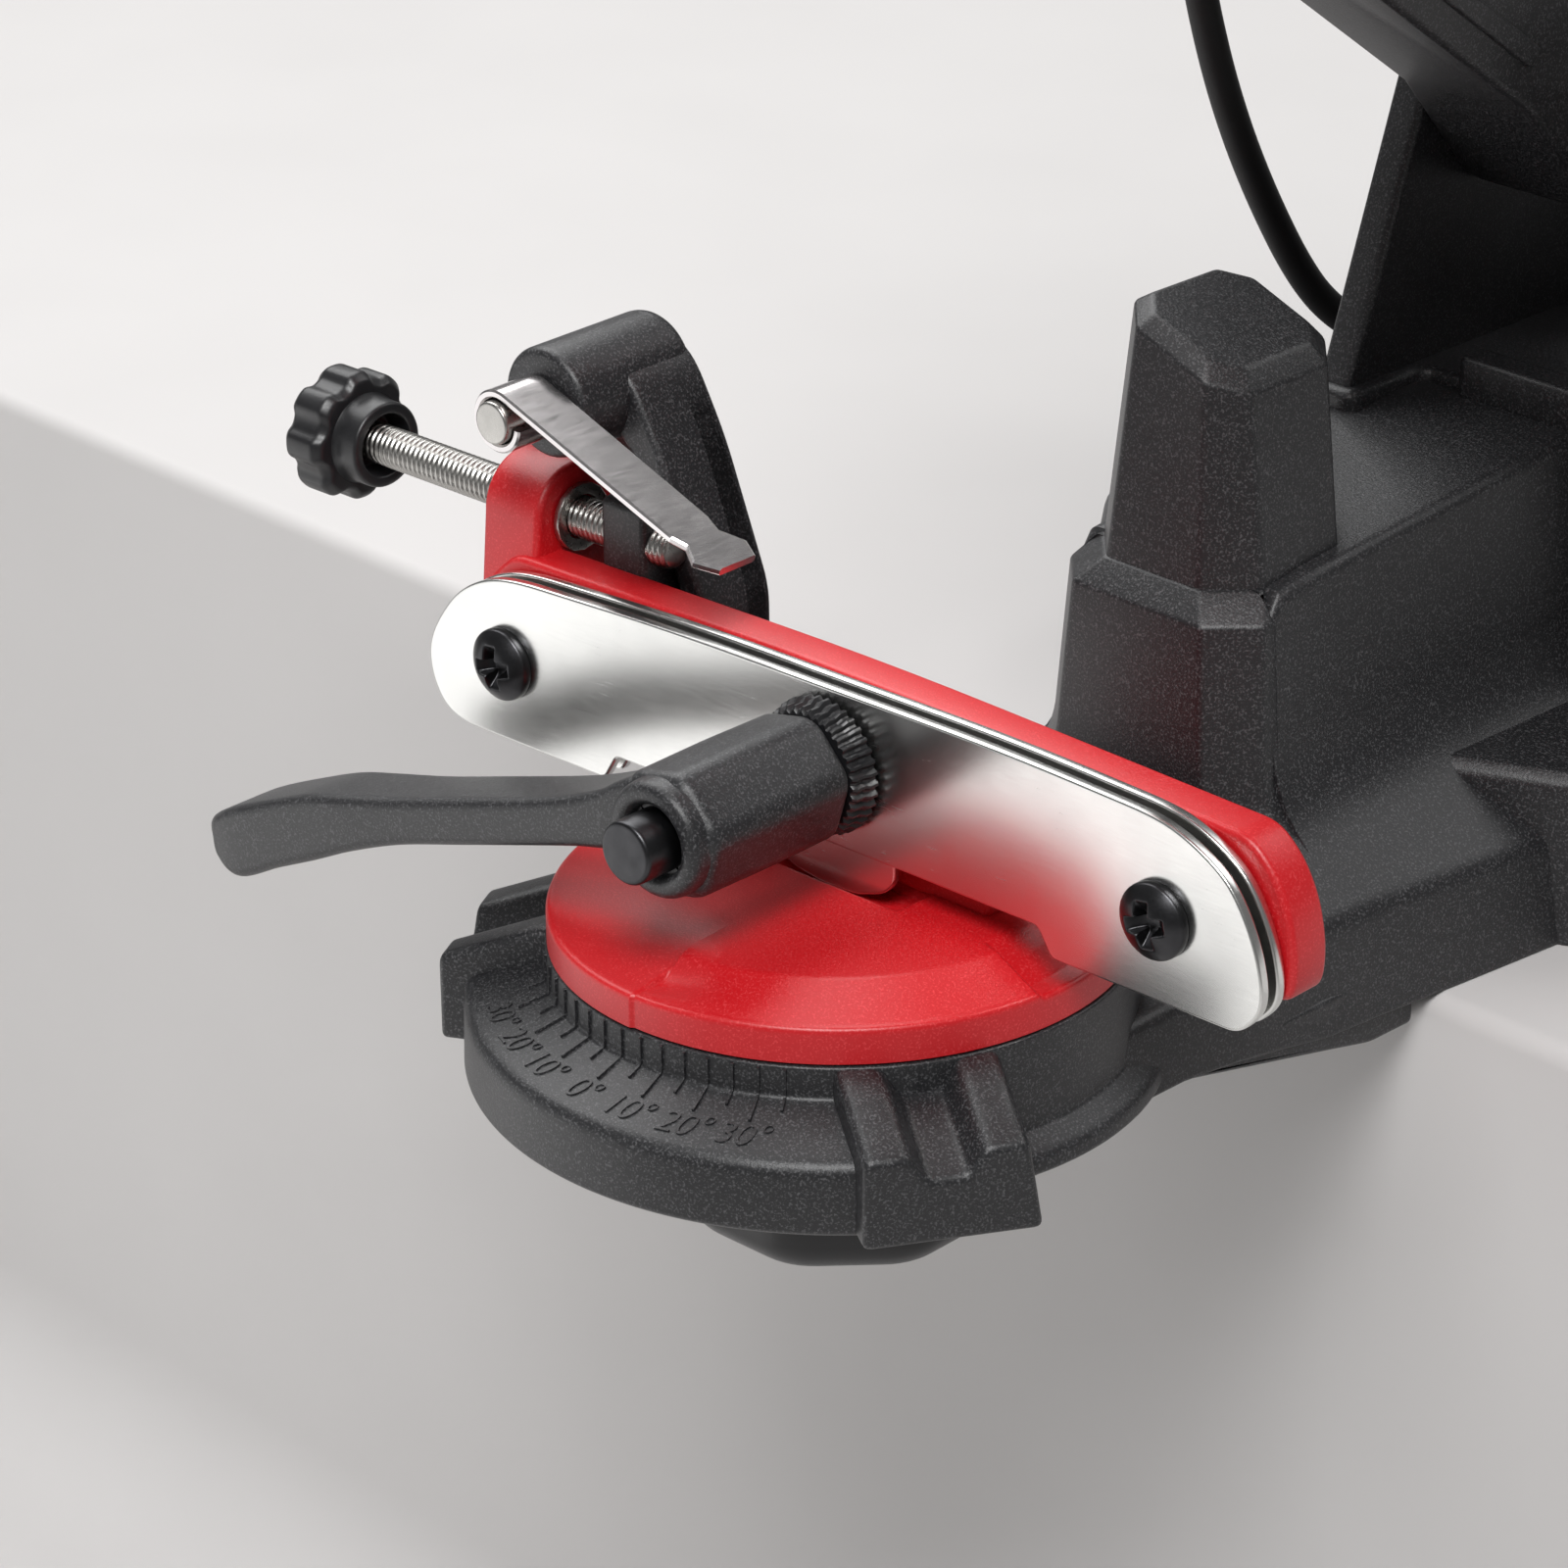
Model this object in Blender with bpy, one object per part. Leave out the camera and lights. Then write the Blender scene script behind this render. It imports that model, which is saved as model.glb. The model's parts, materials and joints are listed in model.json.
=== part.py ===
"""Cordless chainsaw sharpener: swivelling chain vice on a bench base, with a tilting grinding head.

Metres, +Z up. X runs along the bench edge, +Y points back over the bench, and the origin is on the
underside of the base, where the machine stands on the bench. Everything on the swivel plate is
modelled in the seat frame, whose Z axis is the swivel axis and whose X axis runs along the rail.
Everything on the grinding head is modelled as it stands when lowered, in the head frame, whose
X axis is the tilt axis; the frame is then tilted up to its rest place.
"""
import math

import bmesh
import bpy
from mathutils import Vector

for old in list(bpy.data.objects):
    bpy.data.objects.remove(old, do_unlink=True)

# Clearances and shared values
GAP = 0.0003
OVERRUN = 0.002
ROUND_STEPS = 32
SMALL_STEPS = 16
BORE_STEPS = 14
NUT_STEPS = 24
NUT_SIDES = 6
ROD_STEPS = 20
HUB_STEPS = 24
TINY_STEPS = 12
WELD_SHARE = 0.01
SHARP_ANGLE = math.radians(30)
FLAT_ANGLE = math.radians(0.001)
SWIVEL_REST = math.radians(2.4)
HEAD_REST = math.radians(36.0)
LEVER_DROP = math.radians(17.6)

# Base: reaches are measured back from the swivel axis
SEAT_REACH = 0.170
ARM_FRONT_REACH = 0.008
ARM_STRAIGHT_REACH = 0.026
WAIST_REACH = 0.057
EDGE_REACH = 0.076
PLATFORM_REACH = 0.097
DOCK_REACH = 0.200
REAR_REACH = 0.262
ARM_HALF = 0.0385
WAIST_HALF = 0.0350
NECK_HALF = 0.0420
NECK_DRAFT = 0.0026
ARM_UNDER = 0.005
DECK_EDGE = 0.016
DECK_ROOT = 0.028
PLATFORM_TOP = 0.026
PLATFORM_HALF = 0.084
PLATFORM_SHOULDER_HALF = 0.060
PLATFORM_SHOULDER_REACH = 0.111
PLATFORM_CORNER_REACH = 0.140
PLATFORM_REAR_CUT = 0.014
PLATFORM_BEVEL = 0.003
LIP_DROP = 0.0045
LIP_RAMP = 0.0090
LIP_HALF = 0.0372
BASE_WALL = 0.0035
PLATE_THICK = 0.0025
PLATE_MARGIN = 0.005
POCKET_FRONT_REACH = 0.136
POCKET_HALF = 0.056
BENCH_HOLE_RADIUS = 0.0042
BENCH_HOLE_HALF = 0.070
BENCH_HOLE_REACH = 0.185
BASE_SCREW_RADIUS = 0.0019
BASE_SCREW_LENGTH = 0.014
BASE_SCREW_HEAD_RADIUS = 0.0036
BASE_SCREW_HEAD = 0.0016
BASE_SCREW_HALF = 0.0630
BASE_SCREW_BEHIND_POCKET = 0.016
BASE_SCREW_REAR_REACH = 0.240

# Swivel seat of the base
DRUM_RADIUS = 0.0402
DRUM_TOP = 0.0245
SEAT_UNDER = 0.006
DIAL_RADIUS = 0.0516
DIAL_INNER = 0.0200
DIAL_OUTER = 0.0160
DIAL_SPREAD = math.radians(76.0)
LUG_RADIUS = 0.0545
LUG_START = math.radians(45.0)
LUG_END = math.radians(75.0)
LUG_RIB = math.radians(9.5)
LUG_INNER = 0.0222
LUG_OUTER = 0.0185
LUG_FLOOR = 0.0145
STEP_ANGLE = math.radians(0.25)
STEP_CLEAR_ANGLE = math.radians(1.0)
SEAT_RING_ANGLE = math.radians(5)
BOLT_RADIUS = 0.0040
SPIGOT_RADIUS = 0.0120
SPIGOT_DEPTH = 0.0080

# Spine, column and tower on the base
SPINE_FRONT_REACH = 0.064
SPINE_HALF = 0.0182
SPINE_FLARE = 0.0030
SPINE_FRONT_TOP = 0.0585
SPINE_REAR_TOP = 0.0640
SPINE_RISE_REACH = 0.128
COLUMN_FRONT_REACH = 0.0575
COLUMN_REAR_REACH = 0.0900
COLUMN_HALF = 0.0180
COLUMN_TOP_HALF = 0.0098
COLUMN_TOP_FRONT_REACH = 0.0625
COLUMN_TOP_REAR_REACH = 0.0835
COLUMN_CHAMFER = 0.0062
COLUMN_TOP_CHAMFER = 0.0038
COLUMN_STEP = 0.0544
COLUMN_STEP_RISE = 0.0040
COLUMN_STEP_LEAN = 0.0036
COLUMN_LEFT_TOP = 0.0925
COLUMN_RIGHT_TOP = 0.0875
COLUMN_CAP = 0.0022
RIB_REACH = 0.131
RIB_LENGTH = 0.006
RIB_TOP = 0.070
RIB_LEFT = -0.0045
TOWER_LEFT = -0.020
TOWER_RIGHT = 0.030
TOWER_FRONT_REACH = 0.1165
TOWER_TOP = 0.066
EAR_THICK = 0.006
EAR_ROUND = 0.0170
EAR_ARC_DEGREES = (10, 162)
EAR_STEPS = 8
PIVOT_REACH = 0.150
PIVOT_HEIGHT = 0.105
PIVOT_RADIUS = 0.0050
PIVOT_HEAD_RADIUS = 0.0085
PIVOT_HEAD = 0.0040
PIVOT_END = 0.0064

# Turntable with its backing wall
DISC_RIM_RADIUS = 0.0402
DISC_RIM_TOP = 0.0298
DISC_TOP = 0.0330
DISC_PLATEAU_RADIUS = 0.0315
DISC_RIM_DRAFT = 0.0006
WALL_NEAR = 0.0027
WALL_FAR = 0.0095
WALL_LEFT = 0.0740
WALL_RIGHT = 0.0752
WALL_UNDER = 0.0375
WALL_TOP = 0.0606
WALL_FOOT_HALF = 0.0240
LUG_LEFT = 0.0730
LUG_RIGHT = 0.0620
ADJUST_OFFSET = 0.0120
ADJUST_HEIGHT = 0.0640
ADJUST_ARCH = 0.0078
GUIDE_DEPTH = 0.0040
GUIDE_LOW = 0.0420
GUIDE_HIGH = 0.0500
GUIDE_LEFT = 0.0690
GUIDE_RIGHT = 0.0200
ARCH_STEPS = 10
WALL_RIGHT_SHARES = ((0.34, 0.92), (0.16, 0.76), (0.05, 0.55), (0.0, 0.30), (0.01, 0.09), (0.06, 0.0))
WALL_LEFT_SHARES = ((0.20, 0.0), (0.04, 0.12), (0.0, 0.40), (0.10, 0.72), (0.36, 0.96))

# Rail plates and their screws
SLOT_HALF = 0.0008
RAIL_THICK = 0.0016
RAIL_LEFT = 0.0785
RAIL_RIGHT = 0.0744
RAIL_LOW = 0.0340
RAIL_NOTCH = 0.0380
RAIL_NOTCH_HALF = 0.0400
RAIL_TOP = 0.0610
RAIL_END_TOP = 0.0590
RAIL_TONGUE = 0.0305
RAIL_TONGUE_HALF = 0.0120
SPACER_TOP = 0.0500
SPACER_HALF = 0.0660
RAIL_SCREW_LEFT = 0.0623
RAIL_SCREW_RIGHT = 0.0571
RAIL_SCREW_HEIGHT = 0.0459
RAIL_SCREW_RADIUS = 0.0024
RAIL_SCREW_HEAD_RADIUS = 0.0053
RAIL_SCREW_HEAD = 0.0034
RAIL_SCREW_END = 0.0080
RAIL_LEFT_SHARES = ((0.30, 0.0), (0.12, 0.08), (0.02, 0.24), (0.0, 0.42), (0.05, 0.58), (0.18, 0.76),
                    (0.36, 0.87))
RAIL_RIGHT_SHARES = ((0.52, 0.96), (0.32, 0.86), (0.17, 0.71), (0.07, 0.50), (0.01, 0.27), (0.02, 0.12),
                     (0.12, 0.01))
RAIL_TONGUE_SHARES = ((1.0, 0.0), (0.72, 0.62), (0.38, 0.95), (-0.05, 1.0), (-0.45, 0.90), (-0.80, 0.45),
                      (-1.0, 0.0))
RAIL_NOTCH_SLOPE_SHARE = 0.5
RAIL_CROWN_END_SHARE = 0.75
RAIL_CROWN_LEFT_SHARES = (0.3, 0.4)
RAIL_CROWN_RIGHT_SHARE = 0.4
SPACER_CORNER_SHARE = 0.25
SCREW_HEAD_SHARES = ((1.0, 0.0), (1.0, 0.35), (0.86, 0.75), (0.5, 1.0), (0.0, 1.0))
CROSS_SHARES = ((0.62, 0.16), (0.16, 0.62))
CROSS_DEPTH_SHARE = 0.4

# Clamp
CLAMP_HEIGHT = 0.0500
SPINDLE_RADIUS = 0.0044
SPINDLE_FRONT = 0.0405
SPINDLE_HEAD_RADIUS = 0.0072
SPINDLE_HEAD = 0.0042
KNURL_RADIUS = 0.0095
KNURL_TEETH = 24
KNURL_DEPTH = 0.0007
KNURL_THICK = 0.0042
HUB_SIDES = 6
HUB_CORNER_SHARE = 0.16
HUB_END_SHARES = (0.95, 0.93)
HUB_RADIUS = 0.0092
HUB_FRONT = 0.0340
HUB_BOSS_RADIUS = 0.0076
HUB_BOSS = 0.0018
HUB_BOSS_EDGE_SHARE = 0.4
LEVER_REACH = 0.0985
LEVER_HEIGHT = 0.0074
LEVER_WIDTH = 0.0115
PADDLE_REACH = 0.0700
PADDLE_HEIGHT = 0.0120
LEVER_EDGE = 0.0012
LEVER_ROOT_SHARE = 1.1
LEVER_NECK_SHARES = (0.72, 1.35)
LEVER_UNDER_SHARES = ((0.90, 1.0), (0.965, 0.72))
LEVER_TIP_SHARES = ((1.0, 0.1), (0.985, 0.75), (0.90, 1.0))

# Chain stop and its adjusting screw
ADJUST_RADIUS = 0.0030
ADJUST_LEFT = 0.1080
ADJUST_RIGHT = 0.0420
STAR_RADIUS = 0.0098
STAR_LOBE = 0.0016
STAR_LOBES = 8
STAR_THICK = 0.0080
STAR_SHARES = ((0.72, 1.0), (0.94, 0.875), (1.0, 0.6), (1.0, 0.3), (0.86, 0.0))
COLLAR_RADIUS = 0.0060
COLLAR_LENGTH = 0.0046
CLIP_RADIUS = 0.0050
CLIP_THICK = 0.0010
PIN_OFFSET = 0.0605
PIN_HEIGHT = 0.0830
PIN_RADIUS = 0.0031
PIN_FRONT = 0.0052
PAWL_THICK = 0.0012
PAWL_HALF = 0.0042
PAWL_TIP_OFFSET = 0.0221
PAWL_TIP_HEIGHT = 0.0650
PAWL_WRAP_DEGREES = 285
PAWL_STEPS = 14
PAWL_STATION_SHARES = (0.3, 0.80, 0.94, 1.0)
PAWL_FORK_GROW = 0.0012
BOSS_RADIUS = 0.0080
BOSS_ARC_DEGREES = (15, 200)
BOSS_NEAR = 0.0048
CARRIER_FAR = 0.0270
CARRIER_ARM_NEAR = 0.0135
CARRIER_TOP_HEIGHT = 0.0850
CARRIER_TOP_OFFSET = 0.0510
CARRIER_FOOT_OFFSET = 0.0385
CARRIER_FOOT_HEIGHT = 0.0552
CARRIER_FOOT_LEFT = 0.0540
CARRIER_FOOT_LOW = 0.0395
NUT_LEFT = 0.0530
NUT_RIGHT = 0.0410
NUT_NEAR = 0.0056
NUT_RISE = 0.0068
NUT_DROP = 0.0024
CARRIER_FOOT_DROP = 0.0014

# Lock knob under the seat
KNOB_RADIUS = 0.0240
KNOB_HUB_RADIUS = 0.0150
KNOB_LOW = -0.0170
KNOB_GRIP_TOP = -0.0030
KNOB_FLATS = 8
KNOB_END_SHARE = 0.86
KNOB_UPPER_SHARE = 0.97
KNOB_LOBE_SHARE = 0.07
LOBE_STEPS = 4
WASHER_RADIUS = 0.0120
WASHER_THICK = 0.0015
BOLT_LOW = -0.0120
BOLT_TOP = 0.0270

# Grinding head: lengths are along Y from the wheel axis in the lowered place
WHEEL_REACH = 0.000
WHEEL_HEIGHT = 0.1170
WHEEL_RADIUS = 0.0540
WHEEL_BORE = 0.0115
WHEEL_HALF = 0.0016
FLANGE_RADIUS = 0.0180
FLANGE_THICK = 0.0038
FLANGE_STEP_SHARE = 0.55
ARBOR_RADIUS = 0.0040
ARBOR_LEFT = 0.0130
NUT_RADIUS = 0.0085
NUT_THICK = 0.0050
GUARD_RADIUS = 0.0600
GUARD_WALL = 0.0026
GUARD_NEAR = 0.0070
GUARD_FAR = 0.0100
GUARD_LEFT = 0.0140
GUARD_START = math.radians(-24.0)
GUARD_END = math.radians(202.0)
GUARD_BORE = 0.0110
GUARD_BOSS_RADIUS = 0.0220
GUARD_STEPS = 26
COVER_THICK = 0.0020
COVER_BORE = 0.0108
EAR_SCREW_RADIUS = 0.0040
EAR_SCREW_OFFSET = 0.0635
EAR_SCREW_ANGLES = [math.radians(a) for a in (30.0, 90.0, 172.0)]
GUARD_SCREW_RADIUS = 0.0015
GUARD_SCREW_LENGTH = 0.0140
GUARD_SCREW_HEAD_RADIUS = 0.0028
GUARD_SCREW_HEAD = 0.0018
GUARD_SCREW_TOP_SHARE = 0.8
BRACKET_HALF = 0.0090
BRACKET_DROP = 0.0180
BRACKET_RISE = 0.0210
BRACKET_LOW = WHEEL_HEIGHT - BRACKET_DROP
BRACKET_HIGH = WHEEL_HEIGHT + BRACKET_RISE
BRACKET_STEPS = 6
BRACKET_REACH = 0.0640
MOTOR_RADIUS = 0.0190
MOTOR_LENGTH = 0.0560
BEARING_RADIUS = 0.0110
BEARING_THICK = 0.0070
HOUSING_RADIUS = 0.0310
HOUSING_WALL = 0.0025
HOUSING_LENGTH = 0.0780
CAP_LENGTH = 0.0120
CAP_ROUND = 0.0050
CAP_ROUND_SHARE = 0.3
TILT_ROUND = 0.0140
TILT_LEFT = 0.0137
TILT_RIGHT = 0.0110
TILT_DROP = 0.0205
TILT_RISE = 0.0190
TILT_UNDER = WHEEL_HEIGHT - TILT_DROP
TILT_TOP = WHEEL_HEIGHT + TILT_RISE
TILT_HEEL = 0.0224
TILT_STEPS = 10
TILT_CROWN_REACH = 0.1000
STOP_REACH = 0.0740
STOP_RADIUS = 0.0025
STOP_TIP_PROUD = 0.0035
STOP_TIP = TILT_UNDER - STOP_TIP_PROUD
STOP_TIP_RADIUS = 0.0015
STOP_HEAD = 0.0080
STOP_HEAD_SHARE = 0.85
STOP_HEAD_RADIUS = 0.0068
STOP_HEAD_CLEAR = 0.0060
LOCK_NUT_RADIUS = 0.0048
LOCK_NUT_THICK = 0.0032
HANDLE_PLACE = 0.0500
HANDLE_FRONT = 0.0960
HANDLE_HALF = 0.0150
HANDLE_DEEP = 0.0175
HANDLE_ROOT = 0.0220
HANDLE_RISE = 0.0140
HANDLE_SIDES = 16
HANDLE_NECK = 0.0370
HANDLE_STATION_SHARES = ((0.6, 0.88), (0.85, 1.0), (0.97, 0.92), (1.0, 0.7))
HANDLE_ROOT_SHARE = 1.15
HANDLE_NECK_RISE_SHARE = 0.25
TRIGGER_HALF = 0.0065
TRIGGER_NEAR = 0.0440
TRIGGER_FAR = 0.0700
TRIGGER_DEPTH = 0.0085
TRIGGER_PROUD = 0.0050
TRIGGER_SHARES = (0.3, 0.4, 0.35, 0.5, 0.9)
SPRING_WIRE = 0.0011
SPRING_RADIUS = 0.0098
SPRING_TURNS = 3
SPRING_POINTS = 10

# Battery and its dock
DOCK_LENGTH = 0.0120
DOCK_HALF = 0.0300
DOCK_TOP = 0.1180
DOCK_LOW = PLATFORM_TOP + GAP
RAIL_GROOVE = 0.0035
TERMINAL_HALF = 0.0110
TERMINAL_LOW = 0.0560
TERMINAL_HIGH = 0.0900
TERMINAL_DEPTH = 0.0030
BATTERY_HALF = 0.0370
BATTERY_LENGTH = 0.0480
BATTERY_LOW = 0.0300
BATTERY_HIGH = 0.1420
BATTERY_ROUND = 0.0050
LATCH_HALF = 0.0110
LATCH_HEIGHT = 0.0120
LATCH_THICK = 0.0040
LATCH_PROUD = 0.0020
LATCH_POCKET = 0.0080
LATCH_DROP = 0.0130

# Cable from the tilting head to the base
CABLE_RADIUS = 0.0025
CABLE_STEPS = 2
CABLE_ROUTE = [
    (-0.0250, -0.0586, 0.1454),
    (-0.0295, -0.0585, 0.1453),
    (-0.0349, -0.0582, 0.1440),
    (-0.0398, -0.0573, 0.1408),
    (-0.0433, -0.0557, 0.1360),
    (-0.0452, -0.0535, 0.1297),
    (-0.0463, -0.0508, 0.1220),
    (-0.0470, -0.0476, 0.1133),
    (-0.0474, -0.0440, 0.1042),
    (-0.0476, -0.0400, 0.0953),
    (-0.0477, -0.0356, 0.0868),
    (-0.0477, -0.0308, 0.0785),
    (-0.0476, -0.0260, 0.0710),
    (-0.0473, -0.0213, 0.0648),
    (-0.0460, -0.0174, 0.0605),
    (-0.0432, -0.0145, 0.0578),
    (-0.0396, -0.0128, 0.0562),
    (-0.0356, -0.0121, 0.0556),
    (-0.0313, -0.0120, 0.0555),
]
GLAND_RADIUS = 0.0048
GLAND_TIP_RADIUS = 0.0036
GLAND_LENGTH = 0.0110
GLAND_PLUG = 0.0030
GLAND_COLLAR = 0.0022
BASE_GLAND_REACH = 0.1580
BASE_GLAND_HEIGHT = 0.0555
HEAD_GLAND_REACH = 0.0950
HEAD_GLAND_DROP = 0.0020
HEAD_GLAND_HEIGHT = WHEEL_HEIGHT - HEAD_GLAND_DROP

SEAT_Y = -SEAT_REACH


def reach(distance):
    """World Y of a place that lies this far behind the swivel axis."""
    return SEAT_Y + distance


def material(name, colour, roughness, metallic=0.0):
    mat = bpy.data.materials.new(name)
    mat.use_nodes = True
    shader = mat.node_tree.nodes["Principled BSDF"]
    shader.inputs["Base Color"].default_value = (*colour, 1.0)
    shader.inputs["Roughness"].default_value = roughness
    shader.inputs["Metallic"].default_value = metallic
    return mat


BLACK = (0.022, 0.022, 0.024)
RED = (0.62, 0.012, 0.020)
ZINC = (0.72, 0.72, 0.74)
STEEL = (0.60, 0.60, 0.61)
OXIDE = (0.030, 0.030, 0.032)
FINISHES = {
    "black": (BLACK, 0.55, 0.0),
    "red": (RED, 0.42, 0.0),
    "zinc": (ZINC, 0.28, 1.0),
    "steel": (STEEL, 0.30, 1.0),
    "oxide": (OXIDE, 0.35, 1.0),
    "rubber": ((0.015, 0.015, 0.015), 0.8, 0.0),
    "brass": ((0.70, 0.52, 0.22), 0.3, 1.0),
    "stone": ((0.55, 0.22, 0.16), 0.95, 0.0),
}


def frame_empty(name, location, rotation):
    empty = bpy.data.objects.new(name, None)
    empty.location = location
    empty.rotation_euler = rotation
    bpy.context.collection.objects.link(empty)
    return empty


seat = frame_empty("seat_frame", (0, SEAT_Y, 0), (0, 0, SWIVEL_REST))
head = frame_empty("head_frame", (0, reach(PIVOT_REACH), PIVOT_HEIGHT), (-HEAD_REST, 0, 0))
HEAD_ORIGIN = Vector((0, PIVOT_REACH, PIVOT_HEIGHT))
bpy.context.view_layer.update()


def add(name, bm, finish, parent=None, origin=(0, 0, 0), cutter=False):
    """Make an object from a bmesh given in its parent's frame, with its own origin there."""
    bmesh.ops.remove_doubles(bm, verts=bm.verts, dist=GAP * WELD_SHARE)
    bmesh.ops.connect_verts_nonplanar(bm, angle_limit=FLAT_ANGLE, faces=bm.faces)
    bmesh.ops.recalc_face_normals(bm, faces=bm.faces)
    shift = Vector(origin)
    bmesh.ops.translate(bm, verts=bm.verts, vec=-shift)
    mesh = bpy.data.meshes.new(name)
    bm.to_mesh(mesh)
    bm.free()
    obj = bpy.data.objects.new(name, mesh)
    bpy.context.collection.objects.link(obj)
    obj.location = shift
    obj.parent = parent
    if cutter:
        obj.hide_render = True
        obj.display_type = "WIRE"
    else:
        mesh.materials.append(material(name, *FINISHES[finish]))
        mesh.shade_smooth()
        mesh.set_sharp_from_angle(angle=SHARP_ANGLE)
    return obj


def boolean(target, tool, operation):
    mod = target.modifiers.new(tool.name, "BOOLEAN")
    mod.operation = operation
    mod.object = tool
    mod.solver = "EXACT"


def cut(target, bm, parent=None):
    boolean(target, add(target.name + "_cut", bm, None, parent, cutter=True), "DIFFERENCE")


def fuse(target, bm, parent=None):
    boolean(target, add(target.name + "_lump", bm, None, parent, cutter=True), "UNION")


def soften(obj, width, segments=1):
    """Chamfer the hard edges of a plain piece."""
    mod = obj.modifiers.new("edges", "BEVEL")
    mod.width = width
    mod.segments = segments
    mod.limit_method = "ANGLE"
    mod.angle_limit = SHARP_ANGLE


def loft(rings, closed=False):
    """Skin rings of equal length; the ends are capped unless the loft closes on itself."""
    bm = bmesh.new()
    loops = [[bm.verts.new(p) for p in ring] for ring in rings]
    pairs = list(zip(loops, loops[1:] + loops[:1] if closed else loops[1:]))
    for low, high in pairs:
        for i in range(len(low)):
            j = (i + 1) % len(low)
            bm.faces.new((low[i], low[j], high[j], high[i]))
    if not closed:
        bm.faces.new(loops[0])
        bm.faces.new(list(reversed(loops[-1])))
    return bm


AXES = {"X": (1, 2, 0), "Y": (0, 2, 1), "Z": (0, 1, 2)}


def point(axis, a, b, along):
    """A point with a, b in the plane across the axis and a distance along it."""
    out = [0.0, 0.0, 0.0]
    first, second, third = AXES[axis]
    out[first] = a
    out[second] = b
    out[third] = along
    return Vector(out)


def prism(outline, low, high, axis="Z"):
    return loft([[point(axis, a, b, along) for a, b in outline] for along in (low, high)])


def block(x, y, z):
    return prism([(x[0], y[0]), (x[1], y[0]), (x[1], y[1]), (x[0], y[1])], z[0], z[1])


def turned(profile, axis="Z", centre=(0, 0), steps=ROUND_STEPS, start=0.0, sweep=math.tau):
    """Turn a closed profile of (radius, place along the axis) about an axis through the centre."""
    full = abs(sweep - math.tau) < GAP
    count = steps if full else steps + 1
    rings = []
    for i in range(count):
        angle = start + sweep * i / steps
        c, s = math.cos(angle), math.sin(angle)
        rings.append([point(axis, centre[0] + r * c, centre[1] + r * s, h) for r, h in profile])
    bm = loft(rings, closed=full)
    bmesh.ops.remove_doubles(bm, verts=bm.verts, dist=GAP * WELD_SHARE)
    bmesh.ops.delete(bm, geom=[edge for edge in bm.edges if edge.is_wire], context="EDGES")
    return bm


def nut(radius, bore, low, high, axis="Z", centre=(0, 0)):
    """Hexagon nut with a round bore; the radius is to its corners."""
    rings = []
    for along, flats in ((low, False), (low, True), (high, True), (high, False)):
        ring = []
        for i in range(NUT_STEPS):
            angle = math.tau * i / NUT_STEPS
            lean = angle % (math.tau / NUT_SIDES) - math.pi / NUT_SIDES
            r = radius * math.cos(math.pi / NUT_SIDES) / math.cos(lean) if flats else bore
            ring.append(point(axis, centre[0] + r * math.cos(angle), centre[1] + r * math.sin(angle), along))
        rings.append(ring)
    return loft(rings, closed=True)


def wire(name, path, radius, resolution, finish):
    """Round bar along a path of points, as a curve with filled ends."""
    curve = bpy.data.curves.new(name, "CURVE")
    curve.dimensions = "3D"
    curve.bevel_depth = radius
    curve.bevel_resolution = resolution
    curve.use_fill_caps = True
    line = curve.splines.new("POLY")
    line.points.add(len(path) - 1)
    for knot, place in zip(line.points, path):
        knot.co = (*place, 1)
    curve.materials.append(material(name, *FINISHES[finish]))
    obj = bpy.data.objects.new(name, curve)
    bpy.context.collection.objects.link(obj)
    return obj


def rod(radius, low, high, axis="Z", centre=(0, 0), steps=SMALL_STEPS):
    outline = [(centre[0] + radius * math.cos(math.tau * i / steps),
                centre[1] + radius * math.sin(math.tau * i / steps)) for i in range(steps)]
    return prism(outline, low, high, axis)


def arc(centre, radius, span, steps):
    """Points on an arc, with its two angles in degrees from the first axis towards the second."""
    start, end = span
    points = []
    for i in range(steps + 1):
        angle = math.radians(start + (end - start) * i / steps)
        points.append((centre[0] + radius * math.cos(angle), centre[1] + radius * math.sin(angle)))
    return points


def offset(outline, distance):
    """Move the sides of a convex counterclockwise outline inwards by a distance."""
    moved = []
    for i, here in enumerate(outline):
        before = Vector(outline[i - 1])
        after = Vector(outline[(i + 1) % len(outline)])
        here = Vector(here)
        one = (here - before).normalized()
        two = (after - here).normalized()
        inward_one = Vector((-one.y, one.x))
        inward_two = Vector((-two.y, two.x))
        miter = inward_one + inward_two
        moved.append(tuple(here + miter * (distance * 2 / miter.length_squared)))
    return moved


def mirrored(right_side):
    """Close a right half outline, given from front to back, with its mirror image."""
    return right_side + [(-a, b) for a, b in reversed(right_side)]


# Base housing
def deck_ring(distance, half, under, root):
    y = reach(distance)
    inner = SPINE_HALF + SPINE_FLARE * (root > DECK_EDGE)
    return [(-half - NECK_DRAFT, y, under), (half + NECK_DRAFT, y, under), (half, y, DECK_EDGE),
            (inner, y, root), (-inner, y, root), (-half, y, DECK_EDGE)]


def platform_outline():
    return mirrored([(SPINE_HALF, reach(PLATFORM_REACH)),
                     (PLATFORM_SHOULDER_HALF, reach(PLATFORM_SHOULDER_REACH)),
                     (PLATFORM_HALF, reach(PLATFORM_CORNER_REACH)),
                     (PLATFORM_HALF, reach(REAR_REACH - PLATFORM_REAR_CUT)),
                     (PLATFORM_HALF - PLATFORM_REAR_CUT, reach(REAR_REACH))])


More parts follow.
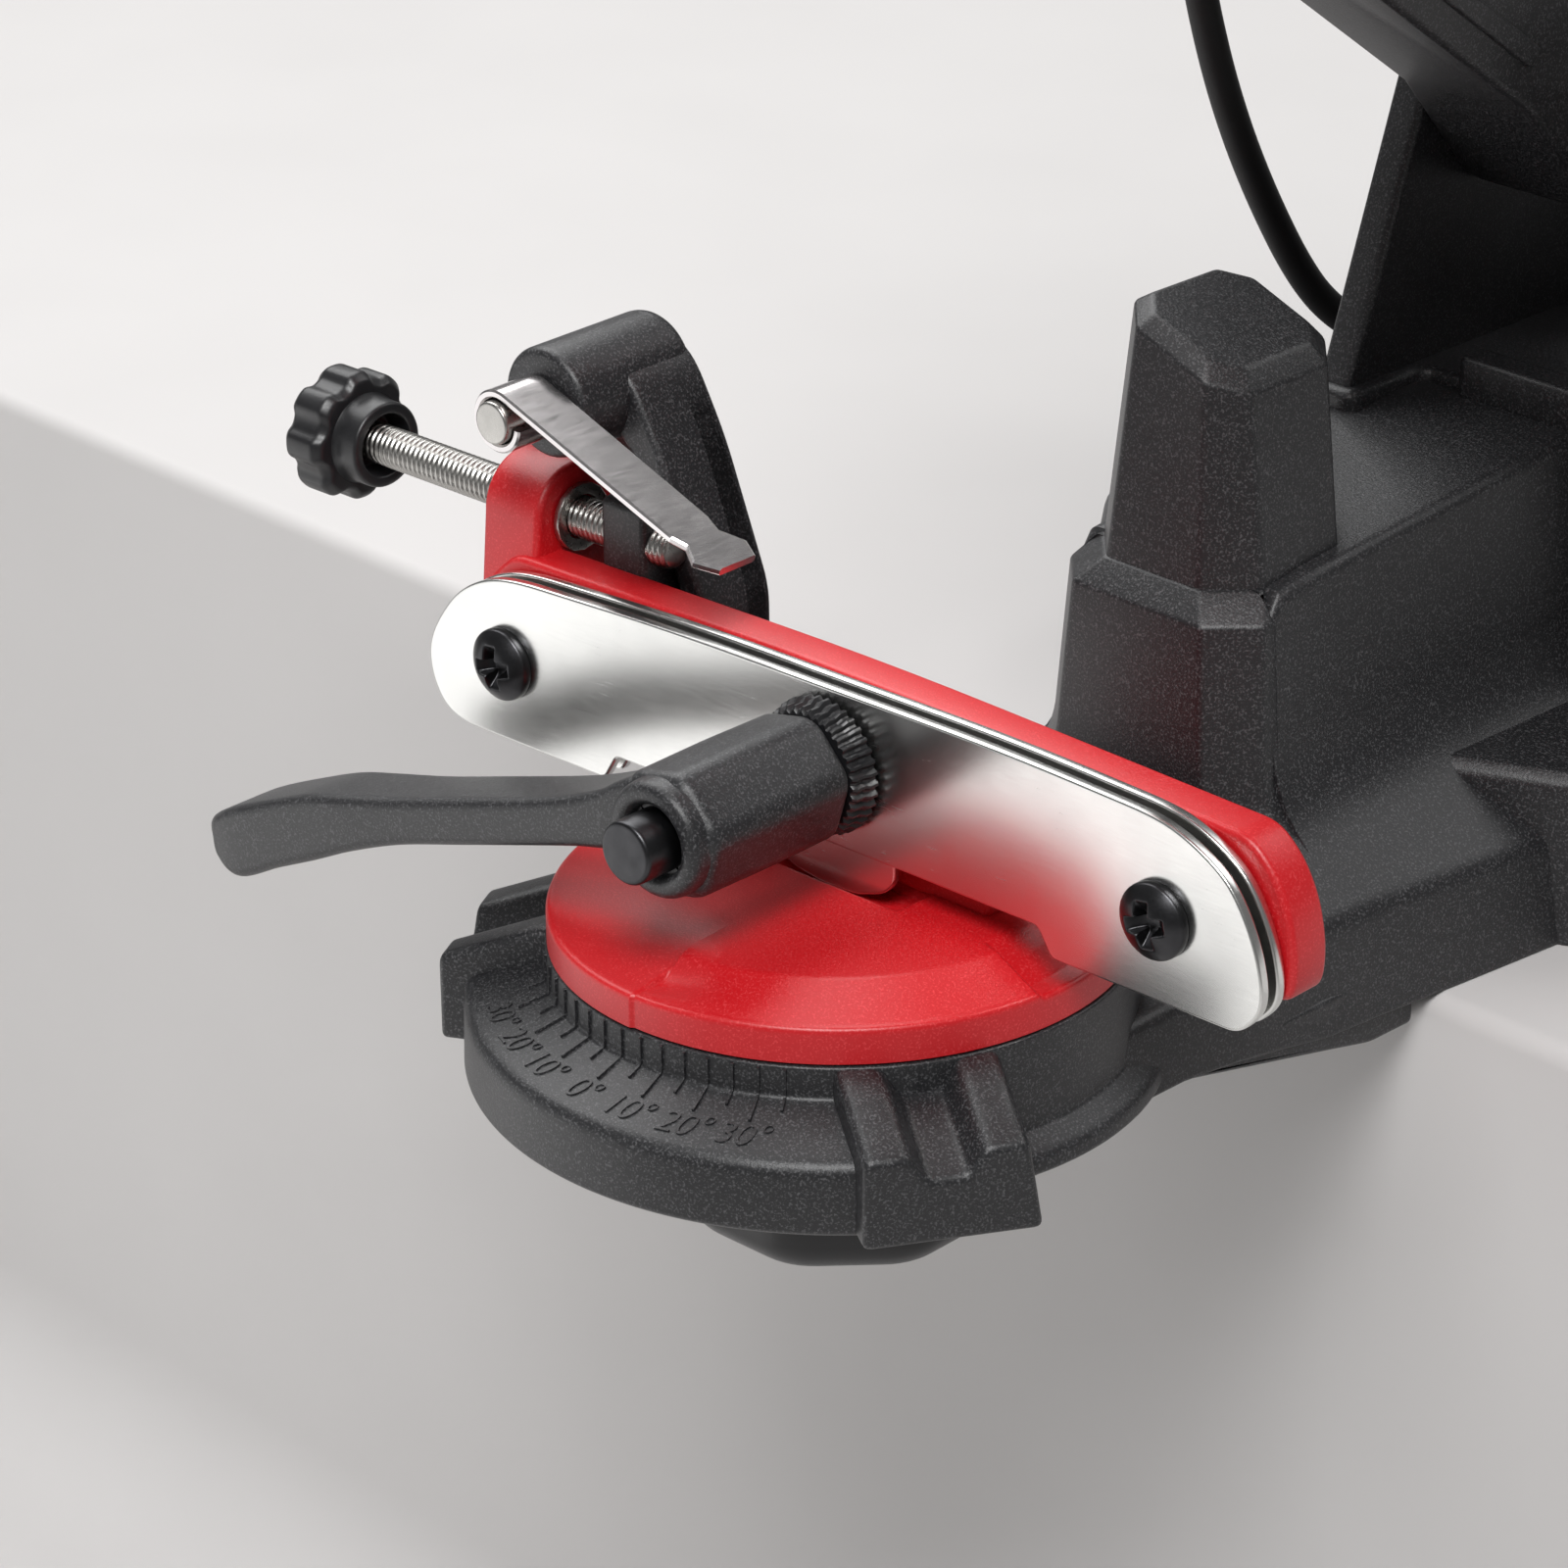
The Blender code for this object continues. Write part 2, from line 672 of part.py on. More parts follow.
def octagon(half, front, rear, chamfer, low, high_left, high_right):
    """Plan of the column with chamfered corners, on a top that may slope across X."""
    plan = [(-half + chamfer, front), (half - chamfer, front), (half, front + chamfer),
            (half, rear - chamfer), (half - chamfer, rear), (-half + chamfer, rear),
            (-half, rear - chamfer), (-half, front + chamfer)]
    slope = (high_right - high_left) / (2 * half)
    return [(x, reach(y), low + high_left + slope * (x + half)) for x, y in plan]


def column():
    step_top = COLUMN_STEP + COLUMN_STEP_RISE
    step_half = COLUMN_HALF - COLUMN_STEP_LEAN
    step_front = COLUMN_FRONT_REACH + COLUMN_STEP_LEAN
    rings = [octagon(COLUMN_HALF + SPINE_FLARE, COLUMN_FRONT_REACH - NECK_DRAFT, COLUMN_REAR_REACH,
                     COLUMN_CHAMFER, 0, DECK_EDGE, DECK_EDGE),
             octagon(COLUMN_HALF, COLUMN_FRONT_REACH, COLUMN_REAR_REACH,
                     COLUMN_CHAMFER, 0, COLUMN_STEP, COLUMN_STEP),
             octagon(step_half, step_front, COLUMN_REAR_REACH - OVERRUN,
                     COLUMN_CHAMFER, 0, step_top, step_top),
             octagon(COLUMN_TOP_HALF, COLUMN_TOP_FRONT_REACH, COLUMN_TOP_REAR_REACH,
                     COLUMN_TOP_CHAMFER, 0, COLUMN_LEFT_TOP, COLUMN_RIGHT_TOP),
             octagon(COLUMN_TOP_HALF - COLUMN_CAP, COLUMN_TOP_FRONT_REACH + COLUMN_CAP,
                     COLUMN_TOP_REAR_REACH - COLUMN_CAP, COLUMN_TOP_CHAMFER - COLUMN_CAP / 2,
                     COLUMN_CAP, COLUMN_LEFT_TOP, COLUMN_RIGHT_TOP)]
    return loft(rings)


def seat_profile(angle):
    """Reach and height of the seat's rim at an angle from straight ahead: dial, lug, rib or bare drum."""
    angle = abs(angle)
    if LUG_START <= angle <= LUG_END:
        if min(angle - LUG_START, LUG_END - angle) <= LUG_RIB:
            return LUG_RADIUS, LUG_RADIUS - OVERRUN / 2, LUG_OUTER, LUG_INNER
        return LUG_RADIUS, LUG_RADIUS - GAP, LUG_FLOOR, LUG_FLOOR + OVERRUN / 2
    if angle <= DIAL_SPREAD:
        return DIAL_RADIUS + GAP, DIAL_RADIUS, DIAL_OUTER, DIAL_INNER
    return DRUM_RADIUS + GAP, DRUM_RADIUS + GAP, SEAT_UNDER + GAP, SEAT_UNDER + GAP * 2


def seat_angles():
    """Directions of the seat's rings, with close pairs where the rim steps."""
    steps = [LUG_START, LUG_START + LUG_RIB, LUG_END - LUG_RIB, LUG_END, DIAL_SPREAD]
    half = [SEAT_RING_ANGLE * (i + 0.5) for i in range(int(math.pi / SEAT_RING_ANGLE))]
    half = [a for a in half if min(abs(a - b) for b in steps) > STEP_CLEAR_ANGLE]
    half += [a - STEP_ANGLE for a in steps] + [a + STEP_ANGLE for a in steps]
    half = sorted(half)
    return [-a for a in reversed(half)] + half


def swivel_seat():
    """Ring of the seat, with a recess on top for the turntable's spigot."""
    recess = DRUM_TOP - SPIGOT_DEPTH - GAP
    rings = []
    for angle in seat_angles():
        rim, edge, low, high = seat_profile(angle)
        s, c = math.sin(angle), -math.cos(angle)
        profile = [(BOLT_RADIUS / 2, SEAT_UNDER), (rim, SEAT_UNDER), (edge, low), (DRUM_RADIUS, high),
                   (DRUM_RADIUS, DRUM_TOP), (SPIGOT_RADIUS + GAP, DRUM_TOP), (SPIGOT_RADIUS + GAP, recess),
                   (BOLT_RADIUS / 2, recess)]
        rings.append([(r * s, SEAT_Y + r * c, z) for r, z in profile])
    return loft(rings, closed=True)


def ear(front, rear):
    """Side view of a pivot ear, in Y and Z, with its front leaning back to the round top."""
    centre = (reach(PIVOT_REACH), PIVOT_HEIGHT)
    return ([(reach(rear), TOWER_TOP - OVERRUN)] + arc(centre, EAR_ROUND, EAR_ARC_DEGREES, EAR_STEPS)
            + [(reach(front), TOWER_TOP - OVERRUN)])


def base_housing():
    base = add("base_housing", loft([
        deck_ring(-ARM_FRONT_REACH, ARM_HALF - NECK_DRAFT, ARM_UNDER + GAP, DECK_EDGE),
        deck_ring(ARM_STRAIGHT_REACH, ARM_HALF - NECK_DRAFT, ARM_UNDER, DECK_EDGE),
        deck_ring(WAIST_REACH, WAIST_HALF, 0, DECK_ROOT - GAP),
        deck_ring(SPINE_RISE_REACH, NECK_HALF, 0, DECK_ROOT)]), "black")
    lip_y = [(ARM_STRAIGHT_REACH, ARM_UNDER - GAP), (WAIST_REACH, -LIP_DROP / 2),
             (EDGE_REACH - LIP_RAMP, -LIP_DROP), (EDGE_REACH, -LIP_DROP),
             (EDGE_REACH, ARM_UNDER + OVERRUN), (ARM_STRAIGHT_REACH, ARM_UNDER + OVERRUN)]
    fuse(base, prism([(reach(y), z) for y, z in lip_y], -LIP_HALF, LIP_HALF, "X"))
    outline = platform_outline()
    fuse(base, loft([[(x, y, 0) for x, y in outline],
                     [(x, y, PLATFORM_TOP - PLATFORM_BEVEL) for x, y in offset(outline, NECK_DRAFT / 2)],
                     [(x, y, PLATFORM_TOP) for x, y in offset(outline, PLATFORM_BEVEL + NECK_DRAFT / 2)]]))
    spine = []
    for distance, top in ((SPINE_FRONT_REACH, SPINE_FRONT_TOP), (SPINE_RISE_REACH, SPINE_REAR_TOP),
                          (DOCK_REACH - OVERRUN, SPINE_REAR_TOP)):
        y = reach(distance)
        foot = SPINE_HALF + SPINE_FLARE
        spine.append([(-foot, y, DECK_EDGE), (foot, y, DECK_EDGE), (SPINE_HALF, y, top),
                      (-SPINE_HALF, y, top)])
    fuse(base, loft(spine))
    fuse(base, column())
    fuse(base, block((TOWER_LEFT, TOWER_RIGHT), (reach(TOWER_FRONT_REACH), reach(DOCK_REACH)),
                     (DECK_EDGE + OVERRUN, TOWER_TOP)))
    for low in (TOWER_LEFT, TOWER_RIGHT - EAR_THICK):
        fuse(base, prism(ear(TOWER_FRONT_REACH, DOCK_REACH - EAR_ROUND), low, low + EAR_THICK, "X"))
    fuse(base, block((RIB_LEFT, SPINE_HALF), (reach(RIB_REACH), reach(RIB_REACH + RIB_LENGTH)),
                     (TOWER_TOP - OVERRUN, RIB_TOP)))
    fuse(base, swivel_seat())
    cut(base, prism([(reach(y), z) for y, z in ((-DIAL_RADIUS, -OVERRUN), (ARM_STRAIGHT_REACH, -OVERRUN),
                                                (ARM_STRAIGHT_REACH, ARM_UNDER),
                                                (-DIAL_RADIUS, ARM_UNDER))], -ARM_HALF, ARM_HALF, "X"))
    plate = offset(outline, PLATE_MARGIN)
    cut(base, prism(plate, -OVERRUN, PLATE_THICK + GAP))
    cut(base, block((-POCKET_HALF, POCKET_HALF),
                    (reach(POCKET_FRONT_REACH), reach(REAR_REACH - PLATE_MARGIN * 2)),
                    (-OVERRUN, PLATFORM_TOP - BASE_WALL)))
    cut(base, block((-SPINE_HALF + BASE_WALL, SPINE_HALF - BASE_WALL),
                    (reach(PLATFORM_REACH + PLATE_MARGIN * 2), reach(DOCK_REACH - PLATE_MARGIN)),
                    (-OVERRUN, SPINE_FRONT_TOP - BASE_WALL)))
    for x, y in base_screw_places():
        cut(base, rod(BASE_SCREW_RADIUS + GAP, 0, BASE_SCREW_LENGTH + GAP * 2, centre=(x, y)))
    for side in (-1, 1):
        cut(base, rod(BENCH_HOLE_RADIUS, -OVERRUN, PLATFORM_TOP + OVERRUN,
                      centre=(side * BENCH_HOLE_HALF, reach(BENCH_HOLE_REACH))))
    cut(base, rod(BOLT_RADIUS + GAP, -OVERRUN, DRUM_TOP + OVERRUN, centre=(0, SEAT_Y), steps=BORE_STEPS))
    cut(base, rod(PIVOT_RADIUS + GAP, TOWER_LEFT - OVERRUN, TOWER_RIGHT + OVERRUN, "X",
                  (reach(PIVOT_REACH), PIVOT_HEIGHT)))
    cut(base, rod(GLAND_RADIUS + GAP, TOWER_LEFT - OVERRUN, TOWER_LEFT + GLAND_PLUG + GAP, "X",
                  (reach(BASE_GLAND_REACH), BASE_GLAND_HEIGHT)))
    return plate


def base_screw_places():
    return [(side * BASE_SCREW_HALF, reach(distance)) for side in (-1, 1)
            for distance in (POCKET_FRONT_REACH + BASE_SCREW_BEHIND_POCKET, BASE_SCREW_REAR_REACH)]


def base_cover(plate_outline):
    plate = add("base_plate", prism(offset(plate_outline, GAP), 0, PLATE_THICK), "black")
    for index, (x, y) in enumerate(base_screw_places()):
        cut(plate, rod(BASE_SCREW_HEAD_RADIUS + GAP, -OVERRUN, BASE_SCREW_HEAD + GAP, centre=(x, y)))
        cut(plate, rod(BASE_SCREW_RADIUS + GAP, 0, PLATE_THICK + OVERRUN, centre=(x, y)))
        profile = [(0, GAP), (BASE_SCREW_HEAD_RADIUS, GAP), (BASE_SCREW_HEAD_RADIUS, BASE_SCREW_HEAD),
                   (BASE_SCREW_RADIUS, BASE_SCREW_HEAD), (BASE_SCREW_RADIUS, BASE_SCREW_LENGTH),
                   (0, BASE_SCREW_LENGTH)]
        add("base_screw_%d" % (index + 1), turned(profile, centre=(x, y), steps=SMALL_STEPS), "steel")
    for side in (-1, 1):
        cut(plate, rod(BENCH_HOLE_RADIUS + GAP, -OVERRUN, PLATE_THICK + OVERRUN,
                       centre=(side * BENCH_HOLE_HALF, reach(BENCH_HOLE_REACH))))


# Turntable and rail, in the seat frame
def rail_outline(left, right, low, notch, end_top, top, tongue):
    """Plate in X and Z: round ends, a raised middle along the bottom and a slightly crowned top."""
    height = top - low
    left_end = [(-left + height * a, low + height * b) for a, b in RAIL_LEFT_SHARES]
    right_end = [(right - height * a, low + height * b) for a, b in RAIL_RIGHT_SHARES]
    slope = (notch - low) * RAIL_NOTCH_SLOPE_SHARE
    bottom = [(RAIL_NOTCH_HALF, low), (RAIL_NOTCH_HALF - slope, notch)]
    if tongue:
        bottom += [(RAIL_TONGUE_HALF * a, notch - (notch - tongue) * b) for a, b in RAIL_TONGUE_SHARES]
    bottom += [(-RAIL_NOTCH_HALF + slope, notch), (-RAIL_NOTCH_HALF, low)]
    across, down = RAIL_CROWN_LEFT_SHARES
    crown = [(-left + height * RAIL_CROWN_END_SHARE, end_top), (-left * across, top - (top - end_top) * down),
             (right * RAIL_CROWN_RIGHT_SHARE, top)]
    return left_end + crown + right_end + bottom


def seat_wall_outline():
    height = WALL_TOP - WALL_UNDER
    right = [(WALL_RIGHT - height * a, WALL_UNDER + height * b) for a, b in WALL_RIGHT_SHARES]
    left = [(-WALL_LEFT + height * a, WALL_UNDER + height * b) for a, b in WALL_LEFT_SHARES]
    foot = DISC_TOP - OVERRUN
    middle = [(WALL_FOOT_HALF, WALL_UNDER), (WALL_FOOT_HALF, foot), (-WALL_FOOT_HALF, foot),
              (-WALL_FOOT_HALF, WALL_UNDER)]
    return right + middle + left


def turntable():
    disc = add("turntable", turned([
        (BOLT_RADIUS + GAP, DRUM_TOP - SPIGOT_DEPTH), (SPIGOT_RADIUS, DRUM_TOP - SPIGOT_DEPTH),
        (SPIGOT_RADIUS, DRUM_TOP + GAP), (DISC_RIM_RADIUS, DRUM_TOP + GAP),
        (DISC_RIM_RADIUS - DISC_RIM_DRAFT, DISC_RIM_TOP), (DISC_PLATEAU_RADIUS, DISC_TOP),
        (0, DISC_TOP), (0, BOLT_TOP + GAP), (BOLT_RADIUS + GAP, BOLT_TOP + GAP)],
        steps=ROUND_STEPS * 2), "red", seat)
    fuse(disc, prism(seat_wall_outline(), WALL_NEAR, WALL_FAR, "Y"), seat)
    arch = arc((ADJUST_OFFSET, ADJUST_HEIGHT), ADJUST_ARCH, (0, 180), ARCH_STEPS)
    foot = GUIDE_HIGH - GAP
    fuse(disc, prism([(ADJUST_OFFSET - ADJUST_ARCH, foot), (ADJUST_OFFSET + ADJUST_ARCH, foot)] + arch,
                     -LUG_LEFT, -LUG_RIGHT, "X"), seat)
    fuse(disc, block((-GUIDE_LEFT, -GUIDE_RIGHT), (WALL_FAR - OVERRUN / 2, WALL_FAR + GUIDE_DEPTH),
                     (GUIDE_LOW, GUIDE_HIGH)), seat)
    cut(disc, block((-RAIL_TONGUE_HALF - GAP, RAIL_TONGUE_HALF + GAP),
                    (-SLOT_HALF - RAIL_THICK - GAP, -SLOT_HALF + GAP),
                    (RAIL_TONGUE - GAP, DISC_TOP + OVERRUN)), seat)
    for x in (-RAIL_SCREW_LEFT, RAIL_SCREW_RIGHT):
        cut(disc, rod(RAIL_SCREW_RADIUS + GAP, WALL_NEAR - OVERRUN, RAIL_SCREW_END + GAP * 2, "Y",
                      (x, RAIL_SCREW_HEIGHT)), seat)
    cut(disc, rod(SPINDLE_RADIUS + GAP, WALL_NEAR - OVERRUN, WALL_FAR + OVERRUN, "Y",
                  (0, CLAMP_HEIGHT)), seat)
    cut(disc, rod(ADJUST_RADIUS + GAP, -LUG_LEFT - OVERRUN, -LUG_RIGHT + OVERRUN, "X",
                  (ADJUST_OFFSET, ADJUST_HEIGHT)), seat)


def swivel_bolt():
    add("swivel_bolt", rod(BOLT_RADIUS, BOLT_LOW, BOLT_TOP), "steel", seat)
    top = ARM_UNDER - GAP
    add("swivel_washer", turned([(BOLT_RADIUS + GAP, top - WASHER_THICK), (WASHER_RADIUS, top - WASHER_THICK),
                                 (WASHER_RADIUS, top), (BOLT_RADIUS + GAP, top)], steps=HUB_STEPS),
        "zinc", seat)
    hub_top = top - WASHER_THICK - GAP
    knob = turned([(BOLT_RADIUS + GAP, BOLT_LOW + OVERRUN), (KNOB_HUB_RADIUS - GAP, BOLT_LOW + OVERRUN),
                   (KNOB_HUB_RADIUS, hub_top), (BOLT_RADIUS + GAP, hub_top)], steps=HUB_STEPS)
    knob = add("lock_knob", knob, "black", seat)
    grip = []
    for share, z in ((KNOB_END_SHARE, KNOB_LOW), (1, KNOB_LOW + OVERRUN),
                     (KNOB_UPPER_SHARE, KNOB_GRIP_TOP - OVERRUN), (KNOB_END_SHARE, KNOB_GRIP_TOP)):
        ring = []
        for i in range(KNOB_FLATS * LOBE_STEPS):
            angle = math.tau * i / (KNOB_FLATS * LOBE_STEPS)
            lobe = 1 - KNOB_LOBE_SHARE * (1 - math.cos(KNOB_FLATS * angle)) / 2
            radius = KNOB_RADIUS * share * lobe
            ring.append((radius * math.cos(angle), radius * math.sin(angle), z))
        grip.append(ring)
    fuse(knob, loft(grip), seat)
    cut(knob, rod(BOLT_RADIUS + GAP, BOLT_LOW - GAP * 2, hub_top + OVERRUN), seat)


def rails():
    outline = rail_outline(RAIL_LEFT, RAIL_RIGHT, RAIL_LOW, RAIL_NOTCH, RAIL_END_TOP, RAIL_TOP, RAIL_TONGUE)
    plain = rail_outline(RAIL_LEFT, RAIL_RIGHT, RAIL_LOW, RAIL_NOTCH, RAIL_END_TOP, RAIL_TOP, None)
    faces = {"rail_front": (outline, -SLOT_HALF - RAIL_THICK, -SLOT_HALF),
             "rail_rear": (plain, SLOT_HALF, SLOT_HALF + RAIL_THICK)}
    for name, (shape, low, high) in faces.items():
        plate = add(name, prism(shape, low, high, "Y"), "zinc", seat)
        bore_rail(plate, low - OVERRUN, high + OVERRUN)
    near = SLOT_HALF - GAP
    corner = (SPACER_TOP - RAIL_NOTCH) * SPACER_CORNER_SHARE
    strip = [(-SPACER_HALF, RAIL_NOTCH + GAP), (SPACER_HALF, RAIL_NOTCH + GAP),
             (SPACER_HALF, SPACER_TOP - corner), (SPACER_HALF - corner, SPACER_TOP),
             (-SPACER_HALF + corner, SPACER_TOP), (-SPACER_HALF, SPACER_TOP - corner)]
    spacer = add("rail_spacer", prism(strip, -near, near, "Y"), "steel", seat)
    bore_rail(spacer, -SLOT_HALF - OVERRUN, SLOT_HALF + OVERRUN)
    outside = -SLOT_HALF - RAIL_THICK - GAP
    for name, x in (("rail_screw_left", -RAIL_SCREW_LEFT), ("rail_screw_right", RAIL_SCREW_RIGHT)):
        head_radius = RAIL_SCREW_HEAD_RADIUS
        profile = [(0, RAIL_SCREW_END), (RAIL_SCREW_RADIUS, RAIL_SCREW_END), (RAIL_SCREW_RADIUS, outside)]
        profile += [(head_radius * a, outside - RAIL_SCREW_HEAD * b) for a, b in SCREW_HEAD_SHARES]
        screw = add(name, turned(profile, "Y", (x, RAIL_SCREW_HEIGHT), ROD_STEPS), "oxide", seat)
        deep = outside - RAIL_SCREW_HEAD * CROSS_DEPTH_SHARE
        for wide, tall in CROSS_SHARES:
            cut(screw, block((x - head_radius * wide, x + head_radius * wide),
                             (outside - RAIL_SCREW_HEAD - OVERRUN, deep),
                             (RAIL_SCREW_HEIGHT - head_radius * tall,
                              RAIL_SCREW_HEIGHT + head_radius * tall)), seat)


def bore_rail(plate, low, high):
    for x in (-RAIL_SCREW_LEFT, RAIL_SCREW_RIGHT):
        cut(plate, rod(RAIL_SCREW_RADIUS + GAP, low, high, "Y", (x, RAIL_SCREW_HEIGHT)), seat)
    cut(plate, rod(SPINDLE_RADIUS + GAP, low, high, "Y", (0, CLAMP_HEIGHT)), seat)


# Clamp spindle, washer and lever, in the seat frame
def clamp():
    axis = (0, CLAMP_HEIGHT)
    add("clamp_spindle", turned([
        (0, WALL_FAR + GAP + SPINDLE_HEAD), (SPINDLE_HEAD_RADIUS, WALL_FAR + GAP + SPINDLE_HEAD),
        (SPINDLE_HEAD_RADIUS, WALL_FAR + GAP), (SPINDLE_RADIUS, WALL_FAR + GAP),
        (SPINDLE_RADIUS, -SPINDLE_FRONT + GAP * 2), (SPINDLE_RADIUS - GAP * 2, -SPINDLE_FRONT),
        (0, -SPINDLE_FRONT)], "Y", axis, ROD_STEPS), "oxide", seat)
    near = -SLOT_HALF - RAIL_THICK - GAP
    far = near - KNURL_THICK
    rings = []
    for y in (near, far):
        for radius, rough in ((SPINDLE_RADIUS + GAP, 0), (KNURL_RADIUS, KNURL_DEPTH)):
            ring = []
            for i in range(KNURL_TEETH * 2):
                angle = math.tau * i / (KNURL_TEETH * 2)
                r = radius - rough * (i % 2)
                ring.append((r * math.cos(angle), y, CLAMP_HEIGHT + r * math.sin(angle)))
            rings.append(ring)
    add("clamp_washer", loft([rings[0], rings[1], rings[3], rings[2]], closed=True), "oxide", seat)
    hub_near = far - GAP
    hub = []
    near_share, front_share = HUB_END_SHARES
    for share, y in ((near_share, hub_near), (1, hub_near - OVERRUN), (1, -HUB_FRONT + OVERRUN * 2),
                     (front_share, -HUB_FRONT)):
        ring = []
        for i in range(HUB_SIDES):
            for turn in (-HUB_CORNER_SHARE, HUB_CORNER_SHARE):
                angle = math.tau * (i + 1 / 2 + turn) / HUB_SIDES - LEVER_DROP
                ring.append((HUB_RADIUS * share * math.cos(angle), y,
                             CLAMP_HEIGHT + HUB_RADIUS * share * math.sin(angle)))
        hub.append(ring)
    lever = add("clamp_lever", loft(hub), "black", seat, (0, 0, CLAMP_HEIGHT))
    edge = HUB_BOSS * HUB_BOSS_EDGE_SHARE
    front = -HUB_FRONT - HUB_BOSS
    fuse(lever, turned([(SPINDLE_RADIUS - GAP, -HUB_FRONT + OVERRUN), (HUB_BOSS_RADIUS, -HUB_FRONT + OVERRUN),
                        (HUB_BOSS_RADIUS, front + edge), (HUB_BOSS_RADIUS - edge, front),
                        (SPINDLE_RADIUS - GAP, front)], "Y", axis, HUB_STEPS), seat)
    arm = add("clamp_lever_arm", prism(lever_outline(), -HUB_FRONT, -HUB_FRONT + LEVER_WIDTH, "Y"),
              None, seat, cutter=True)
    soften(arm, LEVER_EDGE)
    boolean(lever, arm, "UNION")
    cut(lever, rod(SPINDLE_RADIUS + GAP, -SPINDLE_FRONT - OVERRUN, hub_near + OVERRUN, "Y", axis, ROD_STEPS),
        seat)


def lever_outline():
    """Side view of the lever in X and Z: a straight arm that drops away from the hub to a paddle."""
    c, s = math.cos(LEVER_DROP), math.sin(LEVER_DROP)
    half = LEVER_HEIGHT / 2
    deep = PADDLE_HEIGHT - half
    root = half * LEVER_ROOT_SHARE
    along, down = LEVER_NECK_SHARES
    local = [(OVERRUN, root), (OVERRUN, -root), (-PADDLE_REACH * along, -half), (-PADDLE_REACH, -half * down)]
    local += [(-LEVER_REACH * a, -deep * b) for a, b in LEVER_UNDER_SHARES]
    local += [(-LEVER_REACH * a, half * b) for a, b in LEVER_TIP_SHARES]
    local += [(-PADDLE_REACH, half)]
    return [(x * c - z * s, CLAMP_HEIGHT + x * s + z * c) for x, z in local]


# Chain stop, in the seat frame
def adjuster():
    axis = (ADJUST_OFFSET, ADJUST_HEIGHT)
    tip = -ADJUST_RIGHT
    add("adjusting_screw", turned([
        (0, -ADJUST_LEFT), (ADJUST_RADIUS, -ADJUST_LEFT), (ADJUST_RADIUS, tip - GAP),
        (ADJUST_RADIUS - GAP * 2, tip), (0, tip)], "X", axis, ROD_STEPS), "steel", seat, (0, *axis))
    face = -ADJUST_LEFT + OVERRUN
    lobes = []
    for radius_share, place_share in STAR_SHARES:
        x = face - STAR_THICK * place_share
        ring = []
        for i in range(STAR_LOBES * LOBE_STEPS):
            angle = math.tau * i / (STAR_LOBES * LOBE_STEPS)
            r = STAR_RADIUS * radius_share - STAR_LOBE * (1 - math.cos(STAR_LOBES * angle)) / 2
            ring.append((x, ADJUST_OFFSET + r * math.cos(angle), ADJUST_HEIGHT + r * math.sin(angle)))
        lobes.append(ring)
    star = add("star_knob", loft(lobes), "rubber", seat, (0, *axis))
    fuse(star, rod(COLLAR_RADIUS, face - OVERRUN, face + COLLAR_LENGTH, "X", axis, HUB_STEPS), seat)
    cut(star, rod(ADJUST_RADIUS + GAP, -ADJUST_LEFT - GAP, face + COLLAR_LENGTH + OVERRUN, "X", axis,
                  ROD_STEPS), seat)
    places = {"screw_clip_outer": -LUG_LEFT - GAP - CLIP_THICK, "screw_clip_inner": -LUG_RIGHT + GAP}
    for name, x in places.items():
        clip = turned([(ADJUST_RADIUS + GAP, x), (CLIP_RADIUS, x), (CLIP_RADIUS, x + CLIP_THICK),
                       (ADJUST_RADIUS + GAP, x + CLIP_THICK)], "X", axis, SMALL_STEPS)
        add(name, clip, "steel", seat, (0, *axis))


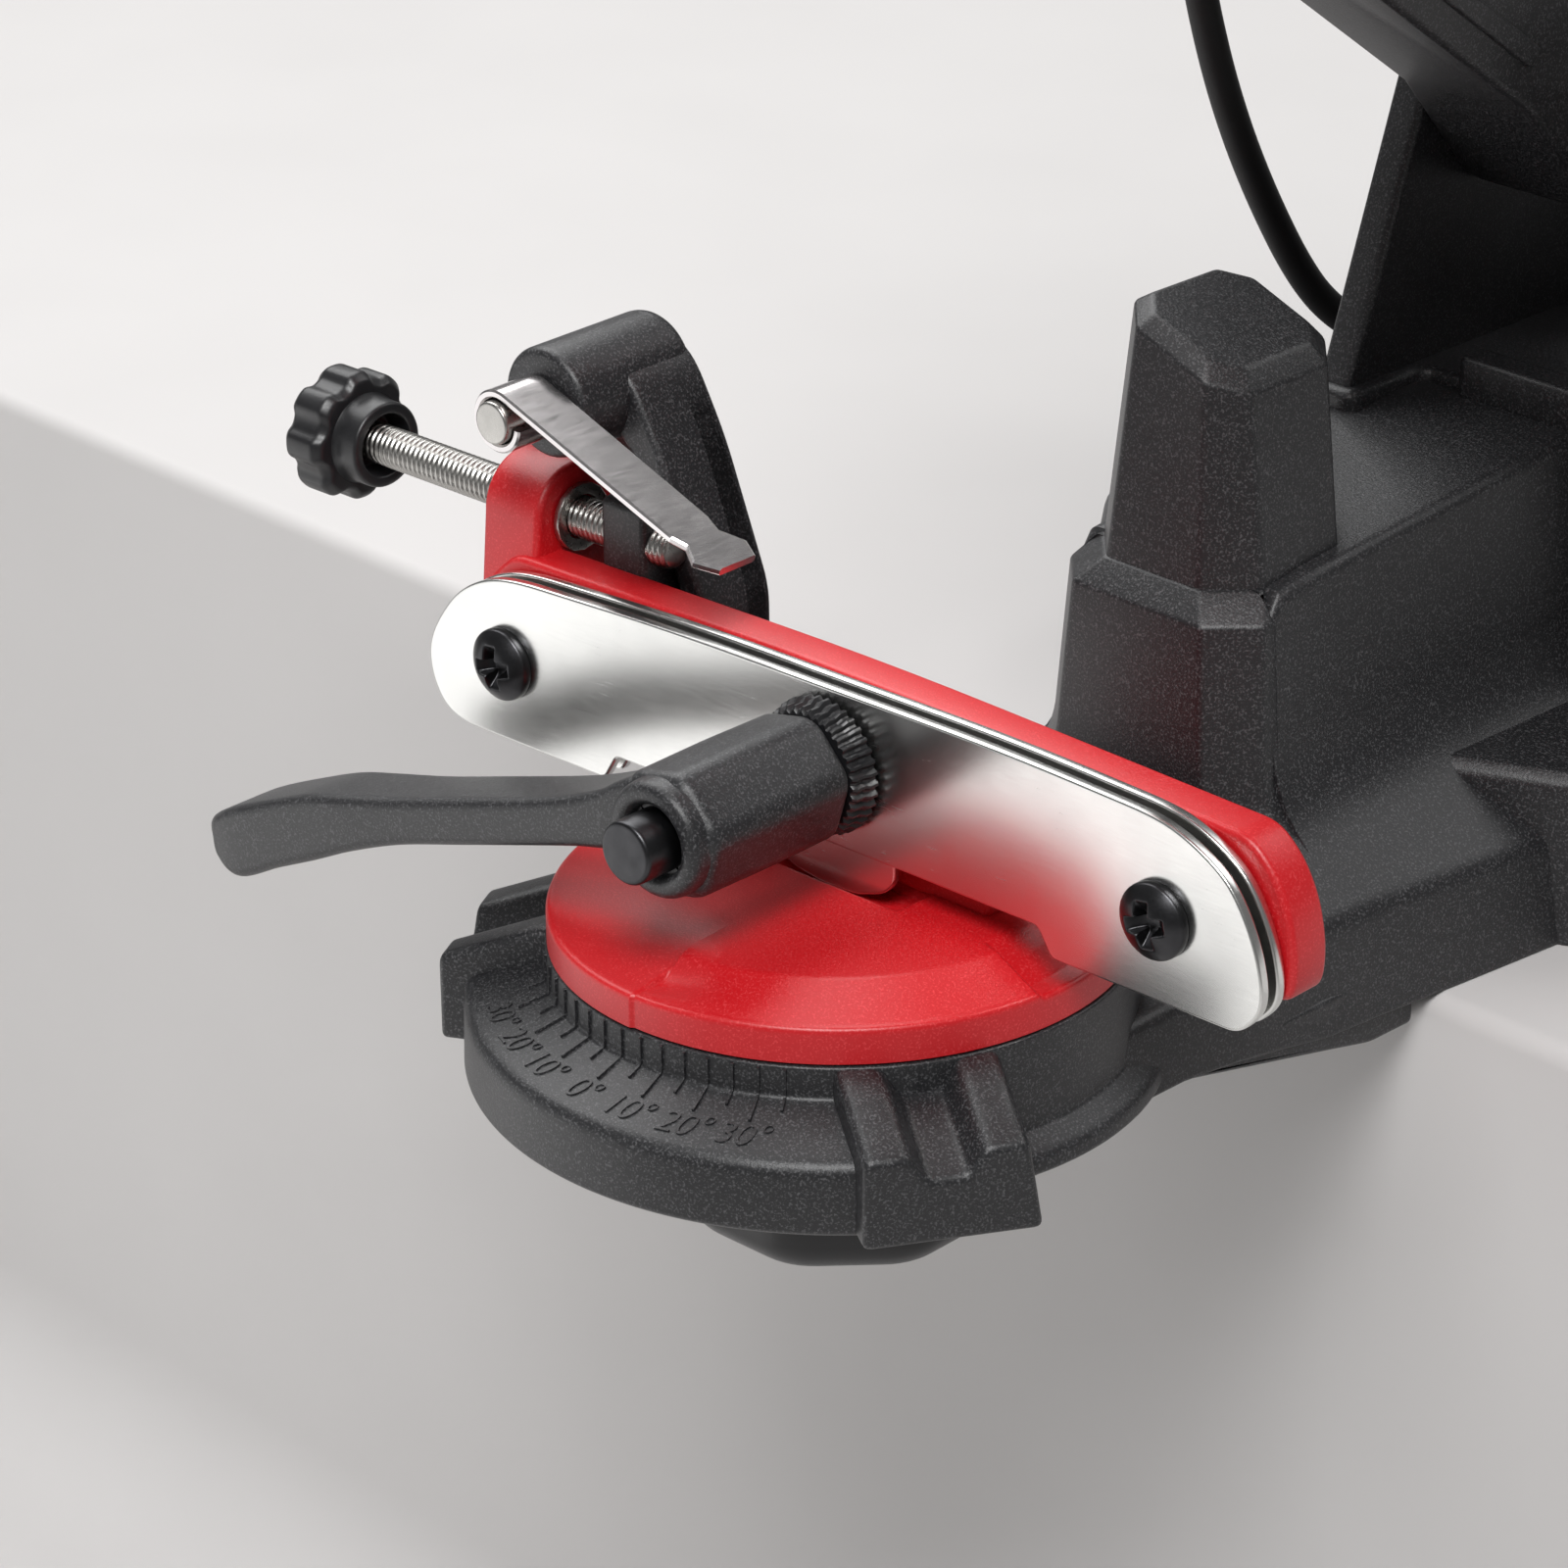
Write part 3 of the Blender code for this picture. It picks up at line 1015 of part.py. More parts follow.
def stop_carrier():
    outline = [(-CARRIER_FOOT_LEFT, CARRIER_FOOT_LOW), (-CARRIER_FOOT_OFFSET, CARRIER_FOOT_LOW),
               (-CARRIER_FOOT_OFFSET, CARRIER_FOOT_HEIGHT), (-CARRIER_TOP_OFFSET, CARRIER_TOP_HEIGHT)]
    outline += arc((-PIN_OFFSET, PIN_HEIGHT), BOSS_RADIUS, BOSS_ARC_DEGREES, EAR_STEPS)
    outline += [(-CARRIER_FOOT_LEFT, ADJUST_HEIGHT + ADJUST_ARCH + OVERRUN)]
    carrier = add("stop_carrier", prism(outline, CARRIER_ARM_NEAR, CARRIER_FAR, "Y"), "black", seat)
    fuse(carrier, rod(BOSS_RADIUS - GAP, BOSS_NEAR, CARRIER_FAR - OVERRUN, "Y", (-PIN_OFFSET, PIN_HEIGHT),
                      HUB_STEPS), seat)
    fuse(carrier, block((-NUT_LEFT, -NUT_RIGHT), (NUT_NEAR, CARRIER_FAR - OVERRUN),
                        (ADJUST_HEIGHT - NUT_DROP, ADJUST_HEIGHT + NUT_RISE)), seat)
    fuse(carrier, block((-CARRIER_FOOT_LEFT + GAP, -CARRIER_FOOT_OFFSET - GAP),
                        (WALL_FAR + GAP, CARRIER_ARM_NEAR + OVERRUN),
                        (CARRIER_FOOT_LOW + GAP, ADJUST_HEIGHT - CARRIER_FOOT_DROP)), seat)
    cut(carrier, block((-GUIDE_LEFT, -GUIDE_RIGHT), (WALL_FAR - OVERRUN, WALL_FAR + GUIDE_DEPTH + GAP),
                       (GUIDE_LOW - GAP, GUIDE_HIGH + GAP)), seat)
    cut(carrier, rod(ADJUST_RADIUS + GAP, -CARRIER_FOOT_LEFT - BOSS_RADIUS, -CARRIER_FOOT_OFFSET + OVERRUN,
                     "X", (ADJUST_OFFSET, ADJUST_HEIGHT), ROD_STEPS), seat)
    cut(carrier, rod(PIN_RADIUS + GAP, BOSS_NEAR - OVERRUN, CARRIER_FAR - OVERRUN, "Y",
                     (-PIN_OFFSET, PIN_HEIGHT)), seat)
    back = CARRIER_FAR - OVERRUN * 2
    add("pawl_pin", turned([(0, back), (PIN_RADIUS, back), (PIN_RADIUS, -PIN_FRONT + GAP),
                            (PIN_RADIUS - GAP, -PIN_FRONT), (0, -PIN_FRONT)], "Y",
                           (-PIN_OFFSET, PIN_HEIGHT), SMALL_STEPS), "steel", seat)


def pawl():
    """A steel strip rolled round the pin and running down to a widened tip on the rail."""
    inner = PIN_RADIUS + GAP
    outer = inner + PAWL_THICK
    run = Vector((PIN_OFFSET - PAWL_TIP_OFFSET, PAWL_TIP_HEIGHT - PIN_HEIGHT))
    lean = math.atan2(run.y, run.x) + math.asin(outer / run.length)
    direction = Vector((math.cos(lean), math.sin(lean)))
    normal = Vector((-direction.y, direction.x))
    centre = Vector((-PIN_OFFSET, PIN_HEIGHT))
    length = math.sqrt(run.length_squared - outer ** 2)
    start = math.degrees(math.atan2(normal.y, normal.x))
    wrap = (start + PAWL_WRAP_DEGREES, start)
    outside = [Vector(p) for p in arc(centre, outer, wrap, PAWL_STEPS)]
    inside = [Vector(p) for p in arc(centre, inner, wrap, PAWL_STEPS)]
    for share in PAWL_STATION_SHARES:
        outside.append(centre + normal * outer + direction * length * share)
        inside.append(centre + normal * inner + direction * length * share)
    rings = []
    count = len(outside)
    for i, (out, inn) in enumerate(zip(outside, inside)):
        half = PAWL_HALF
        if i == count - 2:
            half += PAWL_FORK_GROW
        if i == count - 1:
            half -= PAWL_FORK_GROW / 2
        rings.append([(out.x, -half, out.y), (out.x, half, out.y), (inn.x, half, inn.y),
                      (inn.x, -half, inn.y)])
    add("stop_pawl", loft(rings), "steel", seat, (-PIN_OFFSET, 0, PIN_HEIGHT))


# Grinding head, in the head frame
def in_head(bm):
    """Move a bmesh given by reach and height into the head frame."""
    bmesh.ops.translate(bm, verts=bm.verts, vec=-HEAD_ORIGIN)
    return bm


WHEEL_AXIS = (WHEEL_REACH, WHEEL_HEIGHT)


def head_add(name, bm, finish, origin=None):
    place = Vector(origin) - HEAD_ORIGIN if origin else (0, 0, 0)
    return add(name, in_head(bm), finish, head, place)


def head_cut(target, bm):
    cut(target, in_head(bm), head)


def head_fuse(target, bm):
    fuse(target, in_head(bm), head)


def guard_sector(profile):
    return turned(profile, "X", WHEEL_AXIS, GUARD_STEPS, GUARD_START, GUARD_END - GUARD_START)


def guard_ears(low, high):
    for angle in EAR_SCREW_ANGLES:
        yield rod(EAR_SCREW_RADIUS, low, high, "X",
                  (WHEEL_REACH + EAR_SCREW_OFFSET * math.cos(angle),
                   WHEEL_HEIGHT + EAR_SCREW_OFFSET * math.sin(angle)), TINY_STEPS)


def guard_bores(low, high):
    for angle in EAR_SCREW_ANGLES:
        yield rod(GUARD_SCREW_RADIUS + GAP, low, high, "X",
                  (WHEEL_REACH + EAR_SCREW_OFFSET * math.cos(angle),
                   WHEEL_HEIGHT + EAR_SCREW_OFFSET * math.sin(angle)), TINY_STEPS)


def guard():
    rim = GUARD_RADIUS - GUARD_WALL
    edge = -GUARD_LEFT + COVER_THICK + GAP
    inner = head_add("guard_housing", guard_sector([
        (GUARD_BORE + OVERRUN, GUARD_FAR), (GUARD_RADIUS, GUARD_FAR), (GUARD_RADIUS, edge), (rim, edge),
        (rim, GUARD_NEAR), (GUARD_BORE + OVERRUN, GUARD_NEAR)]), "black")
    head_fuse(inner, turned([(GUARD_BORE, GUARD_NEAR), (GUARD_BOSS_RADIUS, GUARD_NEAR),
                             (GUARD_BOSS_RADIUS, GUARD_FAR), (GUARD_BORE, GUARD_FAR)], "X", WHEEL_AXIS,
                            HUB_STEPS))
    for lump in guard_ears(edge, edge + GUARD_SCREW_LENGTH):
        head_fuse(inner, lump)
    middle = GUARD_RADIUS - GUARD_WALL / 2
    low_angle = math.degrees(math.asin((BRACKET_LOW - WHEEL_HEIGHT) / middle))
    high_angle = math.degrees(math.asin((BRACKET_HIGH - WHEEL_HEIGHT) / middle))
    front = arc(WHEEL_AXIS, middle, (high_angle, low_angle), BRACKET_STEPS)
    head_fuse(inner, prism(front + [(BRACKET_REACH - GAP, BRACKET_LOW), (BRACKET_REACH - GAP, BRACKET_HIGH)],
                           -BRACKET_HALF, BRACKET_HALF, "X"))
    for bore in guard_bores(edge - OVERRUN, edge + GUARD_SCREW_LENGTH - OVERRUN):
        head_cut(inner, bore)
    cover = head_add("guard_cover", guard_sector([
        (COVER_BORE, -GUARD_LEFT), (GUARD_RADIUS, -GUARD_LEFT), (GUARD_RADIUS, -GUARD_LEFT + COVER_THICK),
        (COVER_BORE, -GUARD_LEFT + COVER_THICK)]), "red")
    for lump in guard_ears(-GUARD_LEFT, -GUARD_LEFT + COVER_THICK):
        head_fuse(cover, lump)
    for bore in guard_bores(-GUARD_LEFT - OVERRUN, edge):
        head_cut(cover, bore)
    outside = -GUARD_LEFT - GAP
    for index, angle in enumerate(EAR_SCREW_ANGLES):
        place = (WHEEL_REACH + EAR_SCREW_OFFSET * math.cos(angle),
                 WHEEL_HEIGHT + EAR_SCREW_OFFSET * math.sin(angle))
        end = edge + GUARD_SCREW_LENGTH - OVERRUN * 2
        head_add("guard_screw_%d" % (index + 1), turned([
            (0, end), (GUARD_SCREW_RADIUS, end), (GUARD_SCREW_RADIUS, outside),
            (GUARD_SCREW_HEAD_RADIUS, outside),
            (GUARD_SCREW_HEAD_RADIUS * GUARD_SCREW_TOP_SHARE, outside - GUARD_SCREW_HEAD),
            (0, outside - GUARD_SCREW_HEAD)], "X", place, TINY_STEPS), "oxide")


def spinning():
    origin = (0, *WHEEL_AXIS)
    face = WHEEL_HALF
    head_add("grinding_wheel", turned([(WHEEL_BORE, -face), (WHEEL_RADIUS, -face), (WHEEL_RADIUS, face),
                                       (WHEEL_BORE, face)], "X", WHEEL_AXIS, ROUND_STEPS + SMALL_STEPS),
             "stone", origin)
    bore = ARBOR_RADIUS + GAP
    inner = face + GAP
    step = FLANGE_THICK * FLANGE_STEP_SHARE
    step_radius = FLANGE_RADIUS * FLANGE_STEP_SHARE
    head_add("flange_inner", turned([
        (bore, -face + GAP), (WHEEL_BORE - GAP, -face + GAP), (WHEEL_BORE - GAP, inner),
        (FLANGE_RADIUS, inner), (FLANGE_RADIUS, inner + step), (step_radius, inner + FLANGE_THICK),
        (bore, inner + FLANGE_THICK)], "X", WHEEL_AXIS, HUB_STEPS), "steel", origin)
    head_add("flange_outer", turned([
        (bore, -inner), (FLANGE_RADIUS, -inner), (FLANGE_RADIUS, -inner - step),
        (step_radius, -inner - FLANGE_THICK), (bore, -inner - FLANGE_THICK)],
        "X", WHEEL_AXIS, HUB_STEPS), "steel", origin)
    nut_face = -inner - FLANGE_THICK - GAP
    head_add("arbor_nut", nut(NUT_RADIUS, bore, nut_face - NUT_THICK, nut_face, "X", WHEEL_AXIS),
             "steel", origin)
    end = GUARD_FAR + BEARING_THICK + MOTOR_LENGTH + GAP * 4
    tip = -ARBOR_LEFT + COVER_THICK + GAP
    head_add("arbor", turned([(0, end), (ARBOR_RADIUS, end), (ARBOR_RADIUS, tip), (0, tip)], "X", WHEEL_AXIS,
                             SMALL_STEPS), "steel", origin)


def motor():
    front = GUARD_FAR + GAP
    inside = HOUSING_RADIUS - HOUSING_WALL
    bore = ARBOR_RADIUS + GAP
    seat_end = front + BEARING_THICK
    head_add("front_bearing", turned([(bore, front), (BEARING_RADIUS, front), (BEARING_RADIUS, seat_end),
                                      (bore, seat_end)], "X", WHEEL_AXIS, ROD_STEPS), "steel")
    head_add("bearing_carrier", turned([
        (BEARING_RADIUS + GAP, front), (inside - GAP, front), (inside - GAP, seat_end),
        (BEARING_RADIUS + GAP, seat_end)], "X", WHEEL_AXIS, HUB_STEPS), "zinc")
    back = seat_end + GAP
    rear = back + MOTOR_LENGTH
    head_add("motor", turned([(bore, back), (MOTOR_RADIUS, back), (MOTOR_RADIUS, rear), (bore, rear)],
                             "X", WHEEL_AXIS, HUB_STEPS), "steel")
    barrel_end = front + HOUSING_LENGTH
    head_add("motor_housing", turned([(inside, front), (HOUSING_RADIUS, front), (HOUSING_RADIUS, barrel_end),
                                      (inside, barrel_end)], "X", WHEEL_AXIS, ROUND_STEPS), "red")
    cap = barrel_end + GAP
    head_add("motor_cap", turned([
        (0, cap), (HOUSING_RADIUS, cap), (HOUSING_RADIUS, cap + CAP_LENGTH - CAP_ROUND),
        (HOUSING_RADIUS - CAP_ROUND * CAP_ROUND_SHARE, cap + CAP_LENGTH - CAP_ROUND * CAP_ROUND_SHARE),
        (HOUSING_RADIUS - CAP_ROUND, cap + CAP_LENGTH), (0, cap + CAP_LENGTH)],
        "X", WHEEL_AXIS, ROUND_STEPS), "black")


def tilt_arm():
    hub = arc((PIVOT_REACH, PIVOT_HEIGHT), TILT_ROUND, (-90, 90), TILT_STEPS)
    outline = hub + [(TILT_CROWN_REACH, TILT_TOP), (BRACKET_REACH, TILT_TOP), (BRACKET_REACH, TILT_UNDER),
                     (PIVOT_REACH - TILT_HEEL, TILT_UNDER)]
    arm = head_add("tilt_arm", prism(outline, -TILT_LEFT, TILT_RIGHT, "X"), "black")
    soften(arm, OVERRUN / 2)
    head_cut(arm, rod(PIVOT_RADIUS + GAP, -TILT_LEFT - OVERRUN, TILT_RIGHT + OVERRUN, "X",
                      (PIVOT_REACH, PIVOT_HEIGHT)))
    head_cut(arm, rod(STOP_RADIUS + GAP, TILT_UNDER - OVERRUN, TILT_TOP + OVERRUN,
                      centre=(0, STOP_REACH)))
    head_cut(arm, rod(GLAND_RADIUS + GAP, -TILT_LEFT - OVERRUN, -TILT_LEFT + GLAND_PLUG + GAP, "X",
                      (HEAD_GLAND_REACH, HEAD_GLAND_HEIGHT)))
    origin = (0, STOP_REACH, TILT_TOP)
    knob_low = TILT_TOP + GAP * 2 + LOCK_NUT_THICK + STOP_HEAD_CLEAR
    head_add("depth_screw", turned([
        (0, STOP_TIP), (STOP_TIP_RADIUS, STOP_TIP), (STOP_RADIUS, STOP_TIP + STOP_RADIUS - STOP_TIP_RADIUS),
        (STOP_RADIUS, knob_low), (STOP_HEAD_RADIUS, knob_low),
        (STOP_HEAD_RADIUS, knob_low + STOP_HEAD * STOP_HEAD_SHARE),
        (STOP_HEAD_RADIUS * STOP_HEAD_SHARE, knob_low + STOP_HEAD), (0, knob_low + STOP_HEAD)],
        centre=(0, STOP_REACH), steps=SMALL_STEPS), "oxide", origin)
    nut_low = TILT_TOP + GAP
    head_add("depth_lock_nut", nut(LOCK_NUT_RADIUS, STOP_RADIUS + GAP, nut_low, nut_low + LOCK_NUT_THICK,
                                   centre=(0, STOP_REACH)), "steel", origin)


def handle():
    rings = []
    stations = [(-HANDLE_ROOT, HANDLE_ROOT_SHARE, 0), (-HANDLE_NECK, 1, HANDLE_NECK_RISE_SHARE)]
    stations += [(-HANDLE_FRONT * along, size, along) for along, size in HANDLE_STATION_SHARES]
    for y, share, rise in stations:
        ring = []
        for i in range(HANDLE_SIDES):
            angle = math.tau * i / HANDLE_SIDES
            ring.append((HANDLE_PLACE + HANDLE_HALF * share * math.cos(angle), y,
                         WHEEL_HEIGHT + HANDLE_RISE * rise + HANDLE_DEEP * share * math.sin(angle)))
        rings.append(ring)
    grip = head_add("handle", loft(rings), "black")
    head_cut(grip, turned([(0, -HANDLE_HALF), (HOUSING_RADIUS + GAP, -HANDLE_HALF),
                           (HOUSING_RADIUS + GAP, HOUSING_LENGTH * 2), (0, HOUSING_LENGTH * 2)],
                          "X", WHEEL_AXIS, ROUND_STEPS))
    middle = (TRIGGER_NEAR + TRIGGER_FAR) / 2
    floor = WHEEL_HEIGHT + HANDLE_RISE * middle / HANDLE_FRONT - HANDLE_DEEP
    head_cut(grip, block((HANDLE_PLACE - TRIGGER_HALF - GAP, HANDLE_PLACE + TRIGGER_HALF + GAP),
                         (-TRIGGER_FAR - GAP, -TRIGGER_NEAR + GAP),
                         (floor - TRIGGER_DEPTH, floor + TRIGGER_DEPTH + TRIGGER_PROUD)))
    low = floor - TRIGGER_PROUD
    tip, edge, dip, heel, root = (TRIGGER_PROUD * share for share in TRIGGER_SHARES)
    side = [(-TRIGGER_FAR, floor + TRIGGER_DEPTH), (-TRIGGER_FAR, low + tip), (-TRIGGER_FAR + edge, low),
            (-middle, low + dip), (-TRIGGER_NEAR - edge, low + heel), (-TRIGGER_NEAR, low + root),
            (-TRIGGER_NEAR, floor + TRIGGER_DEPTH)]
    head_add("trigger", prism(side, HANDLE_PLACE - TRIGGER_HALF, HANDLE_PLACE + TRIGGER_HALF, "X"), "red")


# Pivot shaft and return spring, on the base
def pivot():
    axis = (reach(PIVOT_REACH), PIVOT_HEIGHT)
    left = TOWER_LEFT - GAP
    right = TOWER_RIGHT + GAP
    add("pivot_shaft", turned([
        (0, left - PIVOT_HEAD), (PIVOT_HEAD_RADIUS, left - PIVOT_HEAD), (PIVOT_HEAD_RADIUS, left),
        (PIVOT_RADIUS, left), (PIVOT_RADIUS, right + PIVOT_END), (0, right + PIVOT_END)],
        "X", axis, SMALL_STEPS), "steel")
    add("pivot_nut", nut(PIVOT_HEAD_RADIUS, PIVOT_RADIUS + GAP, right, right + PIVOT_HEAD, "X", axis),
        "steel")
    room = TOWER_RIGHT - EAR_THICK - TILT_RIGHT - GAP * 4 - SPRING_WIRE * 2
    start = TILT_RIGHT + GAP * 2 + SPRING_WIRE
    count = SPRING_TURNS * SPRING_POINTS
    path = []
    for i in range(count + 1):
        angle = math.tau * i / SPRING_POINTS
        path.append(Vector((start + room * i / count, axis[0] + SPRING_RADIUS * math.cos(angle),
                            axis[1] + SPRING_RADIUS * math.sin(angle))))
    wire("return_spring", path, SPRING_WIRE, 1, "steel")
    turns = zip(path, path[SPRING_POINTS:])
    gap = min((a - b).length for a, b in turns) - SPRING_WIRE * 2
    print("return spring, least gap between turns in metres:", round(gap, 5))


# Battery and dock
def battery():
    front = reach(DOCK_REACH) + GAP
    back = front + DOCK_LENGTH
    step = DOCK_LENGTH / 2
    neck = DOCK_HALF - RAIL_GROOVE
    plan = [(-DOCK_HALF, front), (DOCK_HALF, front), (DOCK_HALF, front + step), (neck, front + step),
            (neck, back), (-neck, back), (-neck, front + step), (-DOCK_HALF, front + step)]
    dock = add("battery_dock", prism(plan, DOCK_LOW, DOCK_TOP), "black")
    cut(dock, block((-TERMINAL_HALF - GAP, TERMINAL_HALF + GAP),
                    (back - TERMINAL_DEPTH - GAP, back + OVERRUN),
                    (TERMINAL_LOW - GAP, TERMINAL_HIGH + GAP)))
    add("terminal_block", block((-TERMINAL_HALF, TERMINAL_HALF), (back - TERMINAL_DEPTH, back - GAP),
                                (TERMINAL_LOW, TERMINAL_HIGH)), "brass")
    near = back + GAP
    far = near + BATTERY_LENGTH
    pack = add("battery_pack", block((-BATTERY_HALF, BATTERY_HALF), (near, far), (BATTERY_LOW, BATTERY_HIGH)),
               "black")
    soften(pack, BATTERY_ROUND, 2)
    latch_top = BATTERY_HIGH - LATCH_DROP
    cut(pack, block((-LATCH_HALF - GAP, LATCH_HALF + GAP), (far - LATCH_POCKET, far + OVERRUN),
                    (latch_top - LATCH_HEIGHT - GAP, latch_top + GAP)))
    latch = add("battery_button", block((-LATCH_HALF, LATCH_HALF),
                                        (far - LATCH_THICK, far + LATCH_PROUD),
                                        (latch_top - LATCH_HEIGHT, latch_top)), "red")
    soften(latch, LATCH_PROUD / 2)


# Cable and its glands
def gland_profile(face):
    return [(0, face + GLAND_PLUG), (GLAND_RADIUS, face + GLAND_PLUG), (GLAND_RADIUS, face - GLAND_COLLAR),
            (GLAND_TIP_RADIUS, face - GLAND_LENGTH), (0, face - GLAND_LENGTH)]


def cable():
    base_axis = (reach(BASE_GLAND_REACH), BASE_GLAND_HEIGHT)
    head_axis = (HEAD_GLAND_REACH, HEAD_GLAND_HEIGHT)
    add("cable_gland_base", turned(gland_profile(TOWER_LEFT), "X", base_axis, SMALL_STEPS), "rubber")
    head_add("cable_gland_head", turned(gland_profile(-TILT_LEFT), "X", head_axis, SMALL_STEPS), "rubber")
    route = smooth(CABLE_ROUTE, CABLE_STEPS)
    wire("head_cable", route, CABLE_RADIUS, 2, "rubber")
    length = sum((b - a).length for a, b in zip(route, route[1:]))
    print("head cable, length in metres:", round(length, 4))


def smooth(route, steps):
    """Points on a smooth curve through the route's points."""
    knots = [Vector(p) for p in route]
    knots = [knots[0] * 2 - knots[1]] + knots + [knots[-1] * 2 - knots[-2]]
    points = []
    for a, b, c, d in zip(knots, knots[1:], knots[2:], knots[3:]):
        for i in range(steps):
            t = i / steps
            points.append((b * 2 + (c - a) * t + (a * 2 - b * 5 + c * 4 - d) * t * t
                           + (b * 3 - a - c * 3 + d) * t * t * t) / 2)
    return points + [knots[-2]]


plate_outline = base_housing()
base_cover(plate_outline)
turntable()
swivel_bolt()
rails()
clamp()
adjuster()
stop_carrier()
pawl()
guard()
spinning()
motor()
tilt_arm()
handle()
pivot()
battery()
cable()
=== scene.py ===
import json
import math

import bmesh
import bpy
import numpy as np
from mathutils import Matrix, Vector

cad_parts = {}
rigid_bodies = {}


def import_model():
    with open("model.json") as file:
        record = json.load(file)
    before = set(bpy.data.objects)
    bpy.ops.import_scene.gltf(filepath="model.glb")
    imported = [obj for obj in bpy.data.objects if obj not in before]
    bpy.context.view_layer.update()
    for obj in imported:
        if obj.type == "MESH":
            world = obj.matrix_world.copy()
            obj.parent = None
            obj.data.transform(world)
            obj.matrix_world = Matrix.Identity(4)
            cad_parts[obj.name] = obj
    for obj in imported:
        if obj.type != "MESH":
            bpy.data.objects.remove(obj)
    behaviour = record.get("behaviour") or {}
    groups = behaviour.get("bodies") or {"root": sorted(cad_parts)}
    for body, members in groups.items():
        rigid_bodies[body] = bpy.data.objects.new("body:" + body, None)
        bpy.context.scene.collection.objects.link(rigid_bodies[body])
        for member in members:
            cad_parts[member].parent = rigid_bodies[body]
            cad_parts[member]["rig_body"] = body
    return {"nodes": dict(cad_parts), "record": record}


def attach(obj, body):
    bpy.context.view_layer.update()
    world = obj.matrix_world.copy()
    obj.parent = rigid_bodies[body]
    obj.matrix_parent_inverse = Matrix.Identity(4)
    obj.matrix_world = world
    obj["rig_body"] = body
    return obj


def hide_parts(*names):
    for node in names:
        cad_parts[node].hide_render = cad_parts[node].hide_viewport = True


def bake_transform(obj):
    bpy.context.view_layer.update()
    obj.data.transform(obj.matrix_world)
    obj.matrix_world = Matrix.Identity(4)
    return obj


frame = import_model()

mm = 0.001
quarter = math.pi / 2
scene = bpy.context.scene
nodes = frame["nodes"]
slots = {part["node"]: part["material_slot"] for part in frame["record"]["subparts"]}
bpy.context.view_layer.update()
print("frame loaded:", len(nodes), "nodes")


# Places and shapes are in millimetres; solid() turns them into metres.
# base: x, reach behind the swivel axis, height. seat: the same, turned with the rail.
# head: the same three, as the head stands when it is lowered.
places = {
    "swivelReach": 170, "seatTurn": math.radians(2.4), "headTilt": math.radians(-36.0),
    "pivotReach": 150, "pivotHeight": 105,
}
toBase = Matrix.Translation((0, -places["swivelReach"] * mm, 0))
toSeat = toBase @ Matrix.Rotation(places["seatTurn"], 4, "Z")
toPivot = Matrix.Translation((0, places["pivotReach"] * mm, places["pivotHeight"] * mm))
toHead = toBase @ toPivot @ Matrix.Rotation(places["headTilt"], 4, "X") @ toPivot.inverted()
homes = {
    **dict.fromkeys(("base", "battery", "battery_button"), toBase),
    **dict.fromkeys(("seat", "lock", "clamp", "adjuster", "chain_stop", "pawl"), toSeat),
    **dict.fromkeys(("head", "wheel", "trigger", "depth_stop"), toHead),
}


# Mesh tools
# sRGB hex to linear: c / 12.92 below 0.04045, else ((c + 0.055) / 1.055) to the power 2.4
def hexToLinear(code):
    c = np.array([int(code[i:i + 2], 16) for i in (1, 3, 5)]) / 255
    linear = np.where(c > 0.04045, ((c + 0.055) / 1.055) ** 2.4, c / 12.92)
    return (*linear.tolist(), 1.0)


# A grid of points (m, n, 3) as vertices and quads; open ends of its columns can be closed with one face each
def skin(grid, closeRows=False, closeColumns=True, caps=True):
    m, n = grid.shape[:2]
    rows, columns = np.arange(m if closeRows else m - 1), np.arange(n if closeColumns else n - 1)
    i, j = np.meshgrid(rows, columns, indexing="ij")
    here, below, right = i * n, (i + 1) % m * n, (j + 1) % n
    faces = np.stack([here + j, here + right, below + right, below + j], -1).reshape(-1, 4).tolist()
    if caps and not closeRows:
        faces += [list(range(n))[::-1], list(range((m - 1) * n, m * n))]
    return grid.reshape(-1, 3), faces


def joined(*parts):
    count, verts, faces = 0, [], []
    for v, f in parts:
        verts.append(np.asarray(v, float))
        faces += [[i + count for i in face] for face in f]
        count += len(v)
    return np.concatenate(verts), faces


# Axis words: which of x, y, z hold a, b and the height of a flat outline that stands along an axis
axisOrder = {"X": (1, 2, 0), "Y": (0, 2, 1), "Z": (0, 1, 2)}


def stand(a, b, h, axis="Z", centre=(0, 0)):
    a, b, h = np.broadcast_arrays(a, b, h)
    out = np.empty(a.shape + (3,))
    for k, value in zip(axisOrder[axis], (a + centre[0], b + centre[1], h)):
        out[..., k] = value
    return out


def points(*rows):
    return np.array(rows, float)


def turnSteps(steps):
    return np.linspace(0, math.tau, steps, endpoint=False)[:, None]


# Corner C between A and B becomes (1-t)^2 A + 2 t (1-t) C + t^2 B, with A and B one radius away from it
def cornerCurves(before, corner, after, radius, steps):
    ends = []
    for other in (before, after):
        length = np.maximum(np.linalg.norm(other - corner, axis=-1, keepdims=True), 1e-6)
        ends.append((corner + (other - corner) / length * np.minimum(radius, length * 0.49))[..., None, :])
    t = np.linspace(0, 1, steps + 1)[:, None]
    curve = (1 - t) ** 2 * ends[0] + 2 * t * (1 - t) * corner[..., None, :] + t ** 2 * ends[1]
    return curve.reshape(corner.shape[:-2] + (-1, 2))


# A closed outline with soft corners
def rounded(corners, radius, steps=5):
    c = np.asarray(corners, float)
    r = np.broadcast_to(np.asarray(radius, float), (len(c),))[:, None]
    return cornerCurves(np.roll(c, 1, 0), c, np.roll(c, -1, 0), r, steps)


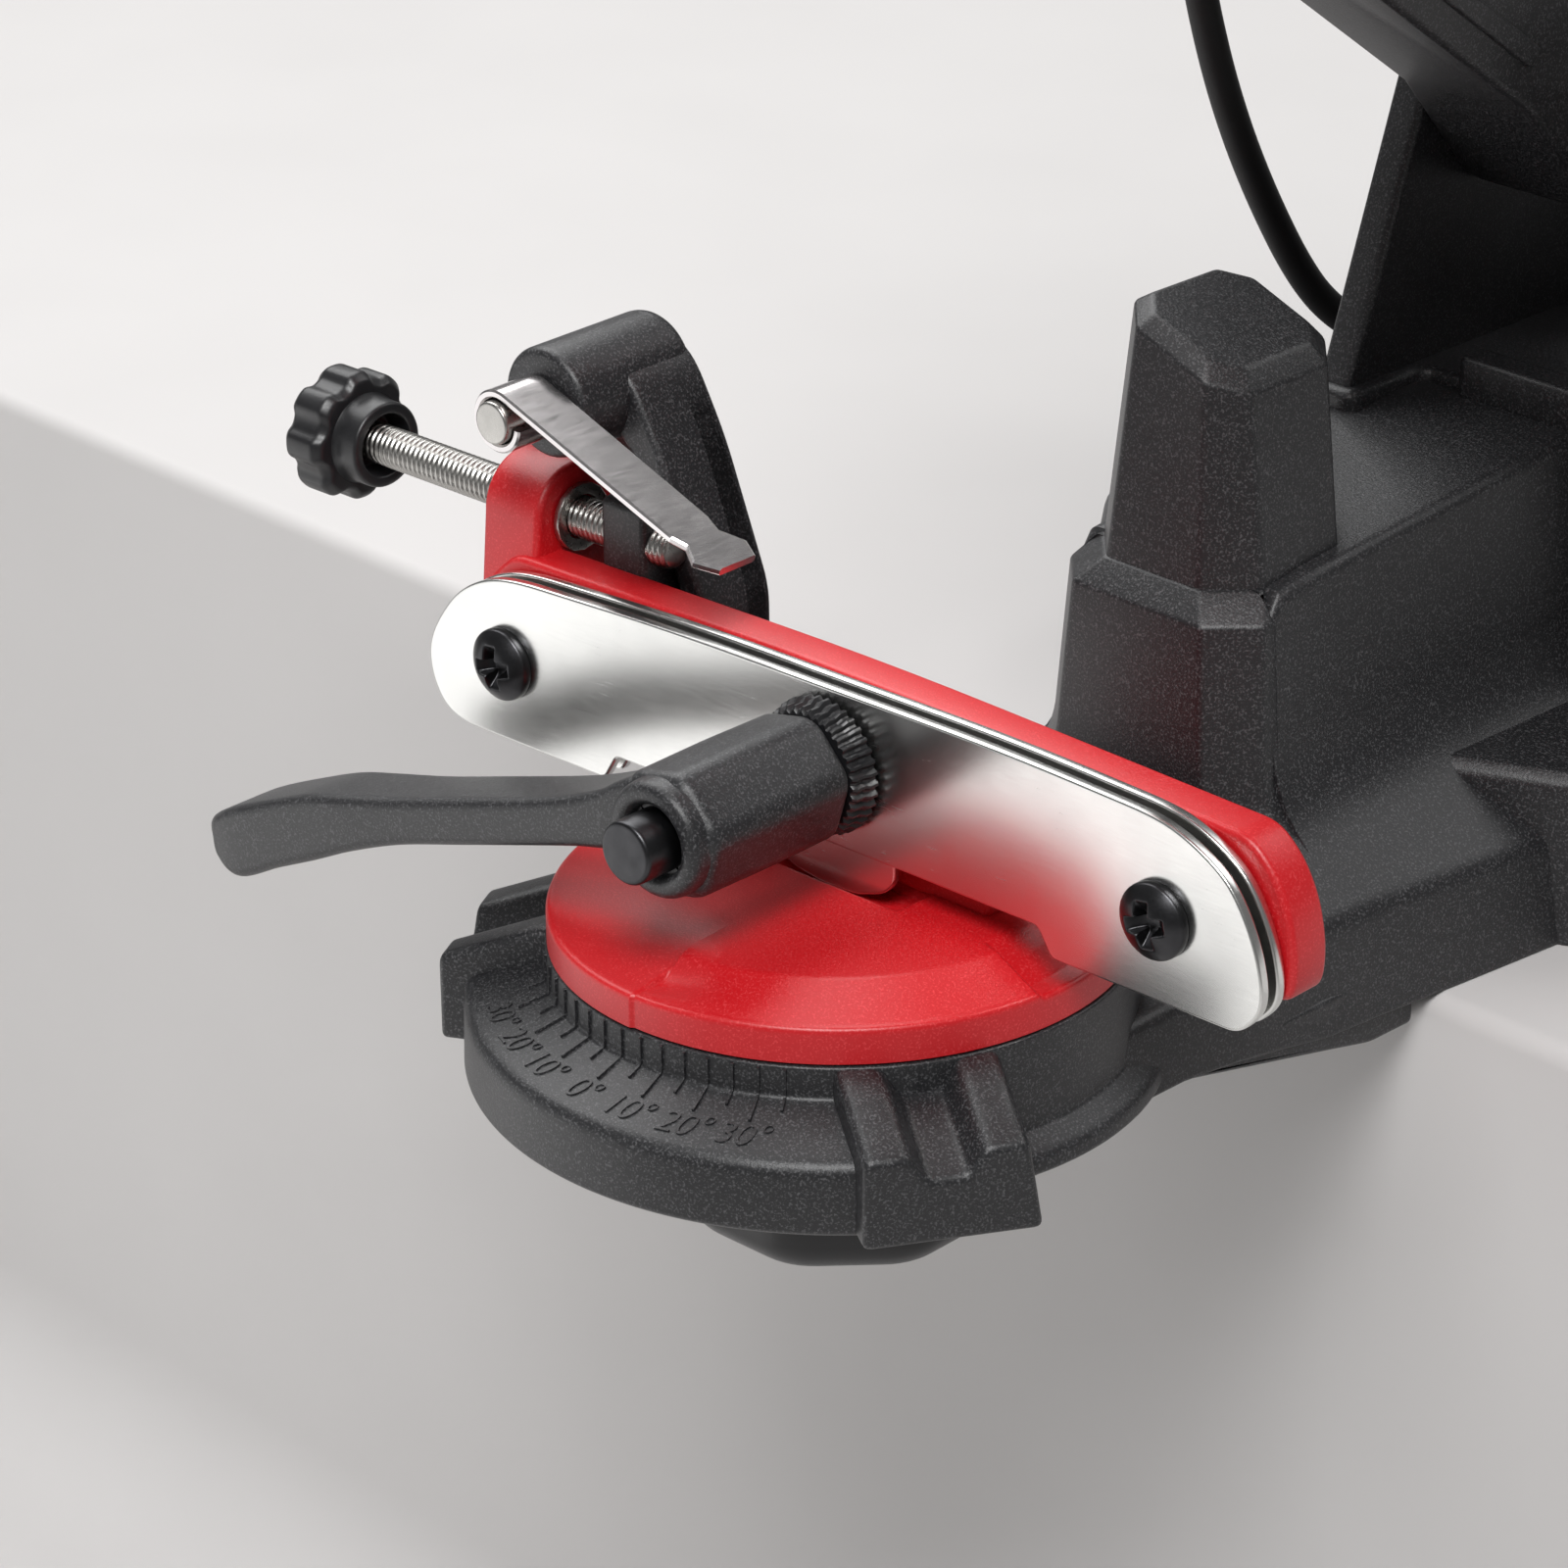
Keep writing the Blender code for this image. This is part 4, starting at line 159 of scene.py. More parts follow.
# The same from corners of (a, b, round)
def softPlan(corners, steps=5):
    c = np.array(corners, float)
    return rounded(c[:, :2], c[:, 2], steps)


# Open profiles (..., k, 2) with soft inner corners; their ends stay
def softProfile(corners, radius, steps=4):
    c = np.asarray(corners, float)
    r = np.broadcast_to(np.asarray(radius, float), (c.shape[-2],))[1:-1, None]
    curve = cornerCurves(c[..., :-2, :], c[..., 1:-1, :], c[..., 2:, :], r, steps)
    return np.concatenate([c[..., :1, :], curve, c[..., -1:, :]], axis=-2)


# The same from corners of (radius, height, round)
def softLine(corners, steps=4):
    c = np.array(corners, float)
    return softProfile(c[:, :2], c[:, 2], steps)


# Each point of a closed outline moves inwards along the mean of its two side normals, by d over their cosine
def inset(outline, d):
    p = np.asarray(outline, float)
    ahead = np.roll(p, -1, 0)
    before, after = p - np.roll(p, 1, 0), ahead - p
    before /= np.maximum(np.linalg.norm(before, axis=1, keepdims=True), 1e-6)
    after /= np.maximum(np.linalg.norm(after, axis=1, keepdims=True), 1e-6)
    turn = np.stack([-(before + after)[:, 1], (before + after)[:, 0]], 1)
    turn *= np.sign((p[:, 0] * ahead[:, 1] - ahead[:, 0] * p[:, 1]).sum())
    return p + turn * d / np.maximum((turn ** 2).sum(1, keepdims=True) / 2, 0.25)


# A flat outline stacked up: at each (inset, height) of a profile the outline moves inwards by that inset
def stack(outline, profile, axis="Z", centre=(0, 0), caps=True):
    rings = [stand(*inset(outline, d).T, h, axis, centre) for d, h in profile]
    return skin(np.array(rings), caps=caps)


# A flat plate between two heights whose edges follow a quarter circle: inset e(1-cos), height e(1-sin).
# One more ring just inside each end keeps the shading of the flat faces flat.
def slab(outline, low, high, edge, axis="Z", steps=4, lowEdge=None):
    foot = edge if lowEdge is None else lowEdge
    turn = np.linspace(0, quarter, steps + 1)
    profile = [(foot + 0.05, low)]
    profile += [(foot * (1 - math.sin(a)), low + foot * (1 - math.cos(a))) for a in turn]
    profile += [(edge * (1 - math.cos(a)), high - edge * (1 - math.sin(a))) for a in turn]
    return stack(outline, profile + [(edge + 0.05, high)], axis)


# A slab with one radius, or one each, at the corners of its outline
def board(corners, radius, low, high, edge, axis="Z", steps=4, lowEdge=None):
    return slab(rounded(corners, radius), low, high, edge, axis, steps, lowEdge)


# Corners given as pairs of numbers or rows, as an array (rows, corners, 2)
def cornerRows(count, *pairs):
    return np.stack([np.stack([np.broadcast_to(v, count) for v in pair], -1) for pair in pairs], 1)


def arc(centre, radius, start, end, count):
    turn = np.radians(np.linspace(start, end, count))
    return np.stack([centre[0] + radius * np.cos(turn), centre[1] + radius * np.sin(turn)], 1)


def rectangle(left, right, low, high):
    return points((left, low), (right, low), (right, high), (left, high))


# Radii and heights over all angles as a turned skin; with pointed ends its columns stay open at the axis
def revolved(r, h, angle, axis="Z", centre=(0, 0), pointed=False):
    sheet = stand(r * np.cos(angle), r * np.sin(angle), h, axis, centre)
    return skin(sheet, closeRows=True, closeColumns=not pointed)


# A profile of (radius, height) turned about an axis; radius may be multiplied by a lobe function of the angle
def lathe(profile, axis="Z", centre=(0, 0), steps=96, lobe=None):
    angle = turnSteps(steps)
    r, h = np.asarray(profile, float).T
    return revolved(r if lobe is None else r * lobe(angle), h, angle, axis, centre)


# Parts of a field side by side, over a number of angles; a part is one row for all angles, or a row for each
def beside(count, *parts):
    return np.concatenate([np.broadcast_to(part, (count, np.shape(part)[-1])) for part in parts], 1)


# Smooth step from 0 at a to 1 at b: t^2 (3 - 2t)
def ease(a, b, x):
    t = np.clip((np.asarray(x, float) - a) / (b - a), 0, 1)
    return t * t * (3 - 2 * t)


# 1 between two places and 0 outside them, with an ease of half width soft at each
def band(low, high, soft, x):
    return ease(low - soft, low + soft, x) * ease(high + soft, high - soft, x)


# Catmull-Rom curve through a route: ((2b) + (c-a)t + (2a-5b+4c-d)t^2 + (3b-a-3c+d)t^3) / 2 on each span
def smoothRoute(route, steps):
    k = np.asarray(route, float)
    k = np.concatenate([[2 * k[0] - k[1]], k, [2 * k[-1] - k[-2]]])
    a, b, c, d = (k[i:len(k) - 3 + i, None] for i in range(4))
    t = (np.arange(steps) / steps)[None, :, None]
    p = (2 * b + (c - a) * t + (2 * a - 5 * b + 4 * c - d) * t ** 2 + (3 * b - a - 3 * c + d) * t ** 3) / 2
    return np.concatenate([p.reshape(-1, k.shape[1]), k[-2:-1]])


# A round section carried along a path in frames that turn least: centre + r (u cos a + v sin a)
def tube(path, radius, steps):
    p = np.asarray(path, float)
    tangent = np.gradient(p, axis=0)
    tangent /= np.linalg.norm(tangent, axis=1, keepdims=True)
    side = np.cross(tangent[0], (0.0, 0.0, 1.0))
    sides = []
    for t in tangent:
        side = side - t * (side @ t)
        side = side / np.linalg.norm(side)
        sides.append(side)
    sides = np.array(sides)[:, None]
    up = np.cross(tangent[:, None], sides)
    angle = turnSteps(steps)
    return skin(p[:, None] + radius * (sides * np.cos(angle) + up * np.sin(angle)))


def linked(name, mesh, finish):
    mesh.materials.clear()
    mesh.materials.append(finish)
    obj = bpy.data.objects.new(name, mesh)
    scene.collection.objects.link(obj)
    return obj


# An object from a shape: moves the points to their home, merges doubles, points the faces outwards
def solid(name, shape, home, finish, sharp=32, tiny=1e-4):
    verts, faces = shape
    mesh = bpy.data.meshes.new(name)
    mesh.from_pydata((verts * mm).tolist(), [], faces)
    mesh.transform(home)
    bm = bmesh.new()
    bm.from_mesh(mesh)
    bmesh.ops.remove_doubles(bm, verts=bm.verts, dist=tiny * mm)
    bmesh.ops.recalc_face_normals(bm, faces=bm.faces)
    bm.to_mesh(mesh)
    bm.free()
    mesh.shade_smooth()
    mesh.set_sharp_from_angle(angle=math.radians(sharp))
    return linked(name, mesh, finish)


# An object takes the place of a CAD node: it rides the node's body and has its slot
def standFor(obj, node):
    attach(obj, nodes[node]["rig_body"])
    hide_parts(node)


def piece(name, node, shape, finish=None, **settings):
    home = homes[nodes[node]["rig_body"]]
    standFor(solid(name, shape, home, finish or finishes[slots[node]], **settings), node)


# A merged copy of a CAD node whose edges get a real round from a Bevel modifier
def eased(node, width):
    mesh = nodes[node].data.copy()
    bm = bmesh.new()
    bm.from_mesh(mesh)
    bmesh.ops.remove_doubles(bm, verts=bm.verts, dist=0.01 * mm)
    bmesh.ops.dissolve_limit(bm, angle_limit=math.radians(0.5), verts=bm.verts, edges=bm.edges)
    bm.to_mesh(mesh)
    bm.free()
    mesh.shade_smooth()
    obj = linked(node + "_eased", mesh, finishes[slots[node]])
    bevel = obj.modifiers.new("edges", "BEVEL")
    bevel.width = width * mm
    bevel.segments = 3
    bevel.limit_method = "ANGLE"
    bevel.angle_limit = math.radians(30)
    bevel.harden_normals = True
    standFor(obj, node)


# Adds one node. Settings go to sockets of that name or number, else to properties; links join sockets.
def addNode(tree, kind, settings=None, links=None):
    node = tree.nodes.new("ShaderNode" + kind)
    for key, value in (settings or {}).items():
        if isinstance(key, int) or key in node.inputs:
            node.inputs[key].default_value = value
        else:
            setattr(node, key, value)
    for key, source in (links or {}).items():
        tree.links.new(source, node.inputs[key])
    return node


def newMaterial(name):
    material = bpy.data.materials.new(name)
    material.use_nodes = True
    material.node_tree.nodes.clear()
    return material, material.node_tree


# A pattern in Object coordinates, squeezed by three factors; the feature size is in millimetres
def patternNoise(tree, size, squeeze=(1, 1, 1), detail=2.0, roughness=0.5):
    place = addNode(tree, "TexCoord").outputs["Object"]
    mapping = addNode(tree, "Mapping", {"Scale": squeeze}, {"Vector": place})
    noise = addNode(tree, "TexNoise", {"Scale": 1 / (size * mm), "Detail": detail, "Roughness": roughness},
                    {"Vector": mapping.outputs["Vector"]})
    return noise.outputs["Fac"]


# A colour between two by a share; each of the two is a hex code or a socket
def mixColour(tree, share, first, second):
    settings, links = {"data_type": "RGBA"}, {0: share}
    for key, colour in ((6, first), (7, second)):
        if isinstance(colour, str):
            settings[key] = hexToLinear(colour)
        else:
            links[key] = colour
    return addNode(tree, "Mix", settings, links).outputs[2]


def mapRange(tree, value, low, high, toLow, toHigh):
    settings = {"From Min": low, "From Max": high, "To Min": toLow, "To Max": toHigh}
    return addNode(tree, "MapRange", settings, {"Value": value}).outputs["Result"]


# first * share + second
def weighted(tree, first, share, second):
    settings = {"operation": "MULTIPLY_ADD", 1: share}
    return addNode(tree, "Math", settings, {0: first, 2: second}).outputs["Value"]


def finishShader(tree, look, colour, roughness, height, metallic=0.0):
    settings = {"Strength": look["bump"], "Distance": look["depth"] * mm}
    bump = addNode(tree, "Bump", settings, {"Height": height})
    shader = addNode(tree, "BsdfPrincipled", {"Metallic": metallic, "IOR": look.get("ior", 1.5)},
                     {"Base Color": colour, "Roughness": roughness, "Normal": bump.outputs["Normal"]})
    addNode(tree, "OutputMaterial", {}, {"Surface": shader.outputs["BSDF"]})


# Injection moulded plastic: an eroded mould leaves a fine even grain, drawn as a bump; the grain's tops get a
# paler painted glint colour, a painted highlight; the colour drifts slightly over centimetres
def mouldedPlastic(name, look):
    material, tree = newMaterial(name)
    grain = patternNoise(tree, look["grain"], detail=3.0, roughness=0.6)
    coarse = patternNoise(tree, look["grain"] * 3.1, detail=1.0)
    drift = patternNoise(tree, look["drift"])
    # Painted highlight: where the grain noise is high, the colour is mixed towards a paler glint colour
    paintedGlint = mapRange(tree, grain, look["paintedGlintFrom"], look["paintedGlintFrom"] + 0.12, 0.0, look["paintedGlintShare"])
    tone = mixColour(tree, drift, look["colour"], look["shade"])
    colour = mixColour(tree, paintedGlint, tone, look["paintedGlint"])
    roughness = mapRange(tree, grain, 0.3, 0.7, look["roughness"] - 0.05, look["roughness"] + 0.06)
    finishShader(tree, look, colour, roughness, weighted(tree, coarse, 0.5, grain))
    return material


# Metal whose surface was rolled, turned or plated: fine streaks along one direction, cloudy patches in gloss
def workedMetal(name, look):
    material, tree = newMaterial(name)
    streaks = patternNoise(tree, look["grain"], look["streak"], detail=4.0, roughness=0.65)
    clouds = patternNoise(tree, look["cloud"], detail=3.0)
    colour = mixColour(tree, clouds, look["colour"], look["shade"])
    roughness = mapRange(tree, weighted(tree, clouds, 0.6, streaks), 0.5, 1.1, *look["roughness"])
    finishShader(tree, look, colour, roughness, streaks, metallic=1.0)
    return material


# Vitrified wheel: fused alumina grit of about half a millimetre in a baked clay bond, dusty and matt, with
# painted shade in its pores
def bondedGrit(name, look):
    material, tree = newMaterial(name)
    place = addNode(tree, "TexCoord").outputs["Object"]
    cells = addNode(tree, "TexVoronoi", {"Scale": 1 / (look["grit"] * mm)}, {"Vector": place})
    pores = patternNoise(tree, look["grit"] * 2.5, detail=3.0)
    tint = addNode(tree, "SeparateColor", {}, {"Color": cells.outputs["Color"]})
    grit = mixColour(tree, tint.outputs["Red"], look["colour"], look["pale"])
    # Painted shade: where the pore pattern is low, in the bump's hollows, the colour is mixed towards a dark
    # pore colour
    colour = mixColour(tree, mapRange(tree, pores, 0.30, 0.42, 0.75, 0.0), grit, look["paintedPoreShade"])
    roughness = mapRange(tree, tint.outputs["Green"], 0.0, 1.0, 0.78, 0.97)
    finishShader(tree, look, colour, roughness, weighted(tree, cells.outputs["Distance"], 1.0, pores))
    return material


# Glass-filled nylon, moulded in a spark-eroded tool: near black, with a sandy grain whose tops carry a
# painted highlight.
# The real grain is about 0.2 mm; it is drawn at 0.34 mm, so that it shows
blackNylon = mouldedPlastic("glass_filled_nylon_black", {
    "colour": "#232325", "shade": "#1c1c1e", "paintedGlint": "#626264", "paintedGlintShare": 0.65, "paintedGlintFrom": 0.53,
    "grain": 0.34, "drift": 30, "roughness": 0.41, "depth": 0.060, "bump": 0.9, "ior": 1.53})
# The same nylon from a polished tool, on rounded hand parts: smoother and glossier
smoothNylon = mouldedPlastic("glass_filled_nylon_smooth", {
    "colour": "#1e1e20", "shade": "#19191b", "paintedGlint": "#38383a", "paintedGlintShare": 0.4, "paintedGlintFrom": 0.62,
    "grain": 0.30, "drift": 24, "roughness": 0.36, "depth": 0.012, "bump": 0.6, "ior": 1.53})
# ABS dyed red and moulded in a lightly textured tool: even colour, satin, with painted pin-point glints on
# the grain tops
redAbs = mouldedPlastic("abs_red_satin", {
    "colour": "#cb161e", "shade": "#bf121a", "paintedGlint": "#e4484c", "paintedGlintShare": 0.6, "paintedGlintFrom": 0.54,
    "grain": 0.32, "drift": 40, "roughness": 0.38, "depth": 0.045, "bump": 0.8, "ior": 1.54})
# Thermoplastic elastomer, overmoulded on grips: matt, soft black, with hardly any painted glint on the grain
# tops
softRubber = mouldedPlastic("elastomer_black", {
    "colour": "#1c1c1d", "shade": "#171718", "paintedGlint": "#2b2b2c", "paintedGlintShare": 0.5, "paintedGlintFrom": 0.58,
    "grain": 0.35, "drift": 20, "roughness": 0.62, "depth": 0.020, "bump": 0.7, "ior": 1.51})
# Cold-rolled steel, zinc plated and passivated: bright satin with faint rolling lines and cloudy gloss
zincPlate = workedMetal("zinc_plated_steel", {
    "colour": "#e4e4e1", "shade": "#d9d9d7", "grain": 0.5, "streak": (0.12, 0.12, 1.6),
    "cloud": 9, "roughness": (0.22, 0.28), "depth": 0.0006, "bump": 0.4})
# Stainless spring strip, polished along its length
stainless = workedMetal("stainless_strip_polished", {
    "colour": "#dedada", "shade": "#d0cccc", "grain": 0.4, "streak": (0.5, 0.1, 1.0),
    "cloud": 9, "roughness": (0.16, 0.26), "depth": 0.0002, "bump": 0.4})
# Bright turned steel: fine rings of the tool round each axis show as short streaks
turnedSteel = workedMetal("turned_steel_bright", {
    "colour": "#bdbbb7", "shade": "#a9a7a3", "grain": 0.35, "streak": (1.0, 0.6, 0.6),
    "cloud": 4, "roughness": (0.22, 0.38), "depth": 0.003, "bump": 0.5})
# Steel with a black oxide bath: dark, oily, with worn glints on the high spots
blackOxide = workedMetal("black_oxide_steel", {
    "colour": "#4e4e50", "shade": "#38383a", "grain": 0.3, "streak": (1.0, 1.0, 1.0),
    "cloud": 3, "roughness": (0.26, 0.42), "depth": 0.004, "bump": 0.5})
# Drawn brass contacts
brass = workedMetal("brass_drawn", {
    "colour": "#c9a557", "shade": "#b08c44", "grain": 0.3, "streak": (1.0, 1.0, 0.1),
    "cloud": 3, "roughness": (0.22, 0.36), "depth": 0.002, "bump": 0.4})
alumina = bondedGrit("vitrified_alumina_pink", {
    "grit": 0.55, "colour": "#b4655a", "pale": "#d3968a", "paintedPoreShade": "#6d3d38", "depth": 0.12,
    "bump": 0.9, "ior": 1.6})
finishes = {
    "black_plastic": blackNylon, "red_plastic": redAbs, "zinc_plate": zincPlate, "bright_steel": turnedSteel,
    "black_oxide": blackOxide, "rubber": softRubber, "brass": brass, "abrasive": alumina,
}
print("materials made:", len(bpy.data.materials))


# Camera: 0.7 m off, at the photograph's angle; lens from 5533 pixels of focal length on 1600
camera = {"place": (469.4 * mm, -625.2 * mm, 352.7 * mm), "azimuth": 46.55, "elevation": 25.13,
          "roll": -0.85, "lens": 124.5, "sensor": 36.0, "nearest": 0.05}
cameraData = bpy.data.cameras.new("camera")
cameraData.lens = camera["lens"]
cameraData.sensor_width = camera["sensor"]
cameraData.clip_start = camera["nearest"]
cameraObject = bpy.data.objects.new("camera", cameraData)
cameraObject.matrix_world = (
    Matrix.Translation(camera["place"]) @ Matrix.Rotation(math.radians(camera["azimuth"]), 4, "Z")
    @ Matrix.Rotation(math.radians(90 - camera["elevation"]), 4, "X")
    @ Matrix.Rotation(math.radians(camera["roll"]), 4, "Z"))
scene.collection.objects.link(cameraObject)
scene.camera = cameraObject
scene.view_settings.view_transform = "Standard"

# Stage: a pale bench top with a rounded front edge, and a pale floor below it, on which nothing stands
stage = {"edgeReach": 77, "width": 3000, "depth": 3000, "drop": 220, "round": 3, "cove": 30,
         "colour": "#cecccb", "shade": "#c8c6c5", "mottle": 60, "roughness": 0.75, "ior": 1.45}
stageMaterial, stageTree = newMaterial("pale_painted_board")
stageTone = mixColour(stageTree, patternNoise(stageTree, stage["mottle"]), stage["colour"], stage["shade"])
stageShader = addNode(stageTree, "BsdfPrincipled", {"Roughness": stage["roughness"], "IOR": stage["ior"]},
                      {"Base Color": stageTone})
addNode(stageTree, "OutputMaterial", {}, {"Surface": stageShader.outputs["BSDF"]})


# Side line, from the back: bench top, its round edge, the front, the cove at its foot, the floor
def stageLine(s):
    reach, edge, cove = s["edgeReach"], s["round"], s["cove"]
    turn = np.linspace(0, quarter, 7)[1:]
    line = [(s["depth"], 0), (reach + edge, 0)]
    line += [(reach + edge - edge * math.sin(a), -edge + edge * math.cos(a)) for a in turn]
    line += [(reach, -s["drop"] + cove)]
    line += [(reach - cove + cove * math.cos(a), -s["drop"] + cove - cove * math.sin(a)) for a in turn]
    return np.array(line + [(-s["depth"], -s["drop"])])


sides = np.array([[-stage["width"]], [stage["width"]]])
stageShape = skin(stand(*stageLine(stage).T, sides, "X"), closeColumns=False, caps=False)
solid("bench_and_floor", stageShape, toBase, stageMaterial, sharp=60)


# A lamp that faces the part; place and size are in metres
def softBox(name, place, size, power):
    lamp = bpy.data.lights.new(name, "AREA")
    lamp.shape = "RECTANGLE"
    lamp.size, lamp.size_y = size
    lamp.energy = power
    obj = bpy.data.objects.new(name, lamp)
    direction = Vector(lightAim) - Vector(place)
    obj.matrix_world = Matrix.Translation(place) @ direction.to_track_quat("-Z", "Y").to_matrix().to_4x4()
    scene.collection.objects.link(obj)


# Lights: soft boxes high in front, high on the left and behind, a small one low for the rail, a pale surround
lightAim = (0.0, -0.12, 0.05)
softBox("key_front", (0.43, -0.74, 0.99), (0.5, 0.5), 13)
softBox("key_left", (-0.66, 0.06, 0.91), (1.0, 0.9), 10.5)
softBox("back_right", (0.31, 0.68, 0.88), (0.6, 0.6), 2.3)
softBox("low_left", (-0.33, -0.48, -0.10), (0.5, 0.42), 0.6)
world = bpy.data.worlds.new("pale_surround")
world.use_nodes = True
surround = world.node_tree.nodes["Background"].inputs
surround["Color"].default_value = hexToLinear("#f4f4f4")
surround["Strength"].default_value = 0.18
scene.world = world
print("stage and camera set")


# The cable from the tilting head down to the base. Route and length are in metres, as in the CAD model
cable = {
    "radius": 2.5, "around": 20, "length": 0.1257, "steps": 8,
    "route": [
        (-0.0250, -0.0586, 0.1454), (-0.0295, -0.0585, 0.1453), (-0.0349, -0.0582, 0.1440),
        (-0.0398, -0.0573, 0.1408), (-0.0433, -0.0557, 0.1360), (-0.0452, -0.0535, 0.1297),
        (-0.0463, -0.0508, 0.1220), (-0.0470, -0.0476, 0.1133), (-0.0474, -0.0440, 0.1042),
        (-0.0476, -0.0400, 0.0953), (-0.0477, -0.0356, 0.0868), (-0.0477, -0.0308, 0.0785),
        (-0.0476, -0.0260, 0.0710), (-0.0473, -0.0213, 0.0648), (-0.0460, -0.0174, 0.0605),
        (-0.0432, -0.0145, 0.0578), (-0.0396, -0.0128, 0.0562), (-0.0356, -0.0121, 0.0556),
        (-0.0313, -0.0120, 0.0555),
    ],
}
cablePath = smoothRoute(cable["route"], cable["steps"])
cableShape = tube(cablePath / mm, cable["radius"], cable["around"])
headCable = solid("head_cable_jacket", cableShape, Matrix.Identity(4), softRubber)
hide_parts("head_cable")
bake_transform(headCable)
print("cable laid")


# Angles of the dial and the turntable count from the front, towards the right
def fromFront(r, z, angle):
    return stand(r * np.sin(angle), -r * np.cos(angle), z)


# Base housing, seat ring
# One profile per direction: the dial's in front, the bare drum's behind, mixed by an ease of the angle
seatRing = {
    "bore": 4.3, "recess": 12.3, "recessFloor": 16.2, "drum": 40.2, "drumTop": 24.5, "under": 6, "foot": 0.7,
    "dialRim": 51.7, "dialInner": 20.0, "dialOuter": 16.0, "dialEnd": 60.0, "rimLean": 0.3,
    "gutterRim": 44.2, "gutterOuter": 9, "gutterInner": 11, "step": 0.5,
    "round": (0, 0.4, 0.4, 1.9, 0.7, 0.5, 0.2, 0.2, 0),
}


def seatShape(s):
    degrees = np.arange(-180, 180, s["step"])
    bare = ease(s["dialEnd"] - 1, s["dialEnd"] + 1, np.abs(degrees))
    rim, outer, inner = (s["dial" + side] + (s["gutter" + side] - s["dial" + side]) * bare
                         for side in ("Rim", "Outer", "Inner"))
    corners = cornerRows(
        len(degrees), (s["bore"], s["under"]), (rim - s["foot"], s["under"]), (rim, s["under"] + s["foot"]),
        (rim - s["rimLean"], outer), (s["drum"] + 0.1, inner), (s["drum"], s["drumTop"]),
        (s["recess"], s["drumTop"]), (s["recess"], s["recessFloor"]), (s["bore"], s["recessFloor"]))
    profile = softProfile(corners, s["round"], 5)
    return skin(fromFront(profile[..., 0], profile[..., 1], np.radians(degrees)[:, None]), closeRows=True)


# A lug: a section of two ribs and a groove, carried outwards while its top falls, with a rounded outer end
lug = {
    "turn": 60.0, "start": 37, "drum": 40.2, "between": (45, 50), "end": 54.2, "edge": 0.85, "under": 6,
    "ribInner": 24.3, "ribOuter": 18.6, "grooveInner": 20.4, "grooveOuter": 15.0,
    #          across, share of the rib's height above the groove, or None for the underside
    "section": [(-11.4, None), (-11.2, 1), (-5.3, 1), (-2.7, 0), (2.7, 0), (4.9, 1), (10.7, 1), (12.6, None)],
    "round": [1.3, 1.6, 1.4, 0.9, 0.9, 1.4, 1.6, 1.3],
}


def lugShape(s, side):
    turn = np.linspace(0, quarter, 6)
    along = np.concatenate([[s["start"], s["drum"], *s["between"]], s["end"] - s["edge"] * (1 - np.sin(turn)),
                            [s["end"]]])
    insets = np.concatenate([np.zeros(4), s["edge"] * (1 - np.cos(turn)), [s["edge"] + 0.05]])
    share = np.clip((along - s["drum"]) / (s["end"] - s["drum"]), 0, 1)
    sheet = []
    for reach, d, k in zip(along, insets, share):
        top = s["ribInner"] + (s["ribOuter"] - s["ribInner"]) * k
        floor = s["grooveInner"] + (s["grooveOuter"] - s["grooveInner"]) * k
        corners = [(across * side, s["under"] if lift is None else floor + (top - floor) * lift)
                   for across, lift in s["section"]]
        sheet.append(stand(*inset(rounded(corners, s["round"], 4), d).T, reach, "Y"))
    verts, faces = skin(np.array(sheet))
    angle = math.radians(s["turn"]) * side
    return verts @ points((math.cos(angle), math.sin(angle), 0), (math.sin(angle), -math.cos(angle), 0),
                          (0, 0, 1)), faces


piece("seat_ring", "base_housing", seatShape(seatRing), sharp=50)
piece("lug_right", "base_housing", lugShape(lug, 1), sharp=42)
piece("lug_left", "base_housing", lugShape(lug, -1), sharp=42)

# Dial: raised marks every 5 degrees, down the drum wall and out along the slope
dial = {
    "marks": range(-35, 36, 5), "wide": 0.5, "proud": 0.42, "long": 4.6, "short": 2.6, "top": 24.2,
    "sink": 0.3, "bend": 0.6, "slopeEnd": 0.12, "across": (-0.5, -0.3, 0.3, 0.5), "high": (0, 1, 1, 0),
    "figures": range(-30, 31, 10), "height": 3.7, "baseline": 48.8, "slant": 0.28, "thin": -0.021,
    "raise": 0.26,
}


# Height of the dial's slope at a radius: straight from the drum wall out to the rounded edge
def dialHeight(r):
    s = seatRing
    share = (r - s["drum"]) / (s["dialRim"] - s["rimLean"] - s["drum"])
    return s["dialInner"] + (s["dialOuter"] - s["dialInner"]) * share


# A low ridge carried along a bent line: place = line + normal * height, with a trapezoid across
def dialMark(degrees, d):
    out, step = seatRing["drum"], d["slopeEnd"]
    length = d["long"] if degrees % 10 == 0 else d["short"]
    line = softProfile([(out, d["top"]), (out, dialHeight(out)), (out + length, dialHeight(out + length))],
                       d["bend"])
    top, end = line[:1], line[-1:]
    line = np.concatenate([top, top - (0, step), line[1:-1], end - (step, -step * 0.35), end])
    along = np.gradient(line, axis=0)
    along /= np.linalg.norm(along, axis=1, keepdims=True)
    full = np.ones((len(line), 1))
    full[[0, -1]] = 0
    height = -d["sink"] + (d["proud"] + d["sink"]) * full * d["high"]
    r = line[:, :1] - along[:, 1:] * height
    z = line[:, 1:] + along[:, :1] * height
    verts, faces = skin(stand(np.multiply(d["across"], d["wide"]), -r, z))
    return verts @ np.array(Matrix.Rotation(math.radians(degrees), 3, "Z")).T, faces


